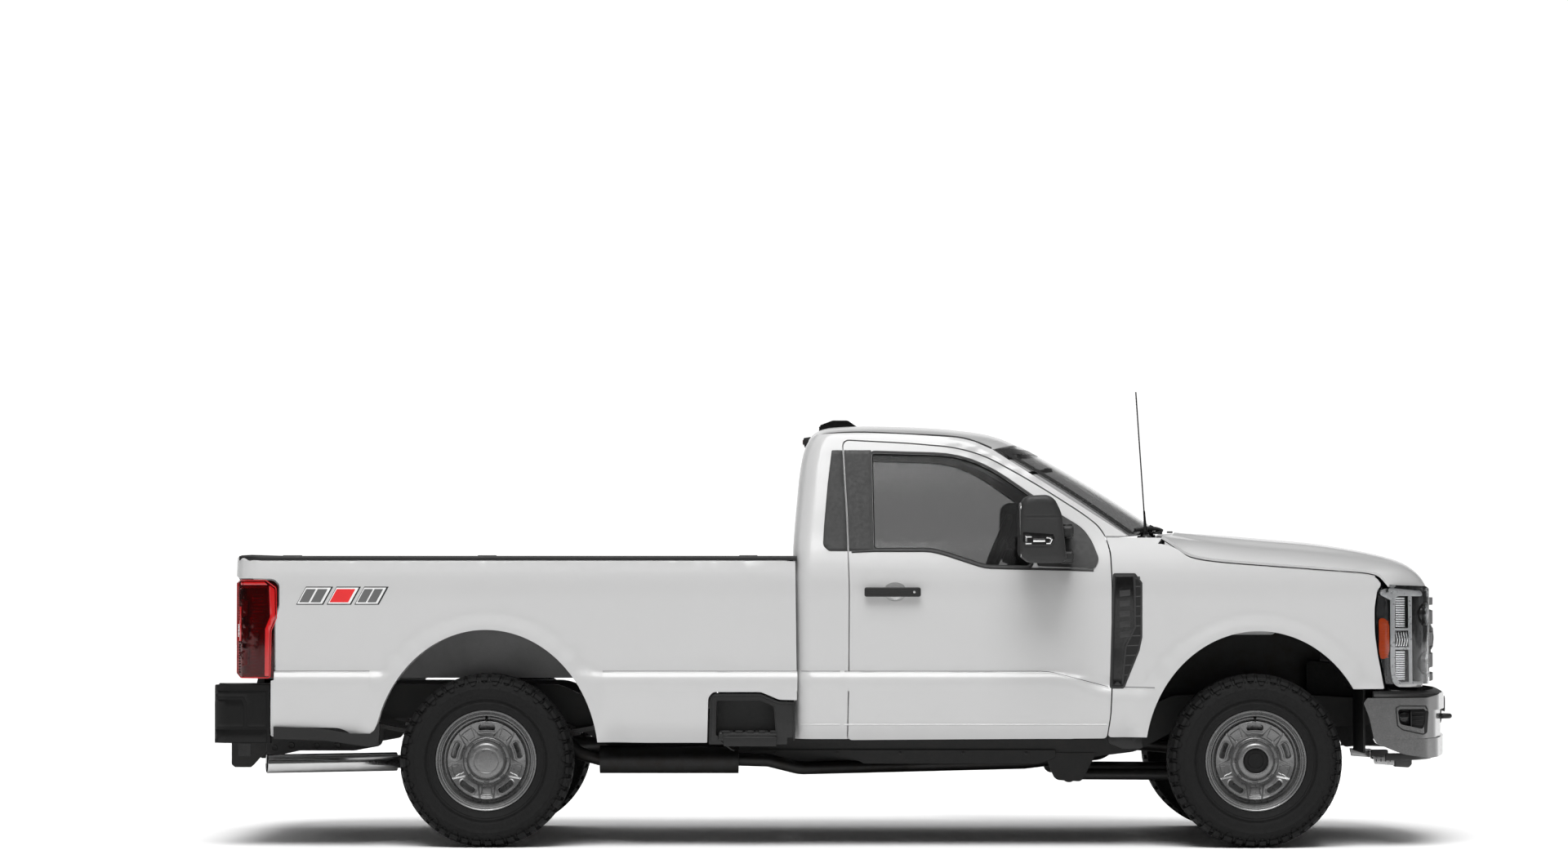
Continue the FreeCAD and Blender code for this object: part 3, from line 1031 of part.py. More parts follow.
def rim(front):
    """Steel disc wheel. Axial + is the outer side. The disc is dished with five openings and raised pads."""
    barrel = [(236, 112), (236, 104), (228, 102), (221, 96), (221, 60), (206, 48), (204, -30), (221, -60), (221, -96), (228, -102), (236, -104), (236, -112),
              (224, -108), (214, -98), (214, -64), (197, -28), (199, 38), (214, 52), (214, 98), (224, 108)]
    b = revolve_y(barrel, 0, 0, 0)
    disc = [(201, 46), (192, 58), (176, 62), (140, 46), (118, 40), (98, 58), (84, 76), (66, 80), (66, 70), (80, 66), (92, 50), (114, 32), (140, 38), (172, 54), (188, 50), (199, 36)]
    d = revolve_y(disc, 0, 0, 0)
    s = fuse([b, d])
    for k in range(5):
        a = math.radians(90 + 72 * k)
        slot = prism_y([(-42, 150, 12), (-30, 176, 14), (30, 176, 14), (42, 150, 12), (26, 142, 10), (-26, 142, 10)], 0, 120)
        slot.rotate(V(0, 0, 0), V(0, 1, 0), 90 - math.degrees(a))
        s = s.cut(slot)
    hub_r = fuse([Part.makeCylinder(67, 34, V(0, 52, 0), V(0, 1, 0)), Part.makeCylinder(50, 34, V(0, 80, 0), V(0, 1, 0))])
    s = fuse([s, hub_r])
    for k in range(8):
        a = math.radians(22.5 + 45 * k)
        s = s.fuse(Part.makeCylinder(11, 22, V(85 * math.cos(a), 62, 85 * math.sin(a)), V(0, 1, 0)))
    return s


ty0 = tyre()
rm0 = rim(True)


def place_wheel(shape, x, y, right):
    s = shape.copy()
    if right:
        s = s.mirror(V(0, 0, 0), V(0, 1, 0))
    s.translate(V(x, y, TYRE_R))
    return s


for tag, x, y, right in (("front_left", AXLE_F, TRACK_HALF_F, False), ("front_right", AXLE_F, -TRACK_HALF_F, True),
                         ("rear_left", AXLE_R, TRACK_HALF_R, False), ("rear_right", AXLE_R, -TRACK_HALF_R, True)):
    put("tyre_" + tag, place_wheel(ty0, x, y, right))
    put("rim_" + tag, place_wheel(rm0, x, y, right))

# mirror-image panels
for n in ("door", "door_glass", "mirror", "cab_side", "fender", "bed_side"):
    put(n + "_left", mirror(bodies[n + "_right"]))

put("roof", fuse([bodies["roof"], fin]))

for name in sorted(bodies):
    s = bodies[name]
    sol = s.Solids
    out = sol[0] if len(sol) == 1 else Part.Compound(sol)
    out.exportStep("parts/" + name + ".step")
    bb = out.BoundBox
    print("%-18s solids %d valid %s vol %.2f L  x %.0f..%.0f y %.0f..%.0f z %.0f..%.0f" % (
        name, len(sol), out.isValid(), out.Volume / 1e6, bb.XMin, bb.XMax, bb.YMin, bb.YMax, bb.ZMin, bb.ZMax))
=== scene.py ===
import bpy, bmesh, json, math, random
from mathutils import Vector, Matrix


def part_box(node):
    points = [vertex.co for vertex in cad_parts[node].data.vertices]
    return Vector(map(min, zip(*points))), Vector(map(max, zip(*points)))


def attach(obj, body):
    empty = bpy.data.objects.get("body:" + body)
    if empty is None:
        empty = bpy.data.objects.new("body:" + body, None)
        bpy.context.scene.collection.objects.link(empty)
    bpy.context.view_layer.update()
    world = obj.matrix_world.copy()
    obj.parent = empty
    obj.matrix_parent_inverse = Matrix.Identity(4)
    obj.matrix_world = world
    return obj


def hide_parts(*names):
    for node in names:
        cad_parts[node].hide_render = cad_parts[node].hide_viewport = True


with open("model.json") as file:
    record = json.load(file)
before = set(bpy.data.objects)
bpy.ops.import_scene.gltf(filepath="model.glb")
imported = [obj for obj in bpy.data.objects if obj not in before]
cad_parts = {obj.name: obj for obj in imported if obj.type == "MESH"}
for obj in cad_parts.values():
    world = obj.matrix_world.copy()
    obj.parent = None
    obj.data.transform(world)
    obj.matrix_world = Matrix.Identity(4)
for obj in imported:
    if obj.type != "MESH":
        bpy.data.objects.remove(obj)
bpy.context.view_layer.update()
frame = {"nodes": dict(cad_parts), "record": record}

random.seed(11)
SC = bpy.context.scene
NODES = frame["nodes"]


# ================================================================ camera and stage
def add_camera():
    cam = bpy.data.objects.new("camera", bpy.data.cameras.new("camera"))
    SC.collection.objects.link(cam)
    yaw, pitch = math.atan(40.0 / 5810.0), math.atan(168.5 / 5810.0)
    f = Vector((-math.sin(yaw) * math.cos(pitch), math.cos(yaw) * math.cos(pitch), math.sin(pitch)))
    r = Vector((math.cos(yaw), math.sin(yaw), 0))
    u = r.cross(f)
    cam.matrix_world = Matrix(((r.x, u.x, -f.x, -0.0995), (r.y, u.y, -f.y, -23.18), (r.z, u.z, -f.z, 1.290), (0, 0, 0, 1)))
    cam.data.lens = 5810.0 / 1920.0 * 36.0
    cam.data.sensor_width = 36.0
    cam.data.clip_end = 300
    SC.camera = cam


add_camera()


# ================================================================ materials
class Mat:
    """Small helper around one node material."""

    def __init__(self, name):
        self.m = bpy.data.materials.new(name)
        self.m.use_nodes = True
        self.t = self.m.node_tree
        self.b = self.t.nodes["Principled BSDF"]
        self.tc = self.t.nodes.new("ShaderNodeTexCoord")

    def new(self, kind, **sets):
        n = self.t.nodes.new(kind)
        for k, v in sets.items():
            setattr(n, k, v)
        return n

    def link(self, a, b):
        self.t.links.new(a, b)

    def set(self, **kw):
        for k, v in kw.items():
            self.b.inputs[k.replace("_", " ")].default_value = v
        return self

    def coord(self, scale=(1, 1, 1), rot=(0, 0, 0)):
        mp = self.new("ShaderNodeMapping")
        mp.inputs["Scale"].default_value = scale
        mp.inputs["Rotation"].default_value = rot
        self.link(self.tc.outputs["Object"], mp.inputs["Vector"])
        return mp.outputs["Vector"]

    def noise(self, scale, detail=3.0, rough=0.5, vec=None):
        n = self.new("ShaderNodeTexNoise")
        n.inputs["Scale"].default_value = scale
        n.inputs["Detail"].default_value = detail
        n.inputs["Roughness"].default_value = rough
        self.link(vec or self.tc.outputs["Object"], n.inputs["Vector"])
        return n.outputs["Fac"]

    def ramp(self, fac, stops, interp="LINEAR"):
        r = self.new("ShaderNodeValToRGB")
        r.color_ramp.interpolation = interp
        el = r.color_ramp.elements
        while len(el) > 1:
            el.remove(el[-1])
        el[0].position, el[0].color = stops[0][0], (*stops[0][1], 1) if len(stops[0][1]) == 3 else stops[0][1]
        for p, c in stops[1:]:
            e = el.new(p)
            e.color = (*c, 1) if len(c) == 3 else c
        self.link(fac, r.inputs["Fac"])
        return r.outputs["Color"]

    def range(self, fac, lo, hi, flo=0.3, fhi=0.7):
        r = self.new("ShaderNodeMapRange")
        r.inputs["From Min"].default_value = flo
        r.inputs["From Max"].default_value = fhi
        r.inputs["To Min"].default_value = lo
        r.inputs["To Max"].default_value = hi
        self.link(fac, r.inputs["Value"])
        return r.outputs["Result"]

    def math(self, op, a, b=None, clamp=False):
        n = self.new("ShaderNodeMath", operation=op, use_clamp=clamp)
        for i, v in enumerate((a, b)):
            if v is None:
                continue
            if isinstance(v, (int, float)):
                n.inputs[i].default_value = v
            else:
                self.link(v, n.inputs[i])
        return n.outputs[0]

    def bump(self, height, strength=0.2, dist=0.001, prev=None):
        n = self.new("ShaderNodeBump")
        n.inputs["Strength"].default_value = strength
        n.inputs["Distance"].default_value = dist
        self.link(height, n.inputs["Height"])
        if prev:
            self.link(prev, n.inputs["Normal"])
        self.link(n.outputs["Normal"], self.b.inputs["Normal"])
        return n.outputs["Normal"]

    def color(self, out):
        self.link(out, self.b.inputs["Base Color"])

    def rough(self, out):
        self.link(out, self.b.inputs["Roughness"])


def g(v):
    """sRGB grey 0..255 to a linear colour."""
    if isinstance(v, (int, float)):
        v = (v, v, v)
    return tuple(((c / 255.0) / 12.92 if c / 255.0 <= 0.04045 else ((c / 255.0 + 0.055) / 1.055) ** 2.4) for c in v)


def sep_z(m):
    s = m.new("ShaderNodeSeparateXYZ")
    m.link(m.tc.outputs["Object"], s.inputs[0])
    return s.outputs["Z"]


def mix_col(m, fac, a, b):
    n = m.new("ShaderNodeMix", data_type="RGBA")
    for v, sock in ((fac, n.inputs["Factor"]), (a, n.inputs["A"]), (b, n.inputs["B"])):
        if isinstance(v, (int, float)):
            sock.default_value = v
        elif isinstance(v, tuple):
            sock.default_value = (*v, 1)
        else:
            m.link(v, sock)
    return n.outputs["Result"]


M = {}


def paint(name, base, rough=0.28, dirt=0.0):
    m = Mat(name)
    n = m.noise(2.2, 4, 0.55)
    c = m.ramp(n, [(0.3, tuple(x * 0.985 for x in base)), (0.7, base)])
    if dirt:
        low = m.range(sep_z(m), 1.0, 0.0, 0.45, 0.95)
        spots = m.math("MULTIPLY", low, m.range(m.noise(30, 6, 0.7), 0, dirt, 0.42, 0.75))
        c = mix_col(m, spots, c, g((150, 140, 128)))
    m.color(c)
    fine = m.noise(900, 2, 0.5)
    m.rough(m.range(fine, rough - 0.03, rough + 0.03))
    m.set(Coat_Weight=0.45, Coat_Roughness=0.10, Coat_IOR=1.5, IOR=1.45, Specular_IOR_Level=0.35)
    m.bump(m.noise(260, 2, 0.4), 0.025, 0.0006)
    M[name] = m.m
    return m


def plastic(name, base, rough=0.55, grain=420, depth=0.18, spec=0.4, var=0.12):
    m = Mat(name)
    vo = m.new("ShaderNodeTexVoronoi")
    vo.inputs["Scale"].default_value = grain
    m.link(m.tc.outputs["Object"], vo.inputs["Vector"])
    m.color(m.ramp(m.noise(5, 4, 0.6), [(0.3, tuple(x * (1 - var) for x in base)), (0.7, tuple(min(1, x * (1 + var)) for x in base))]))
    m.rough(m.range(m.noise(60, 4, 0.6), rough - 0.06, rough + 0.08))
    m.set(Specular_IOR_Level=spec)
    m.bump(vo.outputs["Distance"], depth, 0.0004)
    M[name] = m.m
    return m


def metal(name, base, rough=0.35, metallic=1.0, brush=None, dirt=None, bump=0.05, bscale=180):
    m = Mat(name)
    vec = m.coord(brush) if brush else None
    n = m.noise(bscale, 5, 0.6, vec)
    c = m.ramp(m.noise(8, 5, 0.6), [(0.3, tuple(x * 0.86 for x in base)), (0.7, base)])
    if dirt:
        c = mix_col(m, m.range(m.noise(14, 8, 0.72), 0, 0.8, 0.45, 0.72), c, dirt)
    m.color(c)
    m.rough(m.range(n, rough - 0.08, rough + 0.1))
    m.set(Metallic=metallic)
    m.bump(n, bump, 0.0006)
    M[name] = m.m
    return m


def glass(name, tint, rough=0.0, spec=0.5):
    m = Mat(name)
    m.set(Transmission_Weight=1.0, IOR=1.12, Roughness=rough, Specular_IOR_Level=spec)
    m.color(m.ramp(m.noise(1.2, 2, 0.5), [(0.3, tuple(x * 0.97 for x in tint)), (0.7, tint)]))
    m.b.inputs["Roughness"].default_value = rough
    M[name] = m.m
    return m


paint("paint_white", g(181), 0.30)
paint("paint_bed", g(180), 0.42)
plastic("trim_black", g(20), 0.5)
plastic("trim_mirror", g(33), 0.5, 600, 0.10)
plastic("trim_gloss", g(16), 0.16, 300, 0.02)
m_ = paint("bumper_satin", g(13), 0.36)
m_.set(Coat_Weight=0.06, Coat_Roughness=0.12, Specular_IOR_Level=0.2)
metal("silver_bumper", g(104), 0.15, 0.9)
plastic("grille_grey", g(90), 0.58, 500, 0.06, spec=0.2)
m_ = plastic("tinted", g(14), 0.06, 60, 0.0, spec=0.16, var=0.02)
m_.b.inputs["Roughness"].default_value = 0.02
m_.set(Alpha=0.43)
glass("clear", g(240))
plastic("rubber", g(13), 0.68, 300, 0.12, spec=0.22)
metal("wheel_grey", g(116), 0.30, 0.65, bump=0.004, bscale=60)
metal("black_steel", g(16), 0.48, 0.2, dirt=g((27, 25, 23)))
metal("bare_steel", g(70), 0.42, 0.85, dirt=g((44, 38, 34)))
metal("cast_iron", g(52), 0.6, 0.7, dirt=g((42, 36, 31)), bump=0.3, bscale=320)
metal("exhaust_steel", g(44), 0.40, 0.9, dirt=g((36, 32, 29)))
metal("tail_pipe_steel", g(196), 0.16, 1.0, bump=0.02)
metal("radiator_fins", g(60), 0.4, 0.8)
plastic("interior_dark", g(44), 0.6, 700, 0.2)
plastic("mat_rubber", g(28), 0.75, 200, 0.2)
plastic("liner_and_slot_shade_black", g(13), 0.75, 240, 0.2)
m_ = plastic("red_lens", g((104, 8, 9)), 0.1, 100, 0.02)
m_.set(Coat_Weight=1.0, Coat_Roughness=0.03)
m_ = plastic("amber_lens", g((172, 58, 5)), 0.14, 100, 0.02)
m_.set(Coat_Weight=0.25, Coat_Roughness=0.05, Specular_IOR_Level=0.2)
metal("reflector", g(225), 0.12, 1.0, bump=0.0)


def fabric(name, base):
    m = Mat(name)
    w1 = m.new("ShaderNodeTexWave", wave_type="BANDS", bands_direction="Z")
    w1.inputs["Scale"].default_value = 220
    w2 = m.new("ShaderNodeTexWave", wave_type="BANDS", bands_direction="Y")
    w2.inputs["Scale"].default_value = 220
    for w in (w1, w2):
        w.inputs["Distortion"].default_value = 0.6
        m.link(m.tc.outputs["Object"], w.inputs["Vector"])
    h = m.math("MULTIPLY", w1.outputs["Fac"], w2.outputs["Fac"])
    m.color(mix_col(m, h, tuple(x * 0.7 for x in base), base))
    m.rough(m.range(m.noise(300, 3), 0.85, 0.95))
    m.set(Sheen_Weight=0.3, Sheen_Roughness=0.4, Specular_IOR_Level=0.2)
    m.bump(h, 0.35, 0.0006)
    M[name] = m.m


fabric("seat_fabric", g(66))

BY_SLOT = {
    "body_paint": "paint_white", "bed_lining": "paint_bed", "black_trim": "trim_black", "mirror_black": "trim_mirror", "bumper_black": "bumper_satin",
    "bright_bumper": "silver_bumper", "grille_grey": "grille_grey", "glass": "tinted", "lamp": "clear", "tail_red": "red_lens", "tyre": "rubber",
    "wheel_steel": "wheel_grey", "chassis_black": "black_steel", "chassis_steel": "bare_steel", "cast": "cast_iron", "exhaust_steel": "exhaust_steel",
    "radiator": "radiator_fins", "interior": "interior_dark", "floor_mat": "mat_rubber", "seat_cloth": "seat_fabric",
}
SLOT_OF = {s["node"]: s["material_slot"] for s in frame["record"]["subparts"]}
for n, o in NODES.items():
    want = M[BY_SLOT[SLOT_OF[n]]]
    if n == "wheel_liners":
        want = M["liner_and_slot_shade_black"]
    o.data.materials.clear()
    o.data.materials.append(want)



# ================================================================ geometry helpers
from mathutils.bvhtree import BVHTree
from mathutils import geometry as geo

MADE = []


def rpoly(pts, closed=True, seg=5):
    """Polygon corners (u, v, r) -> points with rounded corners."""
    n = len(pts)
    out = []
    for i, p in enumerate(pts):
        r = p[2] if len(p) > 2 else 0.0
        q = Vector(p[:2])
        if (not closed and i in (0, n - 1)) or r <= 1e-6:
            out.append(q)
            continue
        a, b = Vector(pts[i - 1][:2]) - q, Vector(pts[(i + 1) % n][:2]) - q
        la, lb = a.length, b.length
        if la < 1e-6 or lb < 1e-6:
            out.append(q)
            continue
        a /= la
        b /= lb
        ang = math.acos(max(-1, min(1, a.dot(b))))
        if ang > 3.10 or ang < 0.05:
            out.append(q)
            continue
        t = min(r / math.tan(ang / 2), 0.48 * la, 0.48 * lb)
        rr = t * math.tan(ang / 2)
        c = q + (a + b).normalized() * (rr / math.sin(ang / 2))
        s, e = q + a * t - c, q + b * t - c
        a0 = math.atan2(s.y, s.x)
        d = math.atan2(s.x * e.y - s.y * e.x, s.dot(e))
        k = max(2, int(abs(d) / 1.5708 * seg) + 1)
        for j in range(k + 1):
            w = a0 + d * j / k
            out.append(c + Vector((math.cos(w), math.sin(w))) * rr)
    return out


def place(p, axis, h):
    """2D point and height -> 3D, for a prism along that axis."""
    return {"x": (h, p[0], p[1]), "y": (p[0], h, p[1]), "z": (p[0], p[1], h)}[axis]


def bm_prism(pts, axis, a, b, bev=0.002, seg=2, rseg=5):
    loop = rpoly(pts, seg=rseg)
    bm = bmesh.new()
    va = [bm.verts.new(place(p, axis, a)) for p in loop]
    vb = [bm.verts.new(place(p, axis, b)) for p in loop]
    n = len(loop)
    fa, fb = bm.faces.new(va), bm.faces.new(vb)
    for i in range(n):
        bm.faces.new((va[i], va[(i + 1) % n], vb[(i + 1) % n], vb[i]))
    bmesh.ops.recalc_face_normals(bm, faces=bm.faces)
    if bev > 0:
        bmesh.ops.bevel(bm, geom=list(set(fa.edges) | set(fb.edges)), offset=bev, segments=seg, profile=0.5, affect="EDGES", clamp_overlap=True)
    return bm


def bm_box(x0, x1, y0, y1, z0, z1, bev=0.002, seg=2):
    bm = bmesh.new()
    bmesh.ops.create_cube(bm, size=1.0)
    for v in bm.verts:
        v.co = Vector(((x0 + x1) / 2 + v.co.x * (x1 - x0), (y0 + y1) / 2 + v.co.y * (y1 - y0), (z0 + z1) / 2 + v.co.z * (z1 - z0)))
    if bev > 0:
        bmesh.ops.bevel(bm, geom=bm.edges[:], offset=min(bev, 0.45 * min(x1 - x0, y1 - y0, z1 - z0)), segments=seg, profile=0.5, affect="EDGES", clamp_overlap=True)
    return bm


def frame_of(axis):
    z = Vector(axis).normalized()
    x = z.orthogonal().normalized()
    if abs(z.y) > 0.9:
        x = Vector((1, 0, 0)) - z * z.x
        x.normalize()
    return Matrix((x, z.cross(x), z)).transposed()


def bm_lathe(prof, origin, axis, n=64, closed=False, phase=0.0):
    """Profile (radius, height) turned about an axis. closed joins the last point to the first."""
    bm = bmesh.new()
    R = frame_of(axis)
    o = Vector(origin)
    rings = []
    for r, h in prof:
        if r < 1e-6:
            rings.append([bm.verts.new(o + R @ Vector((0, 0, h)))])
        else:
            rings.append([bm.verts.new(o + R @ Vector((r * math.cos(phase + 2 * math.pi * i / n), r * math.sin(phase + 2 * math.pi * i / n), h))) for i in range(n)])
    pairs = list(zip(rings, rings[1:])) + ([(rings[-1], rings[0])] if closed else [])
    for a, b in pairs:
        for i in range(n):
            j = (i + 1) % n
            f = [a[i % len(a)], a[j % len(a)], b[j % len(b)], b[i % len(b)]]
            f = [v for k, v in enumerate(f) if v not in f[:k]]
            if len(f) > 2:
                bm.faces.new(f)
    return bm


def cyl(origin, axis, r, h, bev=0.0015, n=32):
    b = min(bev, r * 0.4, abs(h) * 0.4)
    return bm_lathe([(0, 0), (r - b, 0), (r - b * 0.3, b * 0.3), (r, b), (r, h - b), (r - b * 0.3, h - b * 0.3), (r - b, h), (0, h)], origin, axis, n)


def catmull(pts, sub=6, closed=False):
    P = [Vector(p) for p in pts]
    n = len(P)
    out = []
    rng = range(n) if closed else range(n - 1)
    for i in rng:
        p0 = P[(i - 1) % n] if (closed or i > 0) else P[0] * 2 - P[1]
        p1, p2 = P[i], P[(i + 1) % n]
        p3 = P[(i + 2) % n] if (closed or i < n - 2) else P[-1] * 2 - P[-2]
        for k in range(sub):
            t = k / sub
            out.append(0.5 * ((2 * p1) + (p2 - p0) * t + (2 * p0 - 5 * p1 + 4 * p2 - p3) * t * t + (3 * p1 - p0 - 3 * p2 + p3) * t ** 3))
    if not closed:
        out.append(P[-1])
    return out


def bm_sweep(path, prof, ups=None, closed=False, caps=True):
    """Closed profile [(side, up)] carried along a path. ups: up direction at every point, else carried along."""
    bm = bmesh.new()
    P = [Vector(p) for p in path]
    n = len(P)
    rings = []
    up = None
    for i in range(n):
        a = P[(i - 1) % n] if (closed or i > 0) else P[i]
        b = P[(i + 1) % n] if (closed or i < n - 1) else P[i]
        t = (b - a).normalized()
        if ups is not None:
            u = Vector(ups[i] if isinstance(ups, list) else ups)
        else:
            u = up if up is not None else t.orthogonal()
        u = (u - t * u.dot(t)).normalized()
        up = u
        s = t.cross(u)
        pr = prof(i / max(1, n - 1)) if callable(prof) else prof
        rings.append([bm.verts.new(P[i] + s * q[0] + u * q[1]) for q in pr])
    m = len(rings[0])
    for a, b in list(zip(rings, rings[1:])) + ([(rings[-1], rings[0])] if closed else []):
        for i in range(m):
            bm.faces.new((a[i], a[(i + 1) % m], b[(i + 1) % m], b[i]))
    if caps and not closed:
        bm.faces.new(rings[0])
        bm.faces.new(list(reversed(rings[-1])))
    return bm


def circle(r, n=10, ry=None):
    return [(r * math.cos(2 * math.pi * i / n), (ry or r) * math.sin(2 * math.pi * i / n)) for i in range(n)]


def tube(path, r, n=10, closed=False, smooth=0):
    if smooth:
        path = catmull(path, smooth, closed)
    return bm_sweep(path, circle(r, n), closed=closed)


def half_round(w, h, base=-0.001, k=4):
    """Low moulding profile: flat underside, rounded top."""
    p = [(w / 2, base)]
    for i in range(k + 1):
        a = math.pi * i / k
        p.append((w / 2 * math.cos(a), h * (0.35 + 0.65 * math.sin(a))))
    p.append((-w / 2, base))
    return p


class Drop:
    """Finds the outside of CAD nodes along an axis: 'y-' is seen from the right, 'x+' from the front, 'z+' from above."""

    def __init__(self, nodes, way, lo=None, hi=None):
        vs, fs = [], []
        for n in nodes:
            me = NODES[n].data
            k = len(vs)
            vs += [v.co.copy() for v in me.vertices]
            fs += [tuple(k + i for i in p.vertices) for p in me.polygons]
        self.t = BVHTree.FromPolygons(vs, fs)
        self.ax = "xyz".index(way[0])
        self.sg = 1 if way[1] == "+" else -1
        self.lo, self.hi = lo, hi

    def at(self, u, v):
        o, d = [0, 0, 0], [0, 0, 0]
        o[self.ax], d[self.ax] = 4.0 * self.sg, -float(self.sg)
        k = [i for i in range(3) if i != self.ax]
        o[k[0]], o[k[1]] = u, v
        h = self.t.ray_cast(Vector(o), Vector(d))
        if h[0] is None:
            return None
        c = h[0][self.ax]
        if (self.lo is not None and c < self.lo) or (self.hi is not None and c > self.hi):
            return None
        return h[0]

    def get(self, u, v):
        for r in (0, 0.004, 0.008, 0.014, 0.022, 0.034):
            for a in range(1 if r == 0 else 8):
                p = self.at(u + r * math.cos(a * 0.785), v + r * math.sin(a * 0.785))
                if p is not None:
                    k = [i for i in range(3) if i != self.ax]
                    p = p.copy()
                    p[k[0]], p[k[1]] = u, v
                    return p
        return None

    def normal(self, u, v, e=0.012):
        p = self.get(u, v)
        out = Vector((0, 0, 0))
        out[self.ax] = self.sg
        if p is None:
            return None, out
        a, b, c, d = self.get(u + e, v), self.get(u - e, v), self.get(u, v + e), self.get(u, v - e)
        tx = (a or p) - (b or p)
        tv = (c or p) - (d or p)
        n = tx.cross(tv)
        if n.length < 1e-12:
            return p, out
        n.normalize()
        if n[self.ax] * self.sg < 0:
            n = -n
        if abs(n[self.ax]) < 0.35:
            n = out
        return p, n


def inside(p, poly):
    c = False
    j = len(poly) - 1
    for i in range(len(poly)):
        a, b = poly[i], poly[j]
        if (a[1] > p[1]) != (b[1] > p[1]) and p[0] < (b[0] - a[0]) * (p[1] - a[1]) / (b[1] - a[1]) + a[0]:
            c = not c
        j = i
    return c


def densify(loop, step, closed=True):
    out = []
    n = len(loop)
    for i in range(n if closed else n - 1):
        a, b = Vector(loop[i]), Vector(loop[(i + 1) % n])
        k = max(1, int(math.ceil((b - a).length / step)))
        for j in range(k):
            out.append(a.lerp(b, j / k))
    if not closed:
        out.append(Vector(loop[-1]))
    return out


def bm_patch(pts, drop, lift=0.002, thick=0.004, step=0.02, rseg=6, edge=0.0):
    """Sheet over the CAD surface inside a rounded outline, with real thickness and a small rolled edge."""
    loop = densify(rpoly(pts, seg=rseg), step)
    v2 = [Vector(p) for p in loop]
    n = len(v2)
    xs, ys = [p.x for p in v2], [p.y for p in v2]
    i0, i1 = int(math.floor(min(xs) / step)), int(math.ceil(max(xs) / step))
    j0, j1 = int(math.floor(min(ys) / step)), int(math.ceil(max(ys) / step))
    for i in range(i0, i1 + 1):
        for j in range(j0, j1 + 1):
            p = Vector((i * step, j * step))
            if inside(p, v2[:n]) and min((p - q).length for q in v2[:n]) > step * 0.55:
                v2.append(p)
    res = geo.delaunay_2d_cdt(v2, [(i, (i + 1) % n) for i in range(n)], [], 1, 1e-6)
    vs, fs = res[0], res[2]
    bm = bmesh.new()
    top, bot = [], []
    for p in vs:
        q, nm = drop.normal(p.x, p.y)
        if q is None:
            q = Vector((0, 0, 0))
            nm = Vector((0, 0, 0))
            nm[drop.ax] = drop.sg
        top.append(bm.verts.new(q + nm * lift))
        bot.append(bm.verts.new(q + nm * (lift - thick)))
    cnt = {}
    for f in fs:
        bm.faces.new([top[i] for i in f])
        bm.faces.new([bot[i] for i in reversed(f)])
        for k in range(len(f)):
            e = (f[k], f[(k + 1) % len(f)])
            cnt[e] = cnt.get(e, 0) + 1
    rim = []
    for (a, b) in cnt:
        if (b, a) not in cnt:
            bm.faces.new((top[b], top[a], bot[a], bot[b]))
            rim.append((top[a], top[b]))
    bmesh.ops.recalc_face_normals(bm, faces=bm.faces)
    if edge > 0:
        es = [e for e in (bm.edges.get(r) for r in rim) if e]
        bmesh.ops.bevel(bm, geom=es, offset=edge, segments=2, profile=0.5, affect="EDGES", clamp_overlap=True)
    return bm


def bm_trim(pts, drop, w, h, closed=False, lift=0.0, step=0.02, rseg=6, k=4, shift=0.0):
    """Moulding laid on the CAD surface along a side-view line."""
    line = densify(rpoly(pts, closed, rseg), step, closed)
    path, ups = [], []
    for p in line:
        q, nm = drop.normal(p.x, p.y)
        if q is None:
            continue
        path.append(q + nm * lift)
        ups.append(nm)
    return bm_sweep(path, half_round(w, h, k=k), ups, closed)


class Piece:
    def __init__(self, name, mat, body="chassis"):
        self.name, self.mat, self.body, self.bm = name, mat, body, bmesh.new()

    def add(self, bm, both=False, M4=None):
        """Take in a small mesh; both adds its mirror image across the middle plane too."""
        if M4 is not None:
            bmesh.ops.transform(bm, matrix=M4, verts=bm.verts)
        bmesh.ops.recalc_face_normals(bm, faces=bm.faces)
        me = bpy.data.meshes.new("t")
        bm.to_mesh(me)
        bm.free()
        self.bm.from_mesh(me)
        if both:
            me.transform(Matrix.Scale(-1, 4, (0, 1, 0)))
            me.flip_normals()
            self.bm.from_mesh(me)
        bpy.data.meshes.remove(me)
        return self

    def done(self, slot=None, sharp=36.0, twin=None, name2=None, replaces=()):
        """Make the object. twin: body name for a mirrored copy."""
        lim = math.radians(sharp)
        for f in self.bm.faces:
            f.smooth = True
        for e in self.bm.edges:
            if len(e.link_faces) == 2 and e.calc_face_angle(0.0) > lim:
                e.smooth = False
        me = bpy.data.meshes.new(self.name)
        self.bm.to_mesh(me)
        self.bm.free()
        objs = [self._obj(self.name, me, self.body, replaces)]
        if twin:
            m2 = me.copy()
            m2.transform(Matrix.Scale(-1, 4, (0, 1, 0)))
            m2.flip_normals()
            nm = name2 or (self.name.replace("_right", "_left") if "_right" in self.name else self.name + "_left")
            m2.name = nm
            objs.append(self._obj(nm, m2, twin, [r.replace("_right", "_left") for r in replaces]))
        return objs

    def _obj(self, name, me, body, replaces):
        o = bpy.data.objects.new(name, me)
        SC.collection.objects.link(o)
        if not me.materials:
            me.materials.append(M[self.mat])
        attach(o, body)
        for r in replaces:
            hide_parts(r)
        MADE.append(o)
        return o


def S_(y):
    """Scale of the side view at depth y."""
    return 5810.0 / (23.18 + y)


def sv(u, v, y=-1.0, r=None):
    """Side-view measure -> (X, Z) in metres at depth y."""
    s = S_(y)
    p = ((u - 1000.0) / s - 0.0995, 1.290 - (v - 700.0) / s)
    return p if r is None else (p[0], p[1], r)


def svs(pts, y=-1.0):
    return [sv(p[0], p[1], y, p[2] if len(p) > 2 else 0.0) for p in pts]


# ================================================================ wheels
TR, TW = 0.406, 0.265          # tyre radius and width
RFL = 0.236                    # rim flange


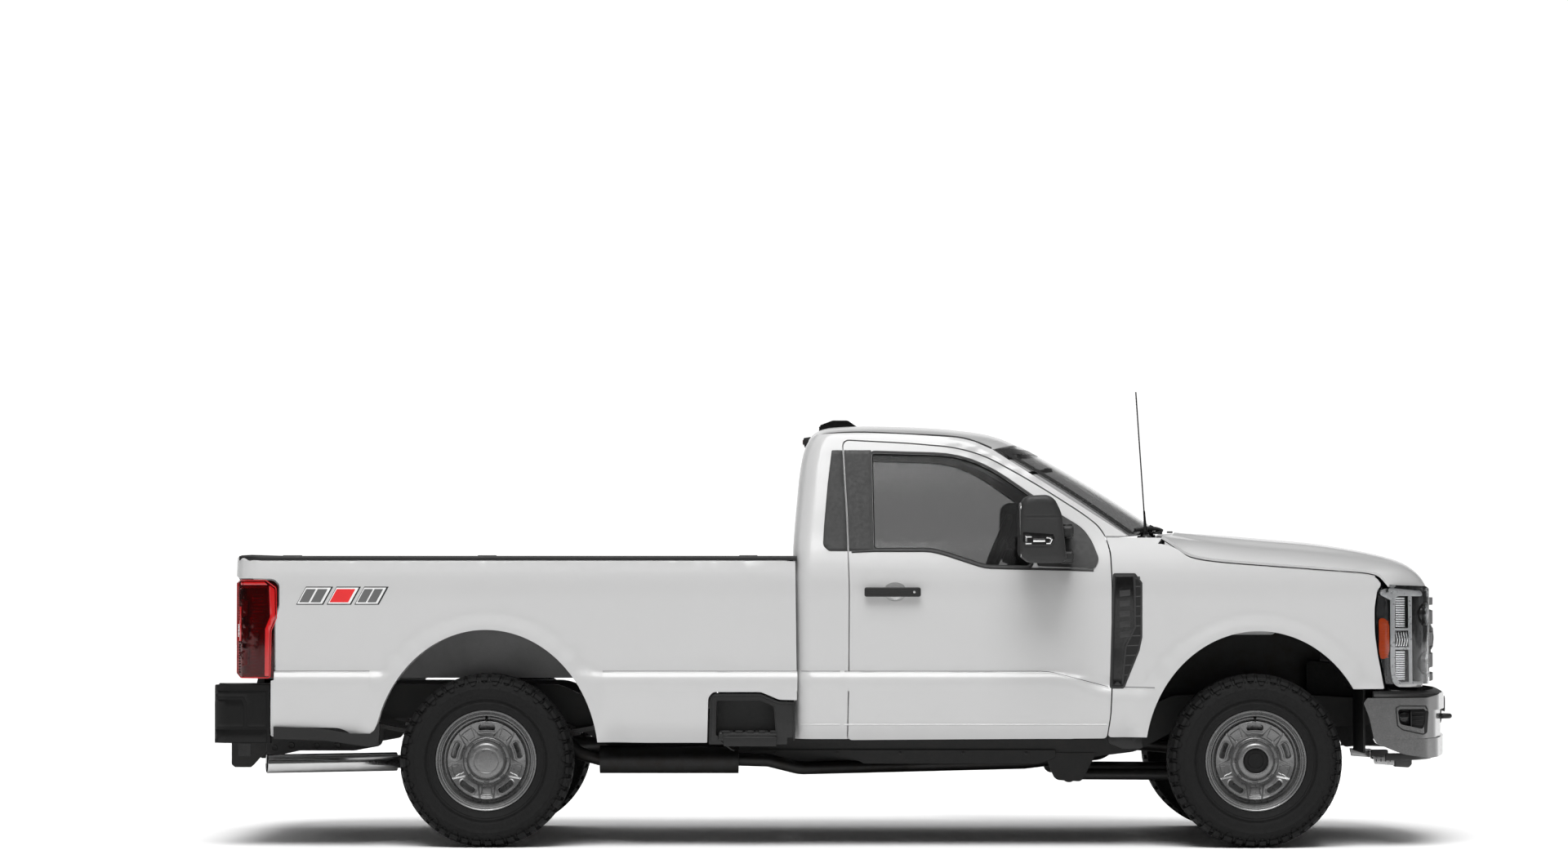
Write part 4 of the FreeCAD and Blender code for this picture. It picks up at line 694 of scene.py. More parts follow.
def crown(s):
    """Tread surface radius at half-width position s (-1..1)."""
    a = abs(s)
    return TR - 0.0035 * a ** 2 - 0.016 * max(0.0, (a - 0.80) / 0.20) ** 1.8


def pt(phi, r, w):
    return Vector((r * math.cos(phi), w, r * math.sin(phi)))


def cell(bm, poly, base, top, inset=0.0012, draft=0.0012, sub=3):
    """Raised block: poly in (phi, s) ordered round; base/top are functions (phi, s, grow) -> point."""
    n = len(poly)
    cx = sum(p[0] for p in poly) / n
    cy = sum(p[1] for p in poly) / n

    def ring(grow, fn):
        out = []
        for p in poly:
            dx, dy = (p[0] - cx) * 0.39, (p[1] - cy) * 0.13
            L = math.hypot(dx, dy) or 1e-6
            k = 1 + grow / L
            out.append(bm.verts.new(fn(cx + (p[0] - cx) * k, cy + (p[1] - cy) * k)))
        return out
    r0 = ring(draft, base)
    r1 = ring(0.0, lambda a, b: base(a, b).lerp(top(a, b), 0.82))
    r2 = ring(-inset, top)
    for a, b in ((r0, r1), (r1, r2)):
        for i in range(n):
            bm.faces.new((a[i], a[(i + 1) % n], b[(i + 1) % n], b[i]))
    bm.faces.new(r2)


def tyre_mesh(side):
    """All-terrain tyre about its own axis, built with its outer face towards +Y; side is not used."""
    bm = bmesh.new()
    hw = TW / 2
    prof = [(0.2385, -0.098), (0.2365, -0.108), (0.240, -0.1135), (0.250, -0.1150), (0.262, -0.1195), (0.268, -0.1212), (0.272, -0.1195), (0.290, -0.1255), (0.314, -0.1300), (0.334, -0.1305),
            (0.337, -0.1316), (0.341, -0.1303), (0.352, -0.1282), (0.366, -0.1250), (0.377, -0.1185), (0.385, -0.112), (0.3900, -0.102), (0.3925, -0.060), (0.3935, 0)]
    prof = prof + [(r, -w) for r, w in reversed(prof[:-1])]
    inner = [(0.236, 0.090), (0.270, 0.104), (0.330, 0.116), (0.376, 0.104), (0.386, 0.06), (0.386, -0.06), (0.376, -0.104), (0.330, -0.116), (0.270, -0.104), (0.236, -0.090)]
    n = 120
    rings = []
    for r, w in prof + inner:
        rings.append([bm.verts.new(pt(2 * math.pi * i / n, r, w)) for i in range(n)])
    for a, b in zip(rings, rings[1:] + rings[:1]):
        for i in range(n):
            bm.faces.new((a[i], a[(i + 1) % n], b[(i + 1) % n], b[i]))
    rnd = random.Random(5)
    N = 44
    pitch = 2 * math.pi / N
    ground = lambda a, s: pt(a, 0.3890 if abs(s) < 0.80 else 0.3890 - 0.014 * ((abs(s) - 0.80) / 0.2), s * hw)
    top = lambda a, s: pt(a, crown(s), s * hw)
    # (row centre, half width, share of the pitch, zig)
    for k in range(N):
        a0 = k * pitch
        j = rnd.uniform(-0.03, 0.03) * pitch
        # centre: paired interlocking blocks
        for c, hwid, share, ph in ((-0.115, 0.115, 0.78, 0.0), (0.125, 0.115, 0.78, 0.5)):
            b = a0 + ph * pitch + j
            half = pitch * share / 2
            z = 0.18 * pitch * (1 if c < 0 else -1)
            blk = [(b - half + z, c - hwid), (b - half * 0.3, c - hwid * 1.12), (b + half + z, c - hwid * 0.9), (b + half * 0.85 - z, c), (b + half - z, c + hwid), (b + half * 0.2, c + hwid * 1.1), (b - half - z, c + hwid * 0.9), (b - half * 0.8 + z, c)]
            m1 = [blk[0], blk[1], ((blk[1][0] + 0.02 * pitch), blk[1][1]), (b + 0.02 * pitch - 0.05 * pitch, c), (blk[5][0] + 0.02 * pitch, blk[5][1]), blk[6], blk[7]]
            m2 = [(blk[1][0] + 0.06 * pitch, blk[1][1]), blk[2], blk[3], blk[4], (blk[5][0] + 0.07 * pitch, blk[5][1]), (b + 0.02 * pitch, c)]
            for m in (m1, m2):
                cell(bm, m, ground, top, 0.0008, 0.0006)
        # second rows
        for sgn in (-1, 1):
            b = a0 + (0.25 if sgn < 0 else 0.75) * pitch + j
            half = pitch * 0.37
            c = sgn * 0.43
            z = 0.16 * pitch * sgn
            blk = [(b - half + z, c - 0.145), (b + half + z, c - 0.155), (b + half * 0.8, c - 0.02), (b + half - z, c + 0.135), (b - half - z, c + 0.150), (b - half * 1.12, c + 0.03)]
            cut = 0.045 * pitch
            m1 = [blk[0], (b + z - cut, c - 0.150), (b - cut * 1.6, c), (b - z - cut, c + 0.142), blk[4], blk[5]]
            m2 = [(b + z + cut * 0.3, c - 0.150), blk[1], blk[2], blk[3], (b - z + cut * 0.3, c + 0.142), (b - cut * 0.3, c)]
            for m in (m1, m2):
                cell(bm, m, ground, top, 0.0008, 0.0006)
        # shoulder rows run down onto the sidewall
        for sgn in (-1, 1):
            b = a0 + (0.5 if sgn < 0 else 0.0) * pitch + j
            wide = k % 2 == 0
            half = pitch * (0.375 if wide else 0.29)
            c0, c1 = sgn * 0.655, sgn * 0.985
            blk = [(b - half, c0), (b - half * 0.2, c0 - sgn * 0.03), (b + half, c0), (b + half * 0.92, c1), (b + half * 0.15, c1 + sgn * 0.01), (b - half * 0.92, c1)]
            if sgn < 0:
                blk = list(reversed(blk))
            cell(bm, blk, ground, top, 0.0012, 0.001)
            # lug on the sidewall under it
            w = half * (0.80 if wide else 0.50)
            ro, ri = 0.3900, (0.3560 if wide else 0.3660)

            def sw(r):
                t = (r - 0.350) / 0.045
                return 0.1285 - 0.0150 * max(0.0, t) ** 1.5
            base = lambda a, r: pt(a, r, sgn * (sw(r) - 0.003))
            up = lambda a, r: pt(a, r, sgn * (sw(r) + 0.0052))
            lug = [(b - w, ro), (b + w, ro), (b + w * 0.9, (ro + ri) / 2), (b + w * 0.55, ri), (b - w * 0.55, ri), (b - w * 0.9, (ro + ri) / 2)]
            cell(bm, lug, base, up, 0.0006, 0.0004)
            # small bar between the lugs
            bb = b + pitch / 2
            v = pitch * 0.055
            bar = [(bb - v, 0.3880), (bb + v, 0.3880), (bb + v, 0.3700), (bb - v, 0.3700)]
            cell(bm, bar, base, up, 0.0004, 0.0002)
    # ring of short raised bars and a broken rib below the lugs
    for k in range(88):
        a = 2 * math.pi * k / 88
        for sgn in (-1, 1):
            w2 = lambda r: 0.1298 - 0.35 * max(0.0, 0.314 - r) ** 1.2
            lo_ = lambda q, r: pt(q, r, sgn * (w2(r) - 0.002))
            hi_ = lambda q, r: pt(q, r, sgn * (w2(r) + 0.0022))
            if k % 2 == 0:
                cell(bm, [(a - 0.012, 0.3430), (a + 0.012, 0.3430), (a + 0.009, 0.3330), (a - 0.009, 0.3330)], lo_, hi_, 0.0004, 0.0002)
            if 9 < (k % 44) < 35:
                cell(bm, [(a - 0.024, 0.3185), (a + 0.024, 0.3185), (a + 0.022, 0.3010), (a - 0.022, 0.3010)], lo_, lambda q, r: pt(q, r, sgn * (w2(r) + 0.0008)), 0.0005, 0.0002)
    # fine ribs round the sidewall
    for r0, w0 in ((0.2785, 0.1228), (0.2825, 0.1240), (0.2865, 0.1251)):
        for sgn in (-1, 1):
            t = bm_lathe([(r0 - 0.0012, sgn * (w0 - 0.001)), (r0 - 0.0004, sgn * (w0 + 0.0007)), (r0 + 0.0006, sgn * (w0 + 0.0009)), (r0 + 0.0013, sgn * (w0 - 0.0006))], (0, 0, 0), (0, 1, 0), 96)
            me = bpy.data.meshes.new("t")
            t.to_mesh(me)
            t.free()
            bm.from_mesh(me)
            bpy.data.meshes.remove(me)
    bmesh.ops.recalc_face_normals(bm, faces=bm.faces)
    return bm


RIM_PROF = [(0.2360, 0.1040), (0.2362, 0.1105), (0.2345, 0.1128), (0.2310, 0.1132), (0.2280, 0.1115), (0.2262, 0.1070), (0.2245, 0.1020), (0.2225, 0.1000), (0.2200, 0.1004), (0.2180, 0.1008),
            (0.2165, 0.0995), (0.2150, 0.0950), (0.2130, 0.0930), (0.2100, 0.0925), (0.2085, 0.0900), (0.2072, 0.0780), (0.2060, 0.0640), (0.2040, 0.0530), (0.2000, 0.0485), (0.1940, 0.0475),
            (0.1890, 0.0500), (0.1862, 0.0560), (0.1848, 0.0640), (0.1835, 0.0672), (0.1815, 0.0682), (0.1790, 0.0676), (0.1760, 0.0660)]
RIM_PROF += [(0.1760 - 0.0020 * k, 0.0660 - 0.00060 * k) for k in range(1, 30)]
RIM_PROF += [(0.1160, 0.0484), (0.1135, 0.0480), (0.1115, 0.0495), (0.1098, 0.0560), (0.1085, 0.0625), (0.1065, 0.0655), (0.1040, 0.0668), (0.1015, 0.0672), (0.0990, 0.0674), (0.0965, 0.0675),
             (0.0940, 0.0674), (0.0920, 0.0668), (0.0908, 0.0660), (0.0898, 0.0680), (0.0892, 0.0780), (0.0880, 0.0890), (0.0860, 0.0960), (0.0825, 0.1020), (0.0780, 0.1058), (0.0720, 0.1080), (0.0660, 0.1090), (0.0610, 0.1092)]
RIM_REAR = [(0.0590, 0.1090), (0.0578, 0.1078), (0.0565, 0.1074), (0.0552, 0.1084), (0.0535, 0.1092), (0.0400, 0.1100), (0.0200, 0.1108), (0.0, 0.1110)]
RIM_FRONT = [(0.0598, 0.1086), (0.0588, 0.1070), (0.0584, 0.0980), (0.0575, 0.0960), (0.0400, 0.0955), (0.0200, 0.0955), (0.0, 0.0955)]
RIM_BACK = [(0.0, 0.0530), (0.085, 0.0530), (0.095, 0.0320), (0.120, 0.0180), (0.180, 0.0180), (0.1965, 0.0260), (0.2040, -0.030), (0.2140, -0.064), (0.2140, -0.098), (0.2240, -0.108), (0.2360, -0.1120),
            (0.2360, -0.1040), (0.2280, -0.1020), (0.2215, -0.0960), (0.2215, 0.0960), (0.2280, 0.1020)]


def ss(a, b, x):
    t = min(1.0, max(0.0, (x - a) / (b - a)))
    return t * t * (3 - 2 * t)


def slot_sd(r, t):
    """Signed distance to the opening, in its own radial and tangential lengths."""
    t = abs(t)
    rc = 0.1555 + 0.10 * max(0.0, t - 0.016) ** 1.0 * 0.5
    dx, dy = max(0.0, t - 0.0265), abs(r - rc)
    q = math.hypot(dx, dy)
    return q - 0.0138


def rim_face(r, th):
    k = round((th - math.pi / 2) / (2 * math.pi / 5))
    ph = th - math.pi / 2 - k * 2 * math.pi / 5
    t = ph * r
    dh = 0.0
    if 0.112 < r < 0.184:
        w = 0.026 + (r - 0.112) * 0.78
        pad = ss(0.006, -0.002, abs(t) - w) * ss(0.113, 0.128, r)
        dh += 0.0052 * pad
        sd = slot_sd(r, t)
        dh += 0.0022 * ss(0.0085, 0.0030, sd) * (1 if sd > 0 else 1)
        # the flat sunk panels between
        ps = (abs(ph) - math.pi / 5) * r
        dh -= 0.0045 * ss(0.0035, -0.0015, abs(ps) - (0.0165 + (r - 0.12) * 0.22)) * ss(0.119, 0.124, r) * ss(0.1690, 0.1640, r)
        if sd < 0:
            dh -= 0.034
    if 0.0945 < r < 0.1040:
        k8 = round(th / (math.pi / 4))
        if abs(th - k8 * math.pi / 4) * r < 0.0105:
            dh -= 0.0042
    return dh


def rim_mesh(front):
    bm = bmesh.new()
    prof = RIM_PROF + (RIM_FRONT if front else RIM_REAR)
    n = 320
    rings, info = [], []
    for i, (r, h) in enumerate(prof):
        if r == 0.0:
            rings.append([bm.verts.new((0, h, 0))])
            continue
        ring = []
        for j in range(n):
            th = 2 * math.pi * j / n - math.pi
            rr, tt = r, th
            if 0.135 < r < 0.178:
                k = round((th - math.pi / 2) / (2 * math.pi / 5))
                ph = th - math.pi / 2 - k * 2 * math.pi / 5
                sd = slot_sd(r, ph * r)
                if abs(sd) < 0.0011:
                    e = 0.0004
                    gr_ = (slot_sd(r + e, ph * r) - slot_sd(r - e, ph * r)) / (2 * e)
                    gt_ = (slot_sd(r, ph * r + e) - slot_sd(r, ph * r - e)) / (2 * e)
                    rr, tt = r - gr_ * (sd - 0.00005), th - gt_ * (sd - 0.00005) / r
            z = h + rim_face(rr, tt)
            ring.append(bm.verts.new((rr * math.cos(tt), z, rr * math.sin(tt))))
        rings.append(ring)
    back = []
    for r, h in reversed(RIM_BACK):
        back.append([bm.verts.new((0, h, 0))] if r == 0.0 else [bm.verts.new((r * math.cos(2 * math.pi * j / n - math.pi), h, r * math.sin(2 * math.pi * j / n - math.pi))) for j in range(n)])
    for a, b in list(zip(rings, rings[1:])) + list(zip(back, back[1:])) + [(back[0], rings[0])]:
        for i in range(n):
            j = (i + 1) % n
            f = [a[i % len(a)], a[j % len(a)], b[j % len(b)], b[i % len(b)]]
            f = [v for k, v in enumerate(f) if v not in f[:k]]
            if len(f) > 2:
                fc = bm.faces.new(f)
    bmesh.ops.recalc_face_normals(bm, faces=bm.faces)
    return bm


# wheel centres, found on the frame itself from the CAD tyres' boxes
WHEELS = {}
for tag in ("front_right", "front_left", "rear_right", "rear_left"):
    lo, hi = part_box("tyre_" + tag)
    WHEELS[tag] = ((lo + hi) / 2, -1 if "right" in tag else 1)

base_tyre = tyre_mesh(1)
tyre_data = bpy.data.meshes.new("tyre_base")
base_tyre.to_mesh(tyre_data)
base_tyre.free()
for tag, (c, sd) in WHEELS.items():
    p = Piece("tyre_shown_" + tag, "rubber", "wheel_" + tag)
    me = tyre_data.copy()
    ph = {"front_right": 0.0, "front_left": 0.31, "rear_right": 0.047, "rear_left": 0.39}[tag]
    me.transform(Matrix.Translation(c) @ Matrix.Rotation(ph, 4, "Y"))
    p.bm.from_mesh(me)
    bpy.data.meshes.remove(me)
    p.done("tyre", 30.0, replaces=("tyre_" + tag,))

# steel wheels: pressed disc with five openings, valve, and the front wheels' black centre cap
rim_data = {}
for fr in (True, False):
    me = bpy.data.meshes.new("rim_base")
    b_ = rim_mesh(fr)
    b_.to_mesh(me)
    b_.free()
    rim_data[fr] = me
for tag, (c, sd) in WHEELS.items():
    fr = "front" in tag
    T = Matrix.Translation(c) @ (Matrix.Scale(-1, 4, (0, 1, 0)) if sd < 0 else Matrix.Identity(4))
    me = rim_data[fr].copy()
    me.materials.append(M["wheel_grey"])
    me.materials.append(M["liner_and_slot_shade_black"])
    # the sunk floors of the five slot pockets get the second, black material: painted shade standing for the dark seen
    # through the wheel's openings
    for p_ in me.polygons:
        r_ = math.hypot(p_.center.x, p_.center.z)
        if 0.139 < r_ < 0.176 and 0.018 < p_.center.y < 0.044 and p_.center.y > 0.0:
            p_.material_index = 1
    me.transform(T)
    if sd < 0:
        me.flip_normals()
    p = Piece("rim_shown_" + tag, "wheel_grey", "wheel_" + tag)
    p.bm.from_mesh(me)
    o = p.done("wheel_steel", 34.0, replaces=("rim_" + tag,))[0]
    o.data.materials.clear()
    o.data.materials.append(M["wheel_grey"])
    o.data.materials.append(M["liner_and_slot_shade_black"])
    bpy.data.meshes.remove(me)
    v = Piece("valve_" + tag, "rubber", "wheel_" + tag)
    v.add(tube([(0.000, 0.052, 0.2015), (0.000, 0.070, 0.1990), (0.000, 0.086, 0.1925)], 0.0058, 12))
    v.add(tube([(0.000, 0.084, 0.1935), (0.000, 0.098, 0.1865)], 0.0046, 12))
    if fr:
        v.add(bm_lathe([(0, 0.1010), (0.014, 0.1012), (0.030, 0.1008), (0.0352, 0.1000), (0.0362, 0.0985), (0.0372, 0.1000), (0.0400, 0.1010), (0.0500, 0.1012), (0.0555, 0.1000), (0.0572, 0.0975), (0.0572, 0.0950), (0, 0.0950)], (0, 0, 0), (0, 1, 0), 64))
        for k in range(3):
            a_ = math.radians(90 + 120 * k)
            v.add(bm_box(0.0465 * math.cos(a_) - 0.0036, 0.0465 * math.cos(a_) + 0.0036, 0.1005, 0.1030, 0.0465 * math.sin(a_) - 0.0036, 0.0465 * math.sin(a_) + 0.0036, 0.001))
    bmesh.ops.transform(v.bm, matrix=T, verts=v.bm.verts)
    if sd < 0:
        bmesh.ops.reverse_faces(v.bm, faces=v.bm.faces)
    v.done("black_trim", 34.0)
for me in rim_data.values():
    bpy.data.meshes.remove(me)


# ================================================================ lamp bodies made from the CAD blocks
def split_lamp(node, way, lens_t=0.0025, depth=0.028, smooth_iter=0):
    """Outer faces of a lamp block on the right side -> (lens shell, open tray) as bmesh; way = rough outward direction."""
    me = NODES[node].data
    w = Vector(way).normalized()
    src = bmesh.new()
    src.from_mesh(me)
    bmesh.ops.delete(src, geom=[v for v in src.verts if v.co.y > 0], context="VERTS")
    bmesh.ops.remove_doubles(src, verts=src.verts, dist=0.00005)
    src.normal_update()
    bad = [f for f in src.faces if f.normal.dot(w) < 0.28 or abs(f.normal.z) > 0.86]
    bmesh.ops.delete(src, geom=bad, context="FACES")
    src.normal_update()
    vs = list(src.verts)
    idx = {v: i for i, v in enumerate(vs)}
    nm = []
    for v in vs:
        n = Vector((0, 0, 0))
        for f in v.link_faces:
            n += f.normal * f.calc_area()
        n.z *= 0.15
        nm.append(n.normalized() if n.length > 0 else w)
    rim = [(e.verts[0], e.verts[1]) for e in src.edges if len(e.link_faces) == 1]
    tri = [[idx[v] for v in f.verts] for f in src.faces]

    def shell(a, b, lid=True):
        bm = bmesh.new()
        A = [bm.verts.new(v.co - nm[i] * a) for i, v in enumerate(vs)]
        B = [bm.verts.new(v.co - nm[i] * b) for i, v in enumerate(vs)]
        for t in tri:
            if lid:
                bm.faces.new([A[i] for i in t])
            bm.faces.new([B[i] for i in reversed(t)])
        for p, q in rim:
            i, j = idx[p], idx[q]
            bm.faces.new((A[i], A[j], B[j], B[i]))
        return bm
    lens = shell(0.0, lens_t)
    # tray: floor at depth, walls from just under the lens
    tray = shell(lens_t + 0.0004, depth, lid=False)
    src.free()
    return lens, tray


def lens_glass(name, tint, rough=0.02):
    m = Mat(name)
    m.set(Transmission_Weight=1.0, IOR=1.25, Roughness=rough, Specular_IOR_Level=0.5, Coat_Weight=0.3)
    m.color(m.ramp(m.noise(3, 2, 0.5), [(0.3, tuple(x * 0.96 for x in tint)), (0.7, tint)]))
    m.b.inputs["Roughness"].default_value = rough
    M[name] = m.m


lens_glass("lens_clear", (0.93, 0.94, 0.95))
lens_glass("lens_red", (0.62, 0.012, 0.012))
plastic("bezel_black", g(7), 0.16, 300, 0.02)
plastic("silver_trim", g(182), 0.30, 500, 0.03)
plastic("bezel_red", g((92, 8, 8)), 0.35, 200, 0.05)
metal("chrome", g(228), 0.10, 1.0, bump=0.0)
plastic("flat_grey", g(72), 0.5, 500, 0.08)
M["silver_trim"].node_tree.nodes["Principled BSDF"].inputs["Metallic"].default_value = 0.55

# ---------------------------------------------------------------- headlamps
lens, tray = split_lamp("headlamps", (0.5, -0.86, 0))
LAMP = Drop(["headlamps"], "y-")
p = Piece("headlamp_lens", "lens_clear")
p.add(lens, both=True)
p.done("lamp", 50, replaces=("headlamps",))
p = Piece("headlamp_tray", "bezel_black")
p.add(tray, both=True)
p.done("lamp", 40)


class Inner:
    """The lamp's outside, as a Drop that sits a set depth inside it."""

    def __init__(self, src, depth):
        self.s, self.d, self.ax, self.sg = src, depth, src.ax, src.sg

    def get(self, u, v):
        q = self.s.get(u, v)
        return None if q is None else q - Vector((0, self.sg, 0)) * self.d

    def normal(self, u, v, e=0.012):
        q, n = self.s.normal(u, v, e)
        return (None, n) if q is None else (q - Vector((0, self.sg, 0)) * self.d, n)


L10, L20, L16 = Inner(LAMP, 0.008), Inner(LAMP, 0.022), Inner(LAMP, 0.014)
Y = -0.9
silver = Piece("headlamp_frames", "silver_trim")
# broad silver C: chamfered corner, top bar, left bar, bottom bar
silver.add(bm_patch(svs([(1686.5, 728, 1), (1687.5, 722.5, 2), (1697, 719.8, 2), (1739, 723.4, 1), (1741, 730.2, 1), (1708, 729.6, 2), (1702, 736, 3)], Y), L10, 0, 0.006, 0.008, edge=0.001), both=True)
silver.add(bm_patch(svs([(1699.8, 735, 0), (1706.5, 729.8, 0), (1705.6, 742, 2), (1705.4, 822, 2), (1708.5, 835, 2), (1741, 833.6, 1), (1741, 841, 1), (1704, 841, 2), (1699.8, 822, 2)], Y), L10, 0, 0.006, 0.008, edge=0.001), both=True)
silver.add(bm_patch(svs([(1721.8, 729, 1), (1726.4, 729, 1), (1727, 836, 1), (1722.6, 836, 1)], Y), L10, 0, 0.006, 0.008, edge=0.001), both=True)
silver.add(bm_patch(svs([(1703.5, 768.8, 1), (1723, 768.8, 1), (1723, 771.8, 1), (1703.5, 771.8, 1)], Y), L10, 0, 0.005, 0.008, edge=0.0008), both=True)
silver.add(bm_patch(svs([(1703.5, 792, 1), (1723, 792, 1), (1723, 795, 1), (1703.5, 795, 1)], Y), L10, 0, 0.005, 0.008, edge=0.0008), both=True)
silver.done("lamp")
# ribbed reflector bowls
refl = Piece("headlamp_reflectors", "reflector")
for (v0, v1) in ((731, 767.5), (796.5, 832)):
    nrib = 13
    for k in range(nrib):
        a, b = v0 + (v1 - v0) * k / nrib, v0 + (v1 - v0) * (k + 0.9) / nrib
        refl.add(bm_patch(svs([(1706.2, a), (1717.6, a), (1717.6, b), (1706.2, b)], Y), L16, 0.001 * (k % 2), 0.005, 0.012, edge=0.0006), both=True)
refl.done("lamp")
fins = Piece("headlamp_fins", "chrome")
for k in range(5):
    u = 1706 + 3.1 * k
    fins.add(bm_patch(svs([(u, 773), (u + 1.6, 773), (u + 3.4, 782), (u + 1.6, 791), (u, 791), (u + 1.4, 782)], Y), L16, 0.003, 0.006, 0.008, edge=0.0006), both=True)
fins.done("lamp")
amber = Piece("side_marker_amber", "amber_lens")
amber.add(bm_patch(svs([(1685.6, 758.5, 1.5), (1688, 756.6, 1), (1693.5, 757.2, 1), (1698.4, 764, 1), (1698.6, 798, 1), (1693.6, 806.4, 1), (1688, 806.6, 1), (1685.6, 799, 1)], Y),
                   LAMP, -0.0034, 0.003, 0.008, edge=0.0008), both=True)
for k in range(16):
    v = 760 + 2.9 * k
    amber.add(bm_patch(svs([(1687.2, v), (1697.2, v), (1697.2, v + 1.5), (1687.2, v + 1.5)], Y), LAMP, -0.0026, 0.002, 0.012, edge=0.0004), both=True)
amber.done("lamp")

# front view of the lamp: two lamp bowls with rings
LX = Drop(["headlamps"], "x+")
bowl = Piece("headlamp_bowls", "reflector")
ring = Piece("headlamp_rings", "silver_trim")
for zc in (1.090, 0.860):
    q = LX.get(-0.815, zc)
    if q is None:
        continue
    for sgn in (1,):
        x = q.x - 0.012
        prof = [(0.046, 0.0), (0.044, -0.008), (0.036, -0.020), (0.022, -0.028), (0.010, -0.031), (0.0, -0.031)]
        bowl.add(bm_lathe(prof, (x, -0.815, zc), (1, 0, 0), 40), both=True)
        ring.add(bm_lathe([(0.045, -0.004), (0.049, 0.0), (0.053, 0.0), (0.055, -0.004), (0.053, -0.010), (0.046, -0.008)], (x, -0.815, zc), (1, 0, 0), 40, closed=True), both=True)
        bowl.add(bm_lathe([(0.0, -0.010), (0.007, -0.011), (0.011, -0.016), (0.011, -0.031)], (x, -0.815, zc), (1, 0, 0), 20), both=True)
bowl.done("lamp")
ring.done("lamp")

# ---------------------------------------------------------------- grille
GX = Drop(["grille"], "x+")


def hexmesh(piece, x_of, y0, y1, z0, z1, cell_r=0.011, wall=0.0022, depth=0.010, keep=None):
    """Honeycomb grid filling a window in the Y-Z plane, bowed with x_of(y)."""
    dx, dz = cell_r * math.sqrt(3), cell_r * 1.5
    ni, nj = int((y1 - y0) / dx) + 2, int((z1 - z0) / dz) + 2
    bm = bmesh.new()
    for j in range(nj):
        for i in range(ni):
            cy, cz = y0 + (i + (j % 2) * 0.5) * dx, z0 + j * dz
            if not (y0 <= cy <= y1 and z0 <= cz <= z1) or (keep and not keep(cy, cz)):
                continue
            ro, ri = cell_r * 0.998, cell_r - wall
            rings = []
            for r, h in ((ro, 0.0), (ri, 0.0015), (ri, -depth), (ro, -depth)):
                rings.append([bm.verts.new((x_of(cy + r * math.sin(math.pi / 3 * k)) + h, cy + r * math.sin(math.pi / 3 * k), cz + r * math.cos(math.pi / 3 * k))) for k in range(6)])
            for a, b in zip(rings, rings[1:] + rings[:1]):
                for k in range(6):
                    bm.faces.new((a[k], a[(k + 1) % 6], b[(k + 1) % 6], b[k]))
    piece.add(bm)


def grille_x(y):
    return (2880.0 - 92.0 * (abs(y) / 0.732) ** 2) / 1000.0


mesh_ = Piece("grille_mesh", "trim_gloss")
for z0, z1 in ((0.815, 0.834), (0.910, 0.936), (1.006, 1.034), (1.112, 1.126)):
    hexmesh(mesh_, lambda y: grille_x(y) - 0.060, -0.680, 0.680, z0, z1, 0.0105, keep=lambda y, z: abs(y) > 0.158)
for z0, z1 in ((0.846, 0.890), (1.050, 1.094)):
    # raised panels of honeycomb on the two bars
    for sg in (-1, 1):
        a, b = (0.20, 0.66) if sg > 0 else (-0.66, -0.20)
        hexmesh(mesh_, lambda y: grille_x(y) - 0.0045, a, b, z0 + 0.006, z1 - 0.006, 0.0085, 0.0018, 0.004)
mesh_.done("grille_grey")
gr = Piece("grille_edges", "flat_grey")
for z in (0.8365, 0.8995, 1.0405, 1.1035, 0.9425, 0.9975):
    for a, b in ((-0.70, -0.155), (0.155, 0.70)):
        path = [(grille_x(a + (b - a) * i / 12) - 0.0105 if z not in (0.9425, 0.9975) else grille_x(a + (b - a) * i / 12) - 0.002, a + (b - a) * i / 12, z) for i in range(13)]
        gr.add(bm_sweep(path, half_round(0.007, 0.004), (1, 0, 0)))
gr.done("grille_grey")
# plain centre plate: plain oval-cornered plate
badge = Piece("grille_centre_plate", "flat_grey")
badge.add(bm_prism([(-0.094, 0.970, 0.02), (-0.058, 0.920, 0.02), (0.058, 0.920, 0.02), (0.094, 0.970, 0.02), (0.058, 1.020, 0.02), (-0.058, 1.020, 0.02)], "x", 2.888, 2.898, 0.003))
badge.done("grille_grey")
# side end of the grille: mesh pockets seen from the side
ge = Piece("grille_end_slots", "trim_gloss")
GY = Drop(["grille"], "y-")
for v0, v1 in ((739, 759), (806, 826)):
    for k in range(6):
        v = v0 + (v1 - v0) * (k + 0.15) / 6
        z = sv(1740, v, -0.72)[1]
        for u in (2.724, 2.738, 2.752):
            ge.add(bm_prism([(u - 0.0052, z - 0.0036, 0.002), (u + 0.0052, z - 0.0036, 0.002), (u + 0.0052, z + 0.0036, 0.002), (u - 0.0052, z + 0.0036, 0.002)], "y", -0.7335, -0.7305, 0.0006), both=True)
ge.done("grille_grey")

# ---------------------------------------------------------------- front bumper
BY = Drop(["front_bumper"], "y-")
BZ = Drop(["front_bumper"], "z+")
# soft black filler over the bumper's top edge
fil = Piece("front_bumper_filler", "trim_black")
top = []
for (x, y) in rpoly([(2.500, -0.980, 0), (2.620, -0.972, 0.3), (2.733, -0.922, 0.14), (2.812, -0.768, 0.23), (2.865, -0.532, 0.7), (2.898, -0.296, 0.9), (2.920, 0.0, 0)], closed=False, seg=10):
    top.append((x, y, 0.7085))
fil.add(bm_sweep(densify(top, 0.03, False), [(-0.020, -0.010), (0.010, -0.010), (0.014, -0.002), (0.010, 0.008), (-0.016, 0.022), (-0.030, 0.024), (-0.030, -0.010)], (0, 0, 1)), both=True)
fil.done("black_trim")
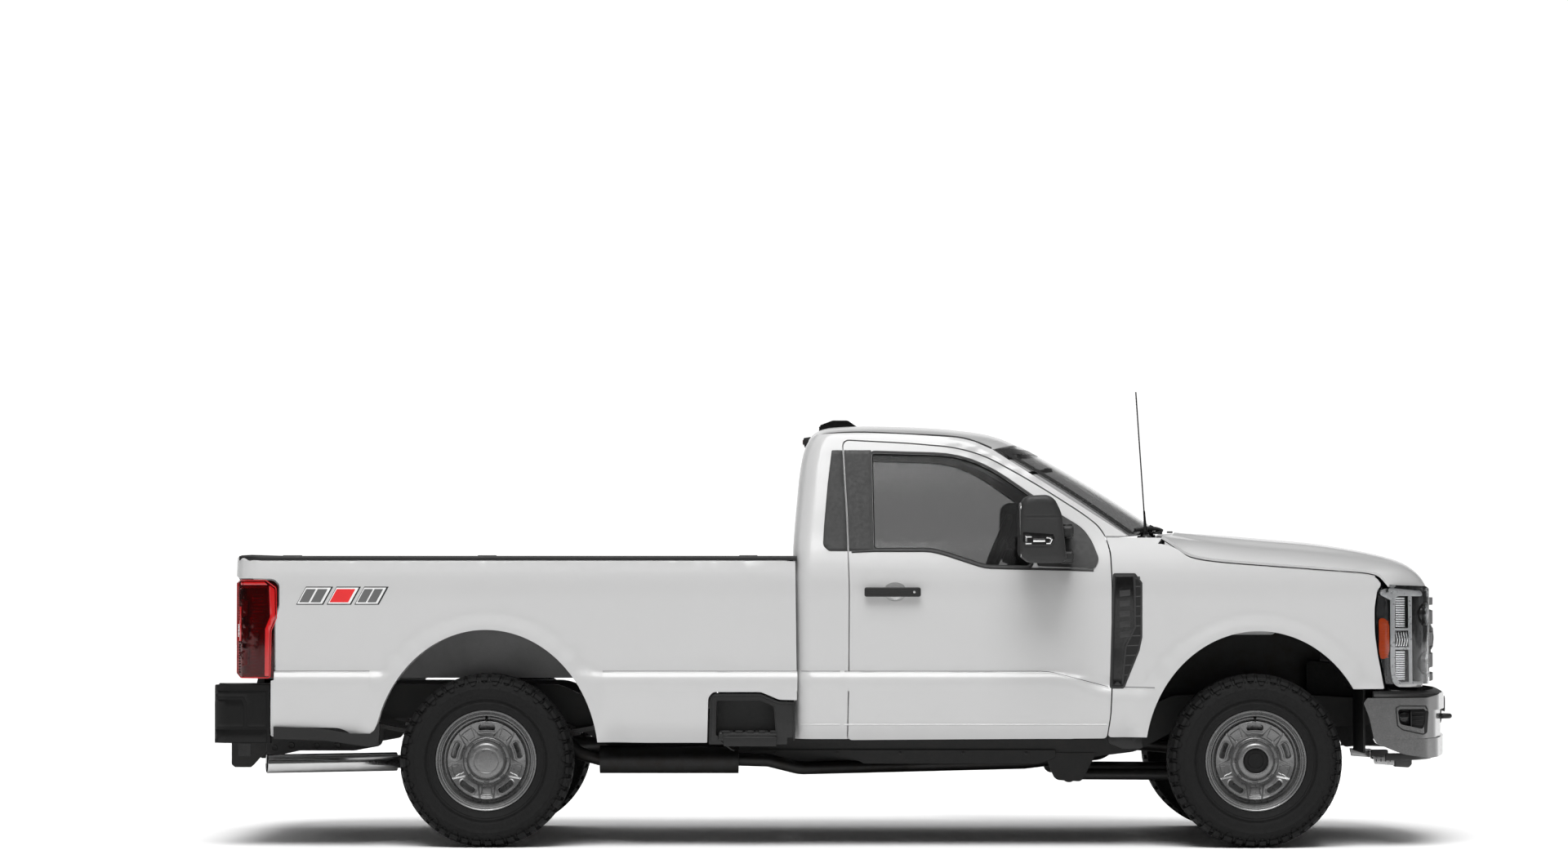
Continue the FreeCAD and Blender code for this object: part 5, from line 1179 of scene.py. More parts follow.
# fog-lamp pocket: liner, lamp and frame
fog = Piece("fog_pockets", "trim_black")
FP = svs([(1706.5, 866, 3), (1711, 863.8, 3), (1745, 864.5, 4), (1749.5, 872, 4), (1747, 897, 3), (1742, 899, 2), (1715, 893, 4), (1708.5, 888, 4)], -0.95)
fog.add(bm_trim([(a, b, 0.008) for a, b, *_ in FP], BY, 0.006, 0.004, closed=True, lift=0.0), both=True)
inner = [(a, b, 0.010) for a, b, *_ in FP]
fog.add(bm_prism(inner, "y", -0.900, -0.896, 0.001), both=True)
fog.add(bm_box(2.676, 2.682, -0.955, -0.897, 0.560, 0.640, 0.002), both=True)
fog.add(cyl((2.648, -0.930, 0.608), (0, 1, 0), 0.026, 0.034, 0.003, 28), both=True)
for k in range(4):
    fog.add(bm_box(2.690, 2.742, -0.9065 + 0, -0.8975, 0.570 + 0.020 * k, 0.576 + 0.020 * k, 0.0015), both=True)
fog.done("black_trim")
fl = Piece("fog_lamps", "lens_clear")
fl.add(bm_lathe([(0, -0.006), (0.012, -0.0055), (0.020, -0.004), (0.0235, 0.0), (0.0225, 0.004), (0, 0.004)], (2.648, -0.9335, 0.608), (0, 1, 0), 28), both=True)
fl.done("lamp")
# lower lip of the bumper in black
low = Piece("front_air_dam", "trim_black")
path = [(x, y, 0.4215) for (x, y) in rpoly([(2.560, -0.958, 0), (2.620, -0.953, 0.3), (2.722, -0.905, 0.12), (2.796, -0.757, 0.22), (2.848, -0.526, 0.7), (2.881, -0.290, 0.9), (2.900, 0, 0)], closed=False, seg=10)]
low.add(bm_sweep(densify(path, 0.03, False), [(-0.002, 0.020), (-0.014, 0.020), (-0.018, -0.006), (-0.012, -0.014), (-0.004, -0.012), (0.001, 0.0)], (0, 0, 1)), both=True)
# louvres in the lower opening
for k in range(3):
    low.add(bm_box(2.846, 2.884, -0.325, 0.325, 0.528 + 0.017 * k, 0.534 + 0.017 * k, 0.0015))
low.add(bm_box(2.838, 2.844, -0.335, 0.335, 0.515, 0.590, 0.001))
low.done("black_trim")
# bracket plate hanging below the bumper's corner
br = Piece("bumper_bracket_plate", "silver_trim")
br.add(bm_prism([(2.560, 0.3735, 0.003), (2.655, 0.3660, 0.003), (2.655, 0.405, 0.003), (2.552, 0.412, 0.003)], "y", -0.500, -0.494, 0.0012), both=True)
br.add(bm_box(2.556, 2.655, -0.500, -0.440, 0.4035, 0.4095, 0.0015), both=True)
br.done("chassis_steel")
br = Piece("bumper_bracket_block", "flat_grey")
br.add(bm_prism([(2.656, 0.360, 0.004), (2.724, 0.3560, 0.012), (2.738, 0.372, 0.012), (2.738, 0.405, 0.006), (2.656, 0.405, 0.004)], "y", -0.505, -0.435, 0.004, 3), both=True)
for k in range(4):
    br.add(bm_prism([(2.566 + 0.022 * k, 0.384, 0.002), (2.572 + 0.022 * k, 0.384, 0.002), (2.572 + 0.022 * k, 0.397, 0.002), (2.566 + 0.022 * k, 0.397, 0.002)], "y", -0.5012, -0.4995, 0.0004), both=True)
br.done("chassis_black")
# plain plate on the bumper's middle
pl = Piece("front_plate_blank", "silver_trim")
pl.add(bm_prism([(-0.152, 0.612, 0.012), (0.152, 0.612, 0.012), (0.152, 0.688, 0.012), (-0.152, 0.688, 0.012)], "x", 2.9415, 2.9435, 0.0008))
pl.done("bright_bumper")
pl = Piece("front_plate_holder", "trim_black")
pl.add(bm_prism([(-0.146, 0.618, 0.010), (0.146, 0.618, 0.010), (0.146, 0.682, 0.010), (-0.146, 0.682, 0.010)], "x", 2.905, 2.9413, 0.002))
pl.done("black_trim")
# pads round the tow-hook openings
hk = Piece("tow_hook_bezels", "trim_black")
for sg in (-1, 1):
    q = (2.9505, 0.43 * sg, 0.600)
    loop = rpoly([(-0.058, -0.028, 0.02), (0.058, -0.028, 0.02), (0.058, 0.028, 0.02), (-0.058, 0.028, 0.02)])
    BX = Drop(["front_bumper"], "x+")
    path = []
    for a, b in loop:
        w = BX.get(q[1] + a * 1.07, q[2] + b * 1.16)
        path.append(Vector((w.x if w else 2.885, q[1] + a, q[2] + b)))
    hk.add(bm_sweep(path, half_round(0.008, 0.004), (1, 0, 0), closed=True))
hk.done("black_trim")


# ================================================================ body trim
DOOR_Y = Drop(["door_right", "mirror_right"], "y-", lo=-1.12, hi=-0.60)
DSK = Drop(["door_right"], "y-", lo=-1.035, hi=-0.60)
CABS = Drop(["cab_side_right"], "y-")
FEN = Drop(["fender_right"], "y-")
BED = Drop(["bed_side_right"], "y-")
GLS = Drop(["door_glass_right"], "y-")

# side-window line: glass edge in metres
GL = [(0.168, 1.396, .014), (0.440, 1.396, .26), (0.513, 1.376, .26), (0.690, 1.318, .2), (0.900, 1.312, .022),
      (0.935, 1.622, .016), (0.742, 1.757, .9), (0.629, 1.812, .5), (0.511, 1.838, .9), (0.160, 1.848, .014)]


def off(loop, d):
    """Move a closed loop outwards by d."""
    P = [Vector(p) for p in loop]
    n = len(P)
    area = sum(P[i].x * P[(i + 1) % n].y - P[(i + 1) % n].x * P[i].y for i in range(n))
    sg = 1 if area > 0 else -1
    out = []
    for i in range(n):
        t = (P[(i + 1) % n] - P[i - 1]).normalized()
        out.append(P[i] + Vector((t.y, -t.x)) * d * sg)
    return out


# black window surround on the door: outer band, thin rubber lip against the glass
gl = densify(rpoly(GL, seg=8), 0.02)
band = Piece("window_surround_right", "trim_black", "door_right")


def band_on(drop, loop_in, loop_out, lift, thick, closed=True):
    bm = bmesh.new()
    n = len(loop_in)
    rows = []
    for i in range(n):
        a, b = loop_in[i], loop_out[i]
        pts = []
        for t in (0.0, 0.5, 1.0):
            u = a.lerp(b, t)
            q, nm = drop.normal(u.x, u.y)
            if q is None:
                q, nm = Vector((u.x, -0.95, u.y)), Vector((0, -1, 0))
            pts.append((q, nm))
        lo = min(p[0].y for p in pts)
        rows.append([bm.verts.new(pts[0][0] + Vector((0, -thick * 0.2, 0)) + pts[0][1] * 0.0), bm.verts.new(pts[0][0] + pts[0][1] * lift), bm.verts.new(pts[1][0] + pts[1][1] * (lift + 0.001)),
                     bm.verts.new(pts[2][0] + pts[2][1] * lift), bm.verts.new(pts[2][0] - pts[2][1] * 0.001)])
    for i in range(n if closed else n - 1):
        a, b = rows[i], rows[(i + 1) % n]
        for k in range(4):
            bm.faces.new((a[k], a[k + 1], b[k + 1], b[k]))
    return bm


inn = [Vector(p) for p in gl]
band.add(band_on(DSK, off(inn, 0.0015), off(inn, 0.013), 0.0022, 0.004))
# lip inside the opening down to the glass
lip = bmesh.new()
rows = []
for p, q in zip(off(inn, 0.002), off(inn, -0.006)):
    a, nm = DSK.normal(p.x, p.y)
    g1 = GLS.get(q.x, q.y)
    ay = a.y if a is not None else -0.95
    gy = (g1.y if g1 is not None and g1.y > ay + 0.002 else ay + 0.013)
    rows.append([lip.verts.new((p.x, ay - 0.001, p.y)), lip.verts.new((q.x * 0.5 + p.x * 0.5, ay + 0.002, q.y * 0.5 + p.y * 0.5)), lip.verts.new((q.x, gy - 0.0015, q.y)), lip.verts.new((p.x, gy - 0.0005, p.y))])
for i in range(len(rows)):
    a, b = rows[i], rows[(i + 1) % len(rows)]
    for k in range(4):
        lip.faces.new((a[k], a[(k + 1) % 4], b[(k + 1) % 4], b[k]))
band.add(lip)
band.done("black_trim", twin="door_left", name2="window_surround_left")

# dull black plates on the pillar behind the glass: one on the door, one on the cab, meeting at the door gap


def seam_x(drop, z, xs, ref):
    """First x along xs where the panel is really there at this height; ref is well inside the panel."""
    r_ = drop.at(ref, z)
    if r_ is None:
        return xs[-1]
    for x in xs:
        q_ = drop.at(x, z)
        if q_ is not None and q_.y < r_.y + 0.009:
            return x
    return xs[-1]


ZS = [1.386 + (1.862 - 1.386) * i / 10 for i in range(11)]
dl = [(seam_x(DSK, z, [0.000 + 0.0005 * i for i in range(160)], 0.110) + 0.0012, z, 0.0) for z in ZS]
pil = Piece("pillar_plate_door_right", "trim_black", "door_right")
pil.add(bm_patch(dl + [(0.1575, 1.862, .003), (0.1665, 1.386, .003)], DSK, 0.0028, 0.0036, 0.02, edge=0.0008))
pil.done("black_trim", twin="door_left", name2="pillar_plate_door_left")
cl = [(seam_x(CABS, z, [0.080 - 0.0005 * i for i in range(160)], -0.020) - 0.0012, z, 0.0) for z in ZS]
pil = Piece("pillar_plates_cab", "trim_black")
pil.add(bm_patch(list(reversed(cl)) + [(-0.0430, 1.386, .024), (-0.0700, 1.412, .030), (-0.0655, 1.50, .6), (-0.0480, 1.70, .6), (-0.0285, 1.862, .006)][0:5], CABS, 0.0028, 0.0036, 0.02, edge=0.0008), both=True)
pil.done("black_trim")

# belt strip under the glass
belt = Piece("belt_strip_right", "trim_black", "door_right")
belt.add(bm_trim([(0.064, 1.382, 0), (0.168, 1.3865, .2), (0.436, 1.3865, .26), (0.508, 1.367, .26), (0.686, 1.3085, .2), (0.905, 1.3025, .2), (1.195, 1.296, 0)], DSK, 0.011, 0.005, lift=0.0))
belt.done("black_trim", twin="door_left", name2="belt_strip_left")

# roof-side moulding
RZ = Drop(["roof", "cab_side_right"], "z+")
mold = Piece("roof_mouldings", "trim_black")
path, ups = [], []
for i in range(60):
    x = -0.092 + (0.728 + 0.092) * i / 59
    y = -0.7025
    q = RZ.get(x, y)
    if q is None:
        continue
    path.append(Vector((x, y, q.z + 0.0005)))
    ups.append(Vector((0, -0.45, 0.9)))
mold.add(bm_sweep(path, half_round(0.013, 0.0045), ups), both=True)
mold.done("black_trim")

# roof fin: black shell fitted over the moulding's own form
fin = Piece("roof_fin", "trim_gloss")
FO = [(-0.0895, 1.976, .002), (-0.0815, 2.0040, .008), (-0.0215, 2.0268, .03), (0.0515, 2.0268, .03), (0.1120, 1.9850, .004), (0.1120, 1.976, .002)]
fin.add(bm_prism(FO, "y", -0.0655, 0.0655, 0.0045, 4, 6))
for k in range(5):
    fin.add(bm_box(-0.088 + 0.0, -0.0835, -0.046 + 0.0205 * k, -0.0355 + 0.0205 * k, 1.984, 1.997, 0.002, 2))
fin.done("black_trim")

# high stop lamp at the roof's rear edge
BX_ = Drop(["roof", "cab_back"], "x-")
stop = Piece("high_stop_lamp", "red_lens")
hs = Piece("high_stop_lamp_housing", "trim_black")
q = BX_.get(0.0, 1.925)
qx = q.x if q else -0.14
for sg, nm in ((0, "c"),):
    stop.add(bm_box(qx - 0.028, qx + 0.004, -0.115, 0.115, 1.905, 1.933, 0.006, 3))
    for k in range(22):
        y = -0.108 + 0.0103 * k
        stop.add(bm_box(qx - 0.0298, qx - 0.026, y - 0.0032, y + 0.0032, 1.909, 1.929, 0.0008, 1))
    hs.add(bm_prism([(qx + 0.012, 1.898, 0.003), (qx - 0.022, 1.900, 0.004), (qx - 0.026, 1.938, 0.006), (qx + 0.012, 1.944, 0.004)], "y", -0.168, 0.168, 0.004))
    for s2 in (-1, 1):
        hs.add(bm_box(qx - 0.0285, qx - 0.01, min(0.119 * s2, 0.160 * s2), max(0.119 * s2, 0.160 * s2), 1.907, 1.931, 0.004, 2))
stop.done("tail_red")
hs.done("black_trim")

# ---------------------------------------------------------------- door handle shells
hd = Piece("door_handle_right", "trim_black", "door_right")
hd.add(bm_prism([(0.1235, 1.1725, .010), (0.3865, 1.1725, .010), (0.3865, 1.2165, .010), (0.1235, 1.2165, .010)], "y", -1.0335, -1.0175, 0.005, 4))
hd.add(bm_prism([(0.1315, 1.1775, .007), (0.1785, 1.1775, .007), (0.1785, 1.2125, .007), (0.1315, 1.2125, .007)], "y", -1.0230, -0.9905, 0.002, 2))
hd.add(bm_prism([(0.3335, 1.1775, .007), (0.3785, 1.1775, .007), (0.3785, 1.2125, .007), (0.3335, 1.2125, .007)], "y", -1.0230, -0.9905, 0.002, 2))
hd.add(bm_prism([(0.135, 1.186, .004), (0.372, 1.186, .004), (0.372, 1.203, .004), (0.135, 1.203, .004)], "y", -1.0348, -1.0325, 0.0012, 2))
hd.done("black_trim", twin="door_left", name2="door_handle_left")
lock = Piece("door_lock_right", "silver_trim", "door_right")
lock.add(cyl((0.3560, -1.0350, 1.1945), (0, 1, 0), 0.0062, 0.006, 0.001, 24))
lock.done("black_trim", twin="door_left", name2="door_lock_left")

# ---------------------------------------------------------------- fender outlet
V = svs([(1363.6, 703.2, 2), (1389, 703.2, 6), (1397, 714, 6), (1397, 780, 8), (1393.6, 796, 12), (1375, 842, 2), (1359.6, 842, 2)], -0.99)
FENO = Drop(["fender_right"], "y-")
# the outlet's own smooth surface, over the sunk pocket: read at its rim
_fx = [FENO.get(1.270, z) for z in (0.80, 0.95, 1.10, 1.24)]


class Plate:
    """Plane-ish surface bridging the outlet pocket: y from the body just outside the pocket at the same height."""
    ax, sg = 1, -1

    def __init__(self, lift=0.0):
        self.lift = lift
        self.tab = []
        for i in range(24):
            z = 0.70 + 0.6 * i / 23
            a, b = FENO.get(1.266, z), FENO.get(1.408, z)
            self.tab.append((z, (a.y if a else -0.99), (b.y if b else -0.98)))

    def get(self, u, v):
        t = self.tab
        k = min(max((v - t[0][0]) / (t[-1][0] - t[0][0]) * (len(t) - 1), 0), len(t) - 1.001)
        i = int(k)
        f = k - i
        ya = t[i][1] * (1 - f) + t[i + 1][1] * f
        yb = t[i][2] * (1 - f) + t[i + 1][2] * f
        w = min(1, max(0, (u - 1.266) / 0.142))
        y_ = ya * (1 - w) + yb * w
        q_ = FENO.get(u, v)
        if q_ is not None:
            y_ = min(y_, q_.y)
        return Vector((u, y_ - self.lift, v))

    def normal(self, u, v, e=0.01):
        return self.get(u, v), Vector((0, -1, 0))


PL0 = Plate(0.0)
PLI = Plate(-0.014)
plastic("vent_black", g(5), 0.45, 500, 0.08)
plastic("vent_grey", g(40), 0.45, 500, 0.10)
vent = Piece("fender_outlet_backs", "vent_black")
vent.add(bm_patch([(a, b, r * 0.004) for (a, b, *_), r in zip(V, (1, 3, 3, 4, 6, 1, 1))], PL0, 0.0012, 0.004, 0.015, edge=0.0008), both=True)
vent.done("black_trim")
vent = Piece("fender_outlets", "vent_grey")
# raised outer frame and flat panel on the door side
vent.add(bm_trim([(a, b, 0.006) for a, b, *_ in V], PL0, 0.010, 0.004, closed=True, lift=-0.001), both=True)
panel = svs([(1366, 705.6, 2), (1386.5, 705.6, 3), (1388.5, 770, 8), (1376.5, 790, 8), (1372.5, 839, 2), (1362.6, 839, 2)], -0.99)
pnl_ = Piece("fender_outlet_panels", "trim_gloss")
pnl_.add(bm_patch([(a, b, 0.006) for a, b, *_ in panel], PL0, 0.0035, 0.016, 0.015, edge=0.002), both=True)
pnl_.done("black_trim")
# slats of the outlet
slots = []
for (v0, u0, u1) in ((708, 1388.5, 1395), (718, 1388.5, 1396), (730, 1388.8, 1396), (742, 1389, 1396), (754, 1389, 1396), (766, 1389, 1396), (778, 1384, 1396), (790, 1379, 1394), (802, 1377, 1389.5), (814, 1375.5, 1385), (826, 1374.5, 1380)):
    a, b = sv(u0, v0, -0.99), sv(u1, v0, -0.99)
    path = [(a[0] - 0.004, PL0.get(a[0], a[1]).y + 0.004, a[1]), (b[0] + 0.002, PL0.get(b[0], b[1]).y + 0.004, b[1] + 0.002)]
    vent.add(bm_sweep(path, [(-0.0065, -0.003), (0.0065, -0.003), (0.0065, 0.0045), (0.0030, 0.0060), (-0.0065, 0.0030)], (0, -1, 0)), both=True)
rail_ = svs([(1388.7, 706), (1389.4, 768), (1377.8, 792), (1373.8, 838)], -0.99)
path = densify([(p[0], p[1]) for p in rail_], 0.02, False)
vent.add(bm_sweep([PL0.get(p.x, p.y) + Vector((0, -0.001, 0)) for p in path], [(-0.004, -0.012), (0.004, -0.012), (0.004, 0.0035), (0.002, 0.0045), (-0.002, 0.0045), (-0.004, 0.0035)], (0, -1, 0)), both=True)
vent.done("black_trim")
# a column of plain raised bars on the flat panel
bd = Piece("fender_outlet_inlay", "vent_grey")
for k in range(5):
    v0 = 722 + 12.6 * k
    bar = svs([(1370.2, v0 + 1.5), (1383.4, v0), (1383.4, v0 + 7.2), (1370.2, v0 + 8.7)], -0.99)
    bd.add(bm_patch([(a, b, 0.002) for a, b, *_ in bar], PL0, 0.0052, 0.003, 0.03, edge=0.0006), both=True)
bd.done("grille_grey")

# ---------------------------------------------------------------- generic side decal: slanted bars, red in the middle
plastic("decal_grey", g(92), 0.4, 800, 0.02)
plastic("decal_dark", g(34), 0.4, 800, 0.02)
plastic("decal_red", g((206, 38, 40)), 0.4, 800, 0.02)
plastic("decal_pale", g(214), 0.4, 800, 0.02)


def bars(name, mat, sets, lift):
    pc = Piece(name, mat)
    for s_ in sets:
        pc.add(bm_patch([(a, b, 0.0015) for a, b, *_ in svs(s_, -0.99)], BED, lift, 0.0006, 0.03), both=True)
    pc.done("body_paint")


def slant(u0, u1, v0=719, v1=740, k=0.55):
    d = (v1 - v0) * k
    return [(u0 + d, v0), (u1 + d, v0), (u1, v1), (u0, v1)]


bars("side_decal_edge", "decal_dark", [slant(362.6, 396, 718.4, 740.6), slant(400, 430, 718.4, 740.6), slant(434, 464, 718.4, 740.6)], 0.0005)
bars("side_decal_pale", "decal_pale", [slant(364, 394.6, 719.6, 739.4), slant(401.4, 428.6, 719.6, 739.4), slant(435.4, 462.4, 719.6, 739.4)], 0.0008)
bars("side_decal_grey", "decal_grey", [slant(366.4, 378, 721.4, 737.6), slant(380.4, 392.4, 721.4, 737.6), slant(437.6, 448, 721.4, 737.6), slant(450, 460.4, 721.4, 737.6)], 0.0011)
bars("side_decal_red", "decal_red", [slant(403.6, 426.4, 721.4, 737.6)], 0.0011)

# ---------------------------------------------------------------- bed rails, tailgate, rear lamps
cap = Piece("bed_rail_caps", "trim_black")
path = []
for i in range(48):
    x = -2.812 + (2.812 - 0.192) * i / 47
    q = BED.get(x, 1.342)
    path.append(Vector((x, q.y if q else -0.99, 1.3425)))
prof = [(0.0015, 0.0), (-0.0035, 0.001), (-0.0040, 0.012), (-0.0010, 0.0180), (0.0060, 0.0212), (0.0950, 0.0212), (0.1000, 0.0185), (0.1000, 0.0168), (0.0060, 0.0158), (0.0015, 0.012)]
bmc = bmesh.new()
rings = []
for i, q in enumerate(path):
    rings.append([bmc.verts.new((q.x, q.y + a, q.z + b)) for a, b in prof])
for a, b in zip(rings, rings[1:]):
    for k in range(len(prof)):
        bmc.faces.new((a[k], a[(k + 1) % len(prof)], b[(k + 1) % len(prof)], b[k]))
bmc.faces.new(rings[0])
bmc.faces.new(list(reversed(rings[-1])))
cap.add(bmc, both=True)
# plugs over the stake pockets
for x in (-2.560, -1.646, -0.420):
    cap.add(bm_box(x - 0.043, x + 0.043, -0.940, -0.882, 1.3600, 1.3668, 0.003, 3), both=True)
cap.done("black_trim")
TGX = Drop(["tailgate"], "x-")
tgc = Piece("tailgate_cap", "trim_black", "tailgate")
tgc.add(bm_prism([(-2.8235, 1.338, .004), (-2.8130, 1.3665, .010), (-2.756, 1.3695, .006), (-2.7515, 1.3560, .002), (-2.812, 1.3535, .004)], "y", -0.8365, 0.8365, 0.002, 2))
tgc.done("black_trim")
tgh = Piece("tailgate_handle", "trim_black", "tailgate")
tgh.add(bm_prism([(-0.122, 1.243, .014), (0.122, 1.243, .014), (0.122, 1.315, .014), (-0.122, 1.315, .014)], "x", -2.8300, -2.8205, 0.003))
tgh.add(bm_prism([(-0.096, 1.262, .010), (0.096, 1.262, .010), (0.096, 1.303, .010), (-0.096, 1.303, .010)], "x", -2.8335, -2.8285, 0.002))
tgh.add(cyl((-2.8345, 0.0, 1.2525), (1, 0, 0), 0.0065, 0.006, 0.001, 20))
tgh.done("black_trim")
# raised rib lines round the tailgate's pressed panel
tgr = Piece("tailgate_panel_lines", "paint_white", "tailgate")


def xtrim(piece, pts, drop, w, h, closed, lift=0.0, step=0.03):
    line = densify(rpoly(pts, closed, 6), step, closed)
    path, ups = [], []
    for p_ in line:
        q_, n_ = drop.normal(p_.x, p_.y)
        if q_ is None:
            continue
        path.append(q_ + n_ * lift)
        ups.append(n_)
    piece.add(bm_sweep(path, half_round(w, h), ups, closed))


xtrim(tgr, [(-0.665, 0.912, .04), (0.665, 0.912, .04), (0.665, 1.212, .04), (-0.665, 1.212, .04)], TGX, 0.010, 0.0035, True)
tgr.done("body_paint")

# tail lamps: red shell over a dark tray with ribs
lens, tray = split_lamp("taillamps", (-0.45, -0.89, 0), depth=0.030)
TLY = Drop(["taillamps"], "y-")
p = Piece("taillamp_lens", "lens_red")
p.add(lens, both=True)
p.done("tail_red", 50, replaces=("taillamps",))
p = Piece("taillamp_tray", "bezel_red")
p.add(tray, both=True)
p.done("tail_red", 40)
T8, T16 = Inner(TLY, 0.007), Inner(TLY, 0.020)
rb = Piece("taillamp_ribs", "red_lens")
for k in range(24):
    v = 727 + 4.1 * k
    if v > 822:
        break
    u1 = 324 if v < 756 else (322 if v < 770 else 317)
    rb.add(bm_patch([(a, b, 0.001) for a, b, *_ in svs([(308, v), (u1, v), (u1, v + 2.1), (308, v + 2.1)], -0.97)], T16, 0.004, 0.006, 0.03, edge=0.0006), both=True)
rb.add(bm_patch([(a, b, 0.003) for a, b, *_ in svs([(327.5, 717), (336.5, 722), (338.5, 730), (338.5, 752), (331.5, 771), (331.5, 826), (325, 826), (325, 768), (329.5, 754)], -0.97)], T8, 0.0, 0.010, 0.014, edge=0.002), both=True)
rb.add(bm_patch([(a, b, 0.003) for a, b, *_ in svs([(293, 714), (328, 713.5), (333, 717.5), (327, 720.5), (294, 720)], -0.97)], T8, 0.0, 0.008, 0.02, edge=0.0015), both=True)
rb.add(bm_patch([(a, b, 0.003) for a, b, *_ in svs([(292, 824.5), (331, 824.5), (331, 829.5), (294, 829.5)], -0.97)], T8, 0.0, 0.008, 0.02, edge=0.0015), both=True)
rb.done("tail_red")
rk = Piece("taillamp_reflex", "bezel_red")
for k in range(3):
    v = 733 + 30 * k
    rk.add(bm_patch([(a, b, 0.002) for a, b, *_ in svs([(294.5, v), (304, v + 3), (304, v + 20), (294.5, v + 24)], -0.97)], T16, 0.008, 0.010, 0.02, edge=0.002), both=True)
rk.done("tail_red")
# rear faces: clear reversing lamp and red cells seen from behind
TLX = Drop(["taillamps"], "x-")
rc = Piece("reversing_lamps", "reflector")
for (z0, z1) in ((0.985, 1.045),):
    for k in range(6):
        z = z0 + (z1 - z0) * k / 6
        rc.add(bm_prism([(-0.935, z, .002), (-0.862, z, .002), (-0.862, z + 0.0085, .002), (-0.935, z + 0.0085, .002)], "x", -2.812, -2.806, 0.0008), both=True)
rc.done("lamp")
rc = Piece("taillamp_rear_cells", "red_lens")
for (z0, z1, n_) in ((0.815, 0.970, 12), (1.062, 1.225, 13)):
    for k in range(n_):
        z = z0 + (z1 - z0) * k / n_
        rc.add(bm_prism([(-0.938, z, .002), (-0.860, z, .002), (-0.860, z + 0.008, .002), (-0.938, z + 0.008, .002)], "x", -2.812, -2.806, 0.0008), both=True)
rc.done("tail_red")


# ================================================================ side details
def ribbon(drop, line, offs, back=-0.0015):
    """Closed strip over the CAD skin along a side-view line: offs is a list of (dz, lift)."""
    bm = bmesh.new()
    rings = []
    for p in line:
        row = []
        ends = []
        for k, (dz, lf) in enumerate(offs):
            q_, n_ = drop.normal(p.x, p.y + dz)
            if q_ is None:
                row = None
                break
            row.append(q_ + n_ * lf)
            if k in (0, len(offs) - 1):
                ends.append(q_ + n_ * back)
        if row is None:
            continue
        rings.append([bm.verts.new(v) for v in row + [ends[1], ends[0]]])
    m_n = len(offs) + 2
    for a, b in zip(rings, rings[1:]):
        for k in range(m_n):
            bm.faces.new((a[k], a[(k + 1) % m_n], b[(k + 1) % m_n], b[k]))
    bm.faces.new(rings[0])
    bm.faces.new(list(reversed(rings[-1])))
    return bm


def sline(pts, step=0.03):
    return densify(rpoly(pts, False, 6), step, False)


# pressed body line: a fine bead with a slightly leaning ledge under it
CRE = [(0.0035, 0.0), (0.0018, 0.0020), (-0.0016, 0.0022), (-0.0036, 0.0006), (-0.0050, 0.0007), (-0.020, 0.0022), (-0.040, 0.0027), (-0.062, 0.0019), (-0.088, 0.0)]
LOW = [(0.003, 0.0), (0.001, 0.0016), (-0.0015, 0.0016), (-0.0035, 0.0)]
SIDEB = Drop(["bed_side_right"], "y-")
ZC = 0.8200
bl = Piece("bed_body_lines", "paint_white")
for xa, xb in ((-2.636, -2.190), (-1.100, -0.190)):
    bl.add(ribbon(SIDEB, sline([(xa, ZC), (xb, ZC)]), CRE), both=True)
bl.done("body_paint")
cb = Piece("cab_body_lines", "paint_white")
cb.add(ribbon(CABS, sline([(-0.172, ZC), (0.010, ZC)]), CRE), both=True)
cb.add(ribbon(CABS, sline([(-0.172, 0.5757), (0.008, 0.5757)]), LOW), both=True)
cb.add(ribbon(FEN, sline([(1.290, 0.7476), (1.478, 0.7440)]), LOW), both=True)
cb.done("body_paint")
# painted shade line: a dark strip laid in the upper lip of the pressed crease, where shade falls
paint("crease_shade", g(88), 0.5)
SHD = [(0.0062, 0.0002), (0.0056, 0.0012), (0.0026, 0.0012), (0.0020, 0.0002)]
cs = Piece("crease_shade_lines", "crease_shade")
for xa, xb in ((-2.636, -2.190), (-1.100, -0.190)):
    cs.add(ribbon(SIDEB, sline([(xa, ZC), (xb, ZC)]), SHD), both=True)
cs.add(ribbon(CABS, sline([(-0.172, ZC), (0.010, ZC)]), SHD), both=True)
cs.add(ribbon(FEN, sline([(1.290, 0.7476), (1.478, 0.7440)]), SHD), both=True)
cs.done("body_paint")
# painted shade line along the door's crease
cs = Piece("crease_line_door_right", "crease_shade", "door_right")
cs.add(ribbon(DSK, sline([(0.030, ZC), (0.985, ZC, .3), (1.262, 0.7480)], 0.025), SHD))
cs.done("body_paint", twin="door_left", name2="crease_line_door_left")
db = Piece("door_body_lines_right", "paint_white", "door_right")
db.add(ribbon(DSK, sline([(0.030, ZC), (0.985, ZC, .3), (1.262, 0.7480)], 0.025), CRE))
db.add(ribbon(DSK, sline([(0.028, 0.5757), (1.255, 0.5757)]), LOW))
db.done("body_paint", twin="door_left", name2="door_body_lines_left")

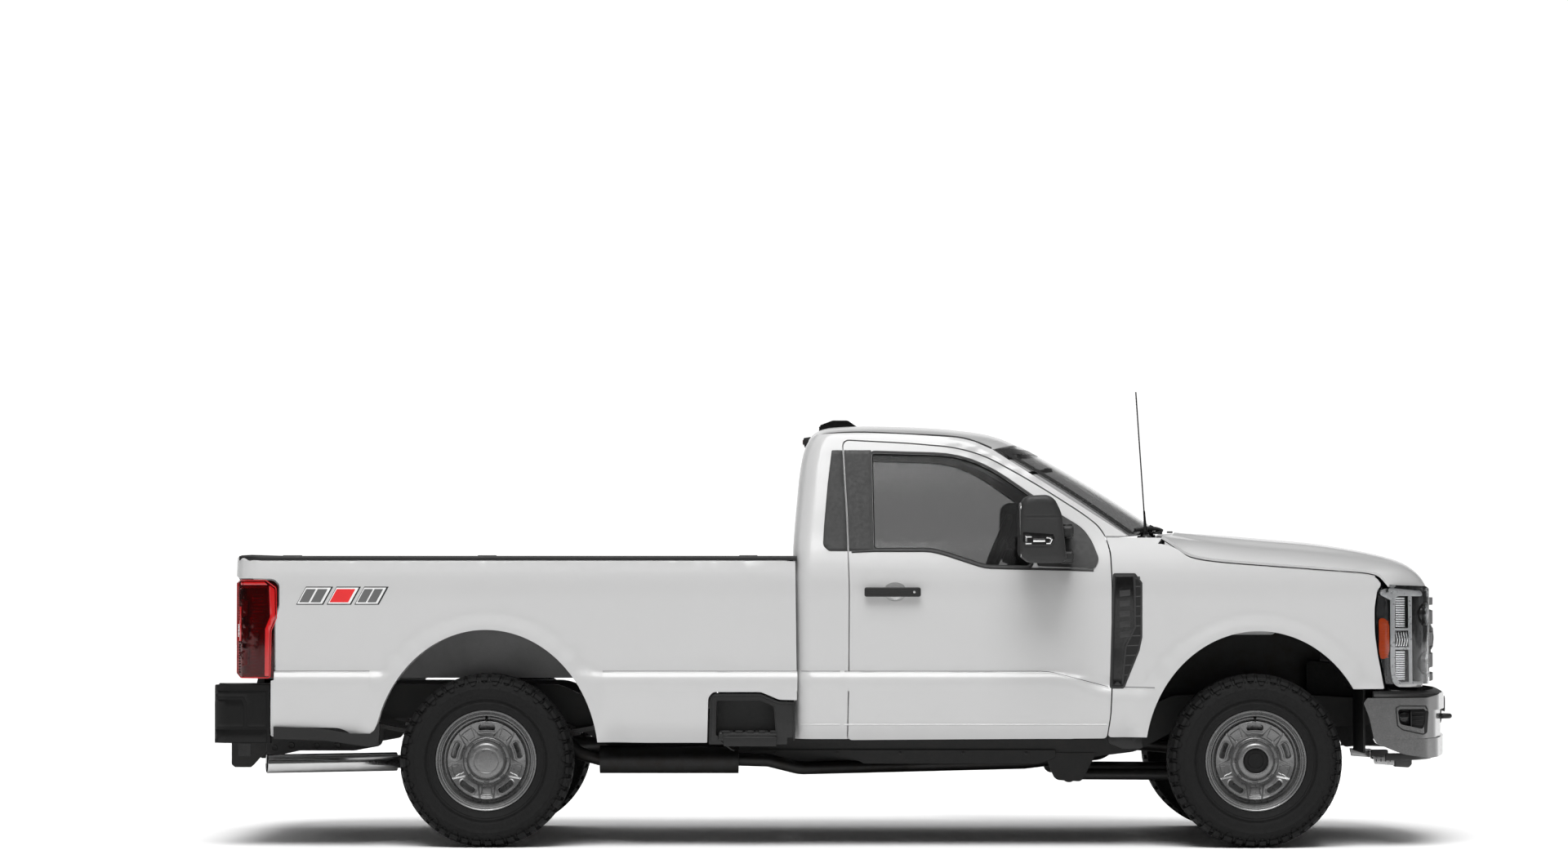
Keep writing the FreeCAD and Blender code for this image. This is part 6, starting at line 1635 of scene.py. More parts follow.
# underseal inside the rear wheelhouses, copied from the panels themselves
M_us = plastic("underseal", g(116), 0.8, 160, 0.5)
us = Piece("wheelhouse_underseal", "underseal")
for nd_, ylo, yhi in (("bed_floor", 0.50, 0.90), ("bed_side_right", 0.905, 0.985), ("bed_side_left", 0.905, 0.985)):
    me_ = NODES[nd_].data
    bmu = bmesh.new()
    keep = {}
    for p_ in me_.polygons:
        c_, n_ = p_.center, p_.normal
        sg_ = 1 if c_.y > 0 else -1
        if not (-2.34 < c_.x < -0.95 and ylo < abs(c_.y) < yhi and c_.z < 1.072):
            continue
        if nd_ == "bed_floor":
            if not (n_.y * sg_ > 0.15 or n_.z < -0.25) and not (abs(n_.x) > 0.5 and n_.x * (c_.x + 1.646) < 0 and c_.z > 0.83):
                continue
        elif not (n_.y * sg_ < -0.3):
            continue
        f_ = []
        for vi in p_.vertices:
            if vi not in keep:
                keep[vi] = bmu.verts.new(me_.vertices[vi].co)
            f_.append(keep[vi])
        try:
            bmu.faces.new(f_)
        except ValueError:
            pass
    bmu.normal_update()
    for v_ in bmu.verts:
        n_ = Vector((0, 0, 0))
        for f_ in v_.link_faces:
            n_ += f_.normal * f_.calc_area()
        if n_.length > 1e-9:
            v_.co += n_.normalized() * 0.0009
    tmp_ = bpy.data.meshes.new("t")
    bmu.to_mesh(tmp_)
    bmu.free()
    us.bm.from_mesh(tmp_)
    bpy.data.meshes.remove(tmp_)
us.done("bed_lining")

# ---------------------------------------------------------------- rear quarter: lower strip, bumper, tow bracket
RB = Drop(["rear_bumper"], "y-")
q = Piece("bedside_lower_strip", "trim_black")
LS = [sv(u_, v_, -0.985) for u_, v_ in ((336, 889.5), (380, 891), (410, 894.5), (430, 898), (454, 898), (459, 894), (462.5, 887), (466, 887), (464, 912), (452, 914), (400, 906.5), (336, 904.5))]
yy = [(SIDEB.get(a, b).y if SIDEB.get(a, b) else -0.985) for a, b in LS]
bm = bmesh.new()
yo_ = min(yy) - 0.0035
f0 = [bm.verts.new((p_[0], yo_, p_[1])) for p_ in LS]
f1 = [bm.verts.new((p_[0], yo_ + 0.040, p_[1])) for p_ in LS]
for k in range(len(LS)):
    j = (k + 1) % len(LS)
    bm.faces.new((f0[k], f0[j], f1[j], f1[k]))
bm.faces.new(f0)
bm.faces.new(list(reversed(f1)))
q.add(bm, both=True)
q.done("black_trim")

q = Piece("rear_bumper_step_pad", "trim_black")
q.add(bm_prism([(-2.655, -0.955, .01), (-2.858, -0.955, .03), (-2.905, -0.915, .04), (-2.922, -0.700, .05), (-2.930, -0.300, .10), (-2.930, 0.300, .10), (-2.922, 0.700, .05), (-2.905, 0.915, .04), (-2.858, 0.955, .03), (-2.655, 0.955, .01)][::-1], "z", 0.716, 0.7245, 0.003))
for sg_ in (-1, 1):
    y0_, y1_ = sorted((0.800 * sg_, 0.962 * sg_))
    q.add(bm_prism([(-2.657, y0_, .006), (-2.657, y1_, .006), (-2.856, y1_, .03), (-2.905, (y0_ + y1_) / 2 + 0.02 * sg_, .03), (-2.915, y0_ if sg_ > 0 else y1_, .006)] if sg_ > 0 else [(-2.657, y1_, .006), (-2.657, y0_, .006), (-2.856, y0_, .03), (-2.905, (y0_ + y1_) / 2 - 0.02, .03), (-2.915, y1_, .006)], "z", 0.7585, 0.7655, 0.003))
for k in range(9):
    for sg_ in (-1, 1):
        for r_ in range(4):
            y_ = sg_ * (0.20 + 0.066 * k)
            x_ = -2.690 - 0.048 * r_
            q.add(bm_box(x_ - 0.017, x_ + 0.017, y_ - 0.022, y_ + 0.022, 0.7235, 0.7275, 0.002, 2))
q.done("bumper_black")

q = Piece("rear_bumper_side_panels", "bumper_satin")
RBL = lambda *pts: [(a, b, (p[2] if len(p) > 2 else 3) * 0.004) for (a, b, *_), p in zip(svs(pts, -0.972), pts)]
q.add(bm_patch(RBL((262, 846, 2), (326.5, 846, 1), (326.5, 889.5, 2), (303.5, 889.5, 2), (303.2, 862, 3), (299.5, 852.6, 3), (262, 852.6, 2)), RB, 0.0032, 0.005, 0.02, edge=0.0015), both=True)
q.add(bm_patch(RBL((262, 857, 2), (296, 857, 3), (298.8, 864, 2), (299, 889.5, 2), (262, 889.5, 2)), RB, 0.0018, 0.004, 0.02, edge=0.0015), both=True)
q.add(bm_patch(RBL((259.8, 893.5, 2), (326.8, 893.5, 2), (326.8, 908.5, 2), (262, 908.5, 3)), RB, 0.0046, 0.007, 0.02, edge=0.002), both=True)
q.done("bumper_black")
q = Piece("rear_bumper_bolts", "black_steel")
for y_ in (-0.47, -0.40, 0.40, 0.47):
    q.add(cyl((-2.9385, y_, 0.640), (-1, 0, 0), 0.010, 0.0045, 0.001, 20))
q.add(bm_prism([(-0.26, 0.560, .008), (0.26, 0.560, .008), (0.26, 0.690, .008), (-0.26, 0.690, .008)], "x", -2.9430, -2.9370, 0.002))
q.add(bm_prism([(-0.155, 0.566, .006), (0.155, 0.566, .006), (0.155, 0.684, .006), (-0.155, 0.684, .006)], "x", -2.9455, -2.9420, 0.001))
q.done("bumper_black")
q = Piece("rear_plate_blank", "decal_pale")
q.add(bm_prism([(-0.150, 0.571, .008), (0.150, 0.571, .008), (0.150, 0.679, .008), (-0.150, 0.679, .008)], "x", -2.9465, -2.9450, 0.0004))
q.done("bumper_black")
q = Piece("plate_lamps", "clear_cover")
if "clear_cover" not in M:
    plastic("clear_cover", g(214), 0.1, 200, 0.01)
for y_ in (-0.19, 0.19):
    q.add(bm_box(-2.9455, -2.9380, y_ - 0.022, y_ + 0.022, 0.692, 0.704, 0.002, 2))
q.done("bumper_black")

# tow bracket plates under the bumper, with a square opening and bolt heads, and the safety-chain plate
q = Piece("tow_bracket_plates", "black_steel")
HB = [(-2.888, 0.486), (-2.888, 0.372), (-2.872, 0.358), (-2.795, 0.358), (-2.779, 0.372), (-2.700, 0.462), (-2.600, 0.466), (-2.600, 0.560), (-2.860, 0.560)]
for sg_ in (-1, 1):
    for side in (0,):
        bm = bm_prism([(a, b, .008) for a, b in HB], "y", 0.542, 0.550, 0.0015, 1)
        if sg_ < 0:
            bmesh.ops.transform(bm, matrix=Matrix.Scale(-1, 4, (0, 1, 0)), verts=bm.verts)
        q.add(bm)
    y0_ = 0.5495 * sg_
    for x_, z_ in ((-2.680, 0.500), (-2.640, 0.535), (-2.760, 0.530)):
        q.add(cyl((x_, y0_, z_), (0, sg_, 0), 0.013, 0.010, 0.002, 6))
q.add(bm_prism([(-2.912, 0.452, .004), (-2.862, 0.452, .004), (-2.862, 0.473, .004), (-2.912, 0.473, .004)], "y", -0.135, 0.135, 0.002))
q.done("chassis_black")
q = Piece("tow_bracket_openings", "trim_gloss")
for sg_ in (-1, 1):
    y0_, y1_ = sorted((0.5490 * sg_, 0.5515 * sg_))
    q.add(bm_prism([(-2.858, 0.410, .006), (-2.795, 0.410, .006), (-2.795, 0.472, .006), (-2.858, 0.472, .006)], "y", y0_, y1_, 0.0006, 1))
q.done("chassis_black")
q = Piece("trailer_socket", "trim_black")
q.add(cyl((-2.9300, 0.205, 0.520), (-1, 0, 0), 0.034, 0.016, 0.003, 36))
q.add(bm_box(-2.9470, -2.9440, 0.178, 0.232, 0.500, 0.548, 0.003, 2))
q.add(bm_box(-2.9300, -2.9150, 0.165, 0.245, 0.480, 0.560, 0.004, 2))
q.done("chassis_black")

# bright outer sleeve of the tail pipe, open at the back
q = Piece("tail_pipe_sleeve", "tail_pipe_steel")
pa, pb = Vector((-2.090, -0.6677, 0.3902)), Vector((-2.6865, -0.8318, 0.3860))
dv = pb - pa
L_ = dv.length
q.add(bm_lathe([(0.0432, 0.0), (0.0441, 0.003), (0.0441, L_ - 0.004), (0.0446, L_ - 0.002), (0.0440, L_), (0.0425, L_ + 0.0005), (0.0415, L_ - 0.002), (0.0414, L_ - 0.006), (0.0434, L_ - 0.007)], pa, dv, 56))
q.done("exhaust_steel")

# ---------------------------------------------------------------- side step housing
SS = Drop(["side_steps"], "y-")
q = Piece("side_step_trim", "trim_black")
q.add(bm_trim([(-0.598, 0.500), (-0.594, 0.694, .02), (-0.577, 0.714, .014), (-0.364, 0.714, .014), (-0.280, 0.678, .02), (-0.206, 0.676, .01), (-0.206, 0.50)], SS, 0.009, 0.004, step=0.012), both=True)
q.add(bm_trim([(-0.573, 0.530), (-0.569, 0.691, .008), (-0.366, 0.691, .02), (-0.298, 0.665, .01), (-0.288, 0.53)], SS, 0.006, 0.003, step=0.012), both=True)
for k, (u0, u1) in enumerate(((884, 894), (901, 909), (915, 923), (929, 937), (943, 952))):
    a, b = sv(u0, 894.2, -0.985), sv(u1, 897.0, -0.985)
    q.add(bm_box(a[0], b[0], -0.9885, -0.9820, b[1], a[1], 0.001, 1), both=True)
a, b = sv(886, 901.5, -0.985), sv(951, 913.5, -0.985)
q.add(bm_box(a[0], b[0], -0.9920, -0.9800, b[1], a[1], 0.004, 3), both=True)
for k in range(11):
    x_ = -0.545 + 0.0235 * k
    q.add(bm_box(x_ - 0.0075, x_ + 0.0075, -0.975, -0.895, 0.5395, 0.5455, 0.002, 2), both=True)
q.add(bm_trim([(-0.560, 0.5060, 0), (-0.500, 0.4600, 0), (-0.440, 0.4350, 0)], SS, 0.008, 0.003, step=0.02), both=True)
q.done("black_trim")
q = Piece("side_step_edge", "trim_mirror")
a, b = sv(886, 897.4, -0.985), sv(951, 900.6, -0.985)
q.add(bm_box(a[0], b[0], -0.9895, -0.9820, b[1], a[1], 0.0015, 2), both=True)
q.done("black_trim")

# flap behind the front wheel, at the end of the sill
q = Piece("sill_end_flaps", "trim_black")
q.add(bm_prism([(1.262, 0.5440, .01), (1.330, 0.5440, .01), (1.4180, 0.5160, .02), (1.4280, 0.4640, .012), (1.3350, 0.4600, .012), (1.262, 0.4900, .02)], "y", -0.968, -0.925, 0.004), both=True)
for k in range(3):
    q.add(cyl((1.292 + 0.045 * k, -0.967, 0.520 - 0.006 * k), (0, -1, 0), 0.008, 0.004, 0.001, 16), both=True)
q.done("black_trim")

# ---------------------------------------------------------------- mirrors
MR = Drop(["mirror_right"], "y-", hi=-1.20)
q = Piece("mirror_trim_right", "trim_mirror", "door_right")
top_ = [(a, b, 0.012) for a, b, *_ in svs([(1256.5, 611.0), (1284, 608.4), (1292.6, 613.4), (1298.4, 626), (1300.4, 631.6), (1252.6, 631.6)], -1.338)]
low_ = [(a, b, 0.012) for a, b, *_ in svs([(1252.2, 634.0), (1300.6, 634.0), (1302.0, 655), (1304.2, 683), (1298, 686), (1252.8, 683)], -1.338)]
q.add(bm_patch(top_, MR, 0.0026, 0.004, 0.015, edge=0.001))
q.add(bm_patch(low_, MR, 0.0022, 0.004, 0.015, edge=0.001))
q.done("mirror_black", twin="door_left", name2="mirror_trim_left")
q = Piece("mirror_lamp_bezel_right", "trim_gloss", "door_right")
lamp_ = lambda g_: [(a, b, 0.006) for a, b, *_ in svs([(1253.6 - g_, 652.6 - g_), (1288.6 + g_, 655.0 - g_), (1290.6 + g_, 660), (1287.6 + g_, 668.0 + g_), (1256 - g_, 668.6 + g_), (1253.6 - g_, 664)], -1.338)]
q.add(bm_patch(lamp_(0.8), MR, 0.0052, 0.005, 0.012, edge=0.0012))
q.done("mirror_black", twin="door_left", name2="mirror_lamp_bezel_left")
q = Piece("mirror_lamp_right", "reflector", "door_right")
for pts in ([(1255.5, 655.5), (1263.0, 656.2), (1263.0, 658.2), (1257.6, 658.2), (1257.6, 664.2), (1263.0, 664.2), (1263.0, 666.3), (1255.6, 666.6)], [(1281, 657.2), (1287.4, 657.6), (1288.8, 660.4), (1286.2, 666.2), (1281, 666.3), (1281, 664.2), (1284.8, 663.8), (1286.0, 660.6), (1284.6, 659.4), (1281, 659.2)], [(1265, 659.2), (1279.5, 659.8), (1279.5, 663.6), (1265, 663.8)]):
    q.add(bm_patch([(a, b, 0.001) for a, b, *_ in svs(pts, -1.338)], MR, 0.0064, 0.002, 0.012, edge=0.0004))
q.done("mirror_black", twin="door_left", name2="mirror_lamp_left")
q = Piece("mirror_glass_right", "mirror_face", "door_right")
metal("mirror_face", g(210), 0.03, 1.0, bump=0.0)
q.mat = "mirror_face"
q.add(bm_prism([(-1.3180, 1.4560, .03), (-1.1250, 1.4560, .03), (-1.1250, 1.6100, .03), (-1.3120, 1.6100, .05)], "x", 0.8405, 0.8440, 0.001, 1))
q.add(bm_prism([(-1.3180, 1.3560, .03), (-1.1250, 1.3560, .03), (-1.1250, 1.4440, .02), (-1.3180, 1.4440, .02)], "x", 0.8405, 0.8440, 0.001, 1))
q.done("mirror_black", twin="door_left", name2="mirror_glass_left")
q = Piece("mirror_arm_trim_right", "trim_black", "door_right")
for z0_, z1_ in ((1.447, 1.507), (1.330, 1.390)):
    for k in range(4):
        y_ = -1.070 + 0.022 * k
        q.add(bm_prism([(1.030, z0_ + .003, .010), (1.097, z0_ + .003, .010), (1.097, z1_ - .003, .010), (1.030, z1_ - .003, .010)], "y", y_ - 0.004, y_ + 0.004, 0.002, 2))
    q.add(cyl((1.0635, -1.104, z0_ - 0.004), (0, 0, 1), 0.026, z1_ - z0_ + 0.008, 0.004, 32))
q.done("mirror_black", twin="door_left", name2="mirror_arm_trim_left")

# ---------------------------------------------------------------- antenna wire coil and foot
q = Piece("antenna_coil", "trim_gloss")
A0, A1 = Vector((1.4490, -0.845, 1.520)), Vector((1.4033, -0.845, 2.120))
A0 = Vector((1.4490, -0.845, 1.448)).lerp(A1, 0.11)
ax_ = (A1 - A0).normalized()
sx_, sy_ = ax_.cross(Vector((0, 1, 0))).normalized(), Vector((0, 1, 0))
pts = []
turns = 40
for i in range(turns * 8 + 1):
    w_ = 2 * math.pi * i / 8
    pts.append(A0.lerp(A1, i / (turns * 8)) + (sx_ * math.cos(w_) + sy_ * math.sin(w_)) * 0.0026)
q.add(bm_sweep(pts, circle(0.0009, 5)))
q.add(bm_lathe([(0.026, 0.0), (0.024, 0.006), (0.0125, 0.016), (0.0085, 0.034), (0.0058, 0.080), (0.0046, 0.128), (0.0, 0.130)], (1.4496, -0.845, 1.4475), (A1 - A0), 28))
q.done("black_trim")

# ---------------------------------------------------------------- windscreen: black border, wipers, cowl slots
WSX = Drop(["cab_glass"], "x+", lo=0.5)
plastic("glass_frit", g(10), 0.22, 400, 0.01)


def edge_y(z, drop=WSX):
    lo_, hi_ = 0.3, 0.95
    for _ in range(18):
        m_ = (lo_ + hi_) / 2
        if drop.at(-m_, z) is not None:
            lo_ = m_
        else:
            hi_ = m_
    return lo_


q = Piece("windscreen_border", "glass_frit")
bm = bmesh.new()
rows = []
for i in range(30):
    z = 1.468 + (1.872 - 1.468) * i / 29
    ye = edge_y(z)
    row = []
    for d in (0.002, 0.022, 0.045, 0.066):
        h = WSX.at(-(ye - d), z)
        row.append(h + Vector((0.0012, -0.0006, 0.0010)) if h is not None else None)
    if None not in row:
        rows.append([bm.verts.new(v) for v in row])
for a, b in zip(rows, rows[1:]):
    for k in range(3):
        bm.faces.new((a[k], a[k + 1], b[k + 1], b[k]))
q.add(bm, both=True)
bm = bmesh.new()
for z_rows in ((1.462, 1.475, 1.490), (1.848, 1.862, 1.874)):
    rows = []
    for i in range(41):
        w_ = -1 + 2 * i / 40
        row = []
        for z in z_rows:
            ye = edge_y(z) - 0.004
            h = WSX.at(w_ * ye, z)
            row.append(h + Vector((0.0012, 0, 0.0010)) if h is not None else None)
        if None not in row:
            rows.append([bm.verts.new(v) for v in row])
    for a, b in zip(rows, rows[1:]):
        for k in range(2):
            bm.faces.new((a[k], a[k + 1], b[k + 1], b[k]))
q.add(bm)
q.done("glass")
q = Piece("wipers", "trim_black")
WSZ = Drop(["cab_glass", "cowl"], "z+")
for yc, sg_ in ((0.52, 1), (-0.20, 1)):
    line = []
    for i in range(15):
        y_ = yc - 0.02 - 0.56 * i / 14 * 1.0
        h = WSX.at(y_, 1.474 + 0.012 * math.sin(math.pi * (i / 14)))
        if h is not None:
            line.append(h + Vector((0.005, 0, 0.008)))
    if len(line) > 3:
        q.add(bm_sweep(line, [(-0.004, -0.006), (0.004, -0.006), (0.0025, 0.002), (0.007, 0.006), (0.004, 0.012), (-0.004, 0.012), (-0.007, 0.006), (-0.0025, 0.002)], (0.5, 0, 0.85)))
    p0 = Vector((1.520, yc, 1.452))
    mid = line[len(line) // 2] + Vector((0.002, 0, 0.013))
    arm = catmull([p0 + Vector((0, 0, 0.010)), p0.lerp(mid, 0.35) + Vector((0, 0, 0.010)), mid], 6)
    q.add(bm_sweep(arm, [(-0.010, -0.004), (0.010, -0.004), (0.008, 0.004), (-0.008, 0.004)], (0.4, 0, 0.9)))
    q.add(cyl((1.520, yc, 1.444), (0, 0, 1), 0.020, 0.024, 0.005, 28))
q.done("black_trim")
q = Piece("cowl_slots", "trim_gloss")
for k in range(52):
    y_ = -0.765 + 0.030 * k
    if abs(y_ - 0.52) < 0.04 or abs(y_ + 0.20) < 0.04:
        continue
    xs_ = 1.500 - 0.10 * y_ * y_
    h = WSZ.get(xs_ + 0.045, y_)
    if h is not None:
        q.add(bm_box(xs_ + 0.018, xs_ + 0.074, y_ - 0.006, y_ + 0.006, h.z - 0.002, h.z + 0.0022, 0.001, 1))
q.done("black_trim")
q = Piece("washer_nozzles", "trim_black", "hood")
HZ = Drop(["hood"], "z+")
for y_ in (-0.34, 0.34):
    h = HZ.get(1.600, y_)
    if h is not None:
        q.add(bm_box(1.585, 1.612, y_ - 0.014, y_ + 0.014, h.z - 0.001, h.z + 0.007, 0.003, 3))
q.done("body_paint")

# rear window: black border, sliding-pane frames
plastic("frame_black", g(12), 0.4, 300, 0.05)
q = Piece("rear_window_frames", "frame_black")
BG = Drop(["cab_glass", "cab_back"], "x-")
for pts in ([(-0.628, 1.474, .04), (0.628, 1.474, .04), (0.586, 1.788, .05), (-0.586, 1.788, .05)],):
    line = densify(rpoly(pts, True, 6), 0.03, True)
    path, ups = [], []
    for p_ in line:
        q_, n_ = BG.normal(p_.x, p_.y)
        if q_ is not None:
            path.append(q_)
            ups.append(Vector((-1, 0, 0.1)))
    q.add(bm_sweep(path, half_round(0.020, 0.003), ups, True))
for y_ in (-0.215, 0.215):
    path = []
    for i in range(9):
        z = 1.478 + 0.308 * i / 8
        q_ = BG.get(y_, z)
        if q_ is not None:
            path.append(q_)
    q.add(bm_sweep(path, half_round(0.016, 0.003), (-1, 0, 0.1)))
q.done("glass")

# body-coloured strips under the side joints of the hood
q = Piece("hood_side_seals", "paint_white")
HS_, FS_ = Drop(["hood"], "y-"), Drop(["fender_right"], "y-")
rings = []
bm = bmesh.new()
for i in range(37):
    x_ = 1.530 + (2.600 - 1.530) * i / 36
    zf = zh = None
    z_ = 1.20
    while z_ < 1.47:
        if FS_.at(x_, z_) is not None:
            zf = z_
        if zh is None and HS_.at(x_, z_) is not None:
            zh = z_
        z_ += 0.001
    if zf is None or zh is None or not 0.0 < zh - zf < 0.03:
        continue
    yf = FS_.at(x_, zf - 0.004)
    yf = (yf.y if yf is not None else -0.97)
    rings.append([bm.verts.new((x_, yf + 0.0035, zf - 0.008)), bm.verts.new((x_, yf + 0.0035, zh - 0.0055)), bm.verts.new((x_, yf + 0.010, zh - 0.0055)), bm.verts.new((x_, yf + 0.010, zf - 0.008))])
for a, b in zip(rings, rings[1:]):
    for k in range(4):
        bm.faces.new((a[k], a[(k + 1) % 4], b[(k + 1) % 4], b[k]))
if len(rings) > 2:
    bm.faces.new(rings[0])
    bm.faces.new(list(reversed(rings[-1])))
    q.add(bm, both=True)
    q.done("body_paint")

# closing panels between the front wheel wells and the bumper
q = Piece("front_air_panels", "liner_and_slot_shade_black")
q.add(bm_prism([(2.240, 0.870, .03), (2.590, 0.820, .02), (2.610, 0.700, .02), (2.600, 0.470, .03), (2.420, 0.450, .03), (2.360, 0.560, .04), (2.250, 0.640, .04)], "y", -0.432, -0.424, 0.002, 1), both=True)
q.done("chassis_black")

# rear frame end plates behind the tail pipe, with bolt heads and round openings
q = Piece("frame_end_plates", "black_steel")
FE = [(-2.719, 0.560, .01), (-2.719, 0.424, .02), (-2.640, 0.420, .02), (-2.560, 0.438, .02), (-2.300, 0.438, .03), (-2.170, 0.462, .03), (-2.150, 0.560, .01)]
q.add(bm_prism(FE, "y", -0.576, -0.569, 0.0015, 1), both=True)
for x_, z_ in ((-2.680, 0.450), (-2.600, 0.462), (-2.480, 0.460), (-2.380, 0.462), (-2.260, 0.470)):
    q.add(bm_lathe([(0.008, 0.0), (0.008, 0.003), (0.013, 0.004), (0.015, 0.0)], (x_, -0.576, z_), (0, -1, 0), 20), both=True)
q.done("chassis_black")
# bright outer rim and front band of the tail lamps
m_ = plastic("red_bright", g((176, 14, 16)), 0.12, 100, 0.01)
m_.set(Coat_Weight=1.0, Coat_Roughness=0.04)
q = Piece("taillamp_rims", "red_bright")
q.add(bm_trim([(a, b, 0.012) for a, b, *_ in svs([(290, 713), (293, 710.6), (325.5, 710.6), (338.2, 720), (338.8, 756.5), (332.2, 772.5), (331.2, 830), (294.5, 830), (290.6, 826)], -0.985)], TLY, 0.0050, 0.0020, closed=True, lift=0.0, step=0.012), both=True)
q.add(bm_patch([(a, b, 0.004) for a, b, *_ in svs([(329.5, 716), (336.6, 721.6), (337.2, 756), (330.8, 772), (330.0, 828), (324.5, 828), (325.0, 770), (331.0, 755)], -0.985)], TLY, 0.0012, 0.003, 0.012, edge=0.0006), both=True)
q.add(bm_patch([(a, b, 0.002) for a, b, *_ in svs([(291.4, 743), (294.2, 743), (294.2, 785), (291.6, 785)], -0.985)], TLY, 0.0012, 0.003, 0.012, edge=0.0006), both=True)
q.add(bm_patch([(a, b, 0.002) for a, b, *_ in svs([(294, 712.6), (324, 712.6), (328, 716.4), (294, 716.4)], -0.985)], TLY, 0.0012, 0.003, 0.02, edge=0.0006), both=True)
q.done("tail_red")

# heat shields under the frame beside the front pipe
q = Piece("frame_heat_shields", "black_steel")
q.add(bm_prism([(-0.420, 0.402, .004), (-0.380, 0.374, .02), (0.960, 0.372, .02), (1.040, 0.402, .01), (1.040, 0.440, .004), (-0.420, 0.440, .004)], "y", -0.493, -0.487, 0.0015, 1))
for k in range(5):
    q.add(cyl((-0.30 + 0.30 * k, -0.493, 0.424), (0, -1, 0), 0.009, 0.005, 0.001, 6))
q.done("chassis_black")


# ================================================================ interior
plastic("dash_trim", g(58), 0.5, 600, 0.12)
plastic("screen_glass", g(9), 0.06, 60, 0.0)
plastic("belt_web", g(24), 0.8, 900, 0.3)
fabric("headliner", g(150))
fabric("seat_piping", g(38))
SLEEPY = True


def soft_pad(name, bm, voxel=0.012, pressure=4.0, cap=0.024, replaces=()):
    """Closed slightly small form -> swollen padded cushion."""
    me = bpy.data.meshes.new(name)
    bmesh.ops.recalc_face_normals(bm, faces=bm.faces)
    bm.to_mesh(me)
    bm.free()
    o = bpy.data.objects.new(name, me)
    SC.collection.objects.link(o)
    r = o.modifiers.new("r", "REMESH")
    r.mode = "VOXEL"
    r.voxel_size = voxel
    dg = bpy.context.evaluated_depsgraph_get()
    base = bpy.data.meshes.new_from_object(o.evaluated_get(dg))
    o.modifiers.clear()
    o.data = base
    if SLEEPY:
        rest = [v.co.copy() for v in base.vertices]
        c = o.modifiers.new("c", "CLOTH")
        c.settings.quality = 4
        c.settings.use_pressure = True
        c.settings.uniform_pressure_force = pressure
        c.settings.effector_weights.gravity = 0.0
        c.settings.tension_stiffness = 12
        c.settings.compression_stiffness = 12
        c.settings.mass = 0.35
        c.point_cache.frame_start = 1
        c.point_cache.frame_end = 20
        for f in range(1, 21):
            SC.frame_set(f)
        dg = bpy.context.evaluated_depsgraph_get()
        ev = bpy.data.meshes.new_from_object(o.evaluated_get(dg))
        o.modifiers.clear()
        mid = sum((v.co for v in ev.vertices), Vector()) / len(ev.vertices) - sum(rest, Vector()) / len(rest)
        for v, a in zip(ev.vertices, rest):
            d = v.co - a - mid
            if d.length > cap:
                d *= cap / d.length
            v.co = a + d
        o.data = ev
        SC.frame_set(1)
    s = o.modifiers.new("s", "SUBSURF")
    s.levels = s.render_levels = 1
    dg = bpy.context.evaluated_depsgraph_get()
    fin = bpy.data.meshes.new_from_object(o.evaluated_get(dg))
    o.modifiers.clear()
    o.data = fin
    fin.materials.clear()
    fin.materials.append(M["seat_fabric"])
    for p in fin.polygons:
        p.use_smooth = True
    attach(o, "chassis")
    for n_ in replaces:
        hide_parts(n_)
    MADE.append(o)
    return o


def twin_pad(o, name):
    me = o.data.copy()
    me.transform(Matrix.Scale(-1, 4, (0, 1, 0)))
    me.flip_normals()
    t = bpy.data.objects.new(name, me)
    SC.collection.objects.link(t)
    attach(t, "chassis")
    MADE.append(t)
    return t


class MeshDrop(Drop):
    def __init__(self, obs, way):
        vs, fs = [], []
        for o in obs:
            k = len(vs)
            vs += [v.co.copy() for v in o.data.vertices]
            fs += [tuple(k + i for i in p.vertices) for p in o.data.polygons]
        self.t = BVHTree.FromPolygons(vs, fs)
        self.ax = "xyz".index(way[0])
        self.sg = 1 if way[1] == "+" else -1
        self.lo = self.hi = None


CUSH = [(0.158, 0.925, .03), (0.672, 0.925, .05), (0.676, 1.020, .05), (0.640, 1.036, .08), (0.40, 1.022, .2), (0.200, 1.016, .05), (0.158, 1.010, .03)]
BACK = [(0.126, 1.050, .04), (0.238, 1.042, .04), (0.220, 1.150, .2), (0.176, 1.330, .3), (0.118, 1.575, .04), (0.044, 1.575, .04)]
HEAD = [(0.030, 1.618, .03), (0.098, 1.612, .03), (0.100, 1.735, .03), (0.034, 1.745, .03)]
c_r = soft_pad("seat_cushion_right", bm_prism(CUSH, "y", -0.676, -0.190, 0.020, 3), cap=0.022, replaces=("bench_seat",))
c_l = twin_pad(c_r, "seat_cushion_left")
c_m = soft_pad("seat_cushion_middle", bm_prism(CUSH, "y", -0.168, 0.168, 0.020, 3), cap=0.018)
b_r = soft_pad("seat_back_right", bm_prism(BACK, "y", -0.676, -0.190, 0.020, 3), cap=0.020)
b_l = twin_pad(b_r, "seat_back_left")
b_m = soft_pad("seat_back_middle", bm_prism(BACK, "y", -0.168, 0.168, 0.018, 3), cap=0.016)
h_r = soft_pad("head_restraint_right", bm_prism(HEAD, "y", -0.538, -0.322, 0.020, 3), voxel=0.009, cap=0.012)
h_l = twin_pad(h_r, "head_restraint_left")
# seams and sewn channels
q = Piece("seat_seams", "seat_piping")
TOPD = MeshDrop([c_r, c_m, c_l], "z+")
BKD = MeshDrop([b_r, b_m, b_l], "x+")


def seam(drop, pts, r=0.0030, closed=False, step=0.02):
    line = densify(rpoly(pts, closed, 6), step, closed)
    path = []
    for p_ in line:
        h_ = drop.at(p_.x, p_.y)
        if h_ is not None:
            path.append(h_)
    if len(path) > 3:
        q.add(bm_sweep(path, circle(r, 6), (0, 0, 1) if drop.ax == 2 else (1, 0, 0.1), closed))


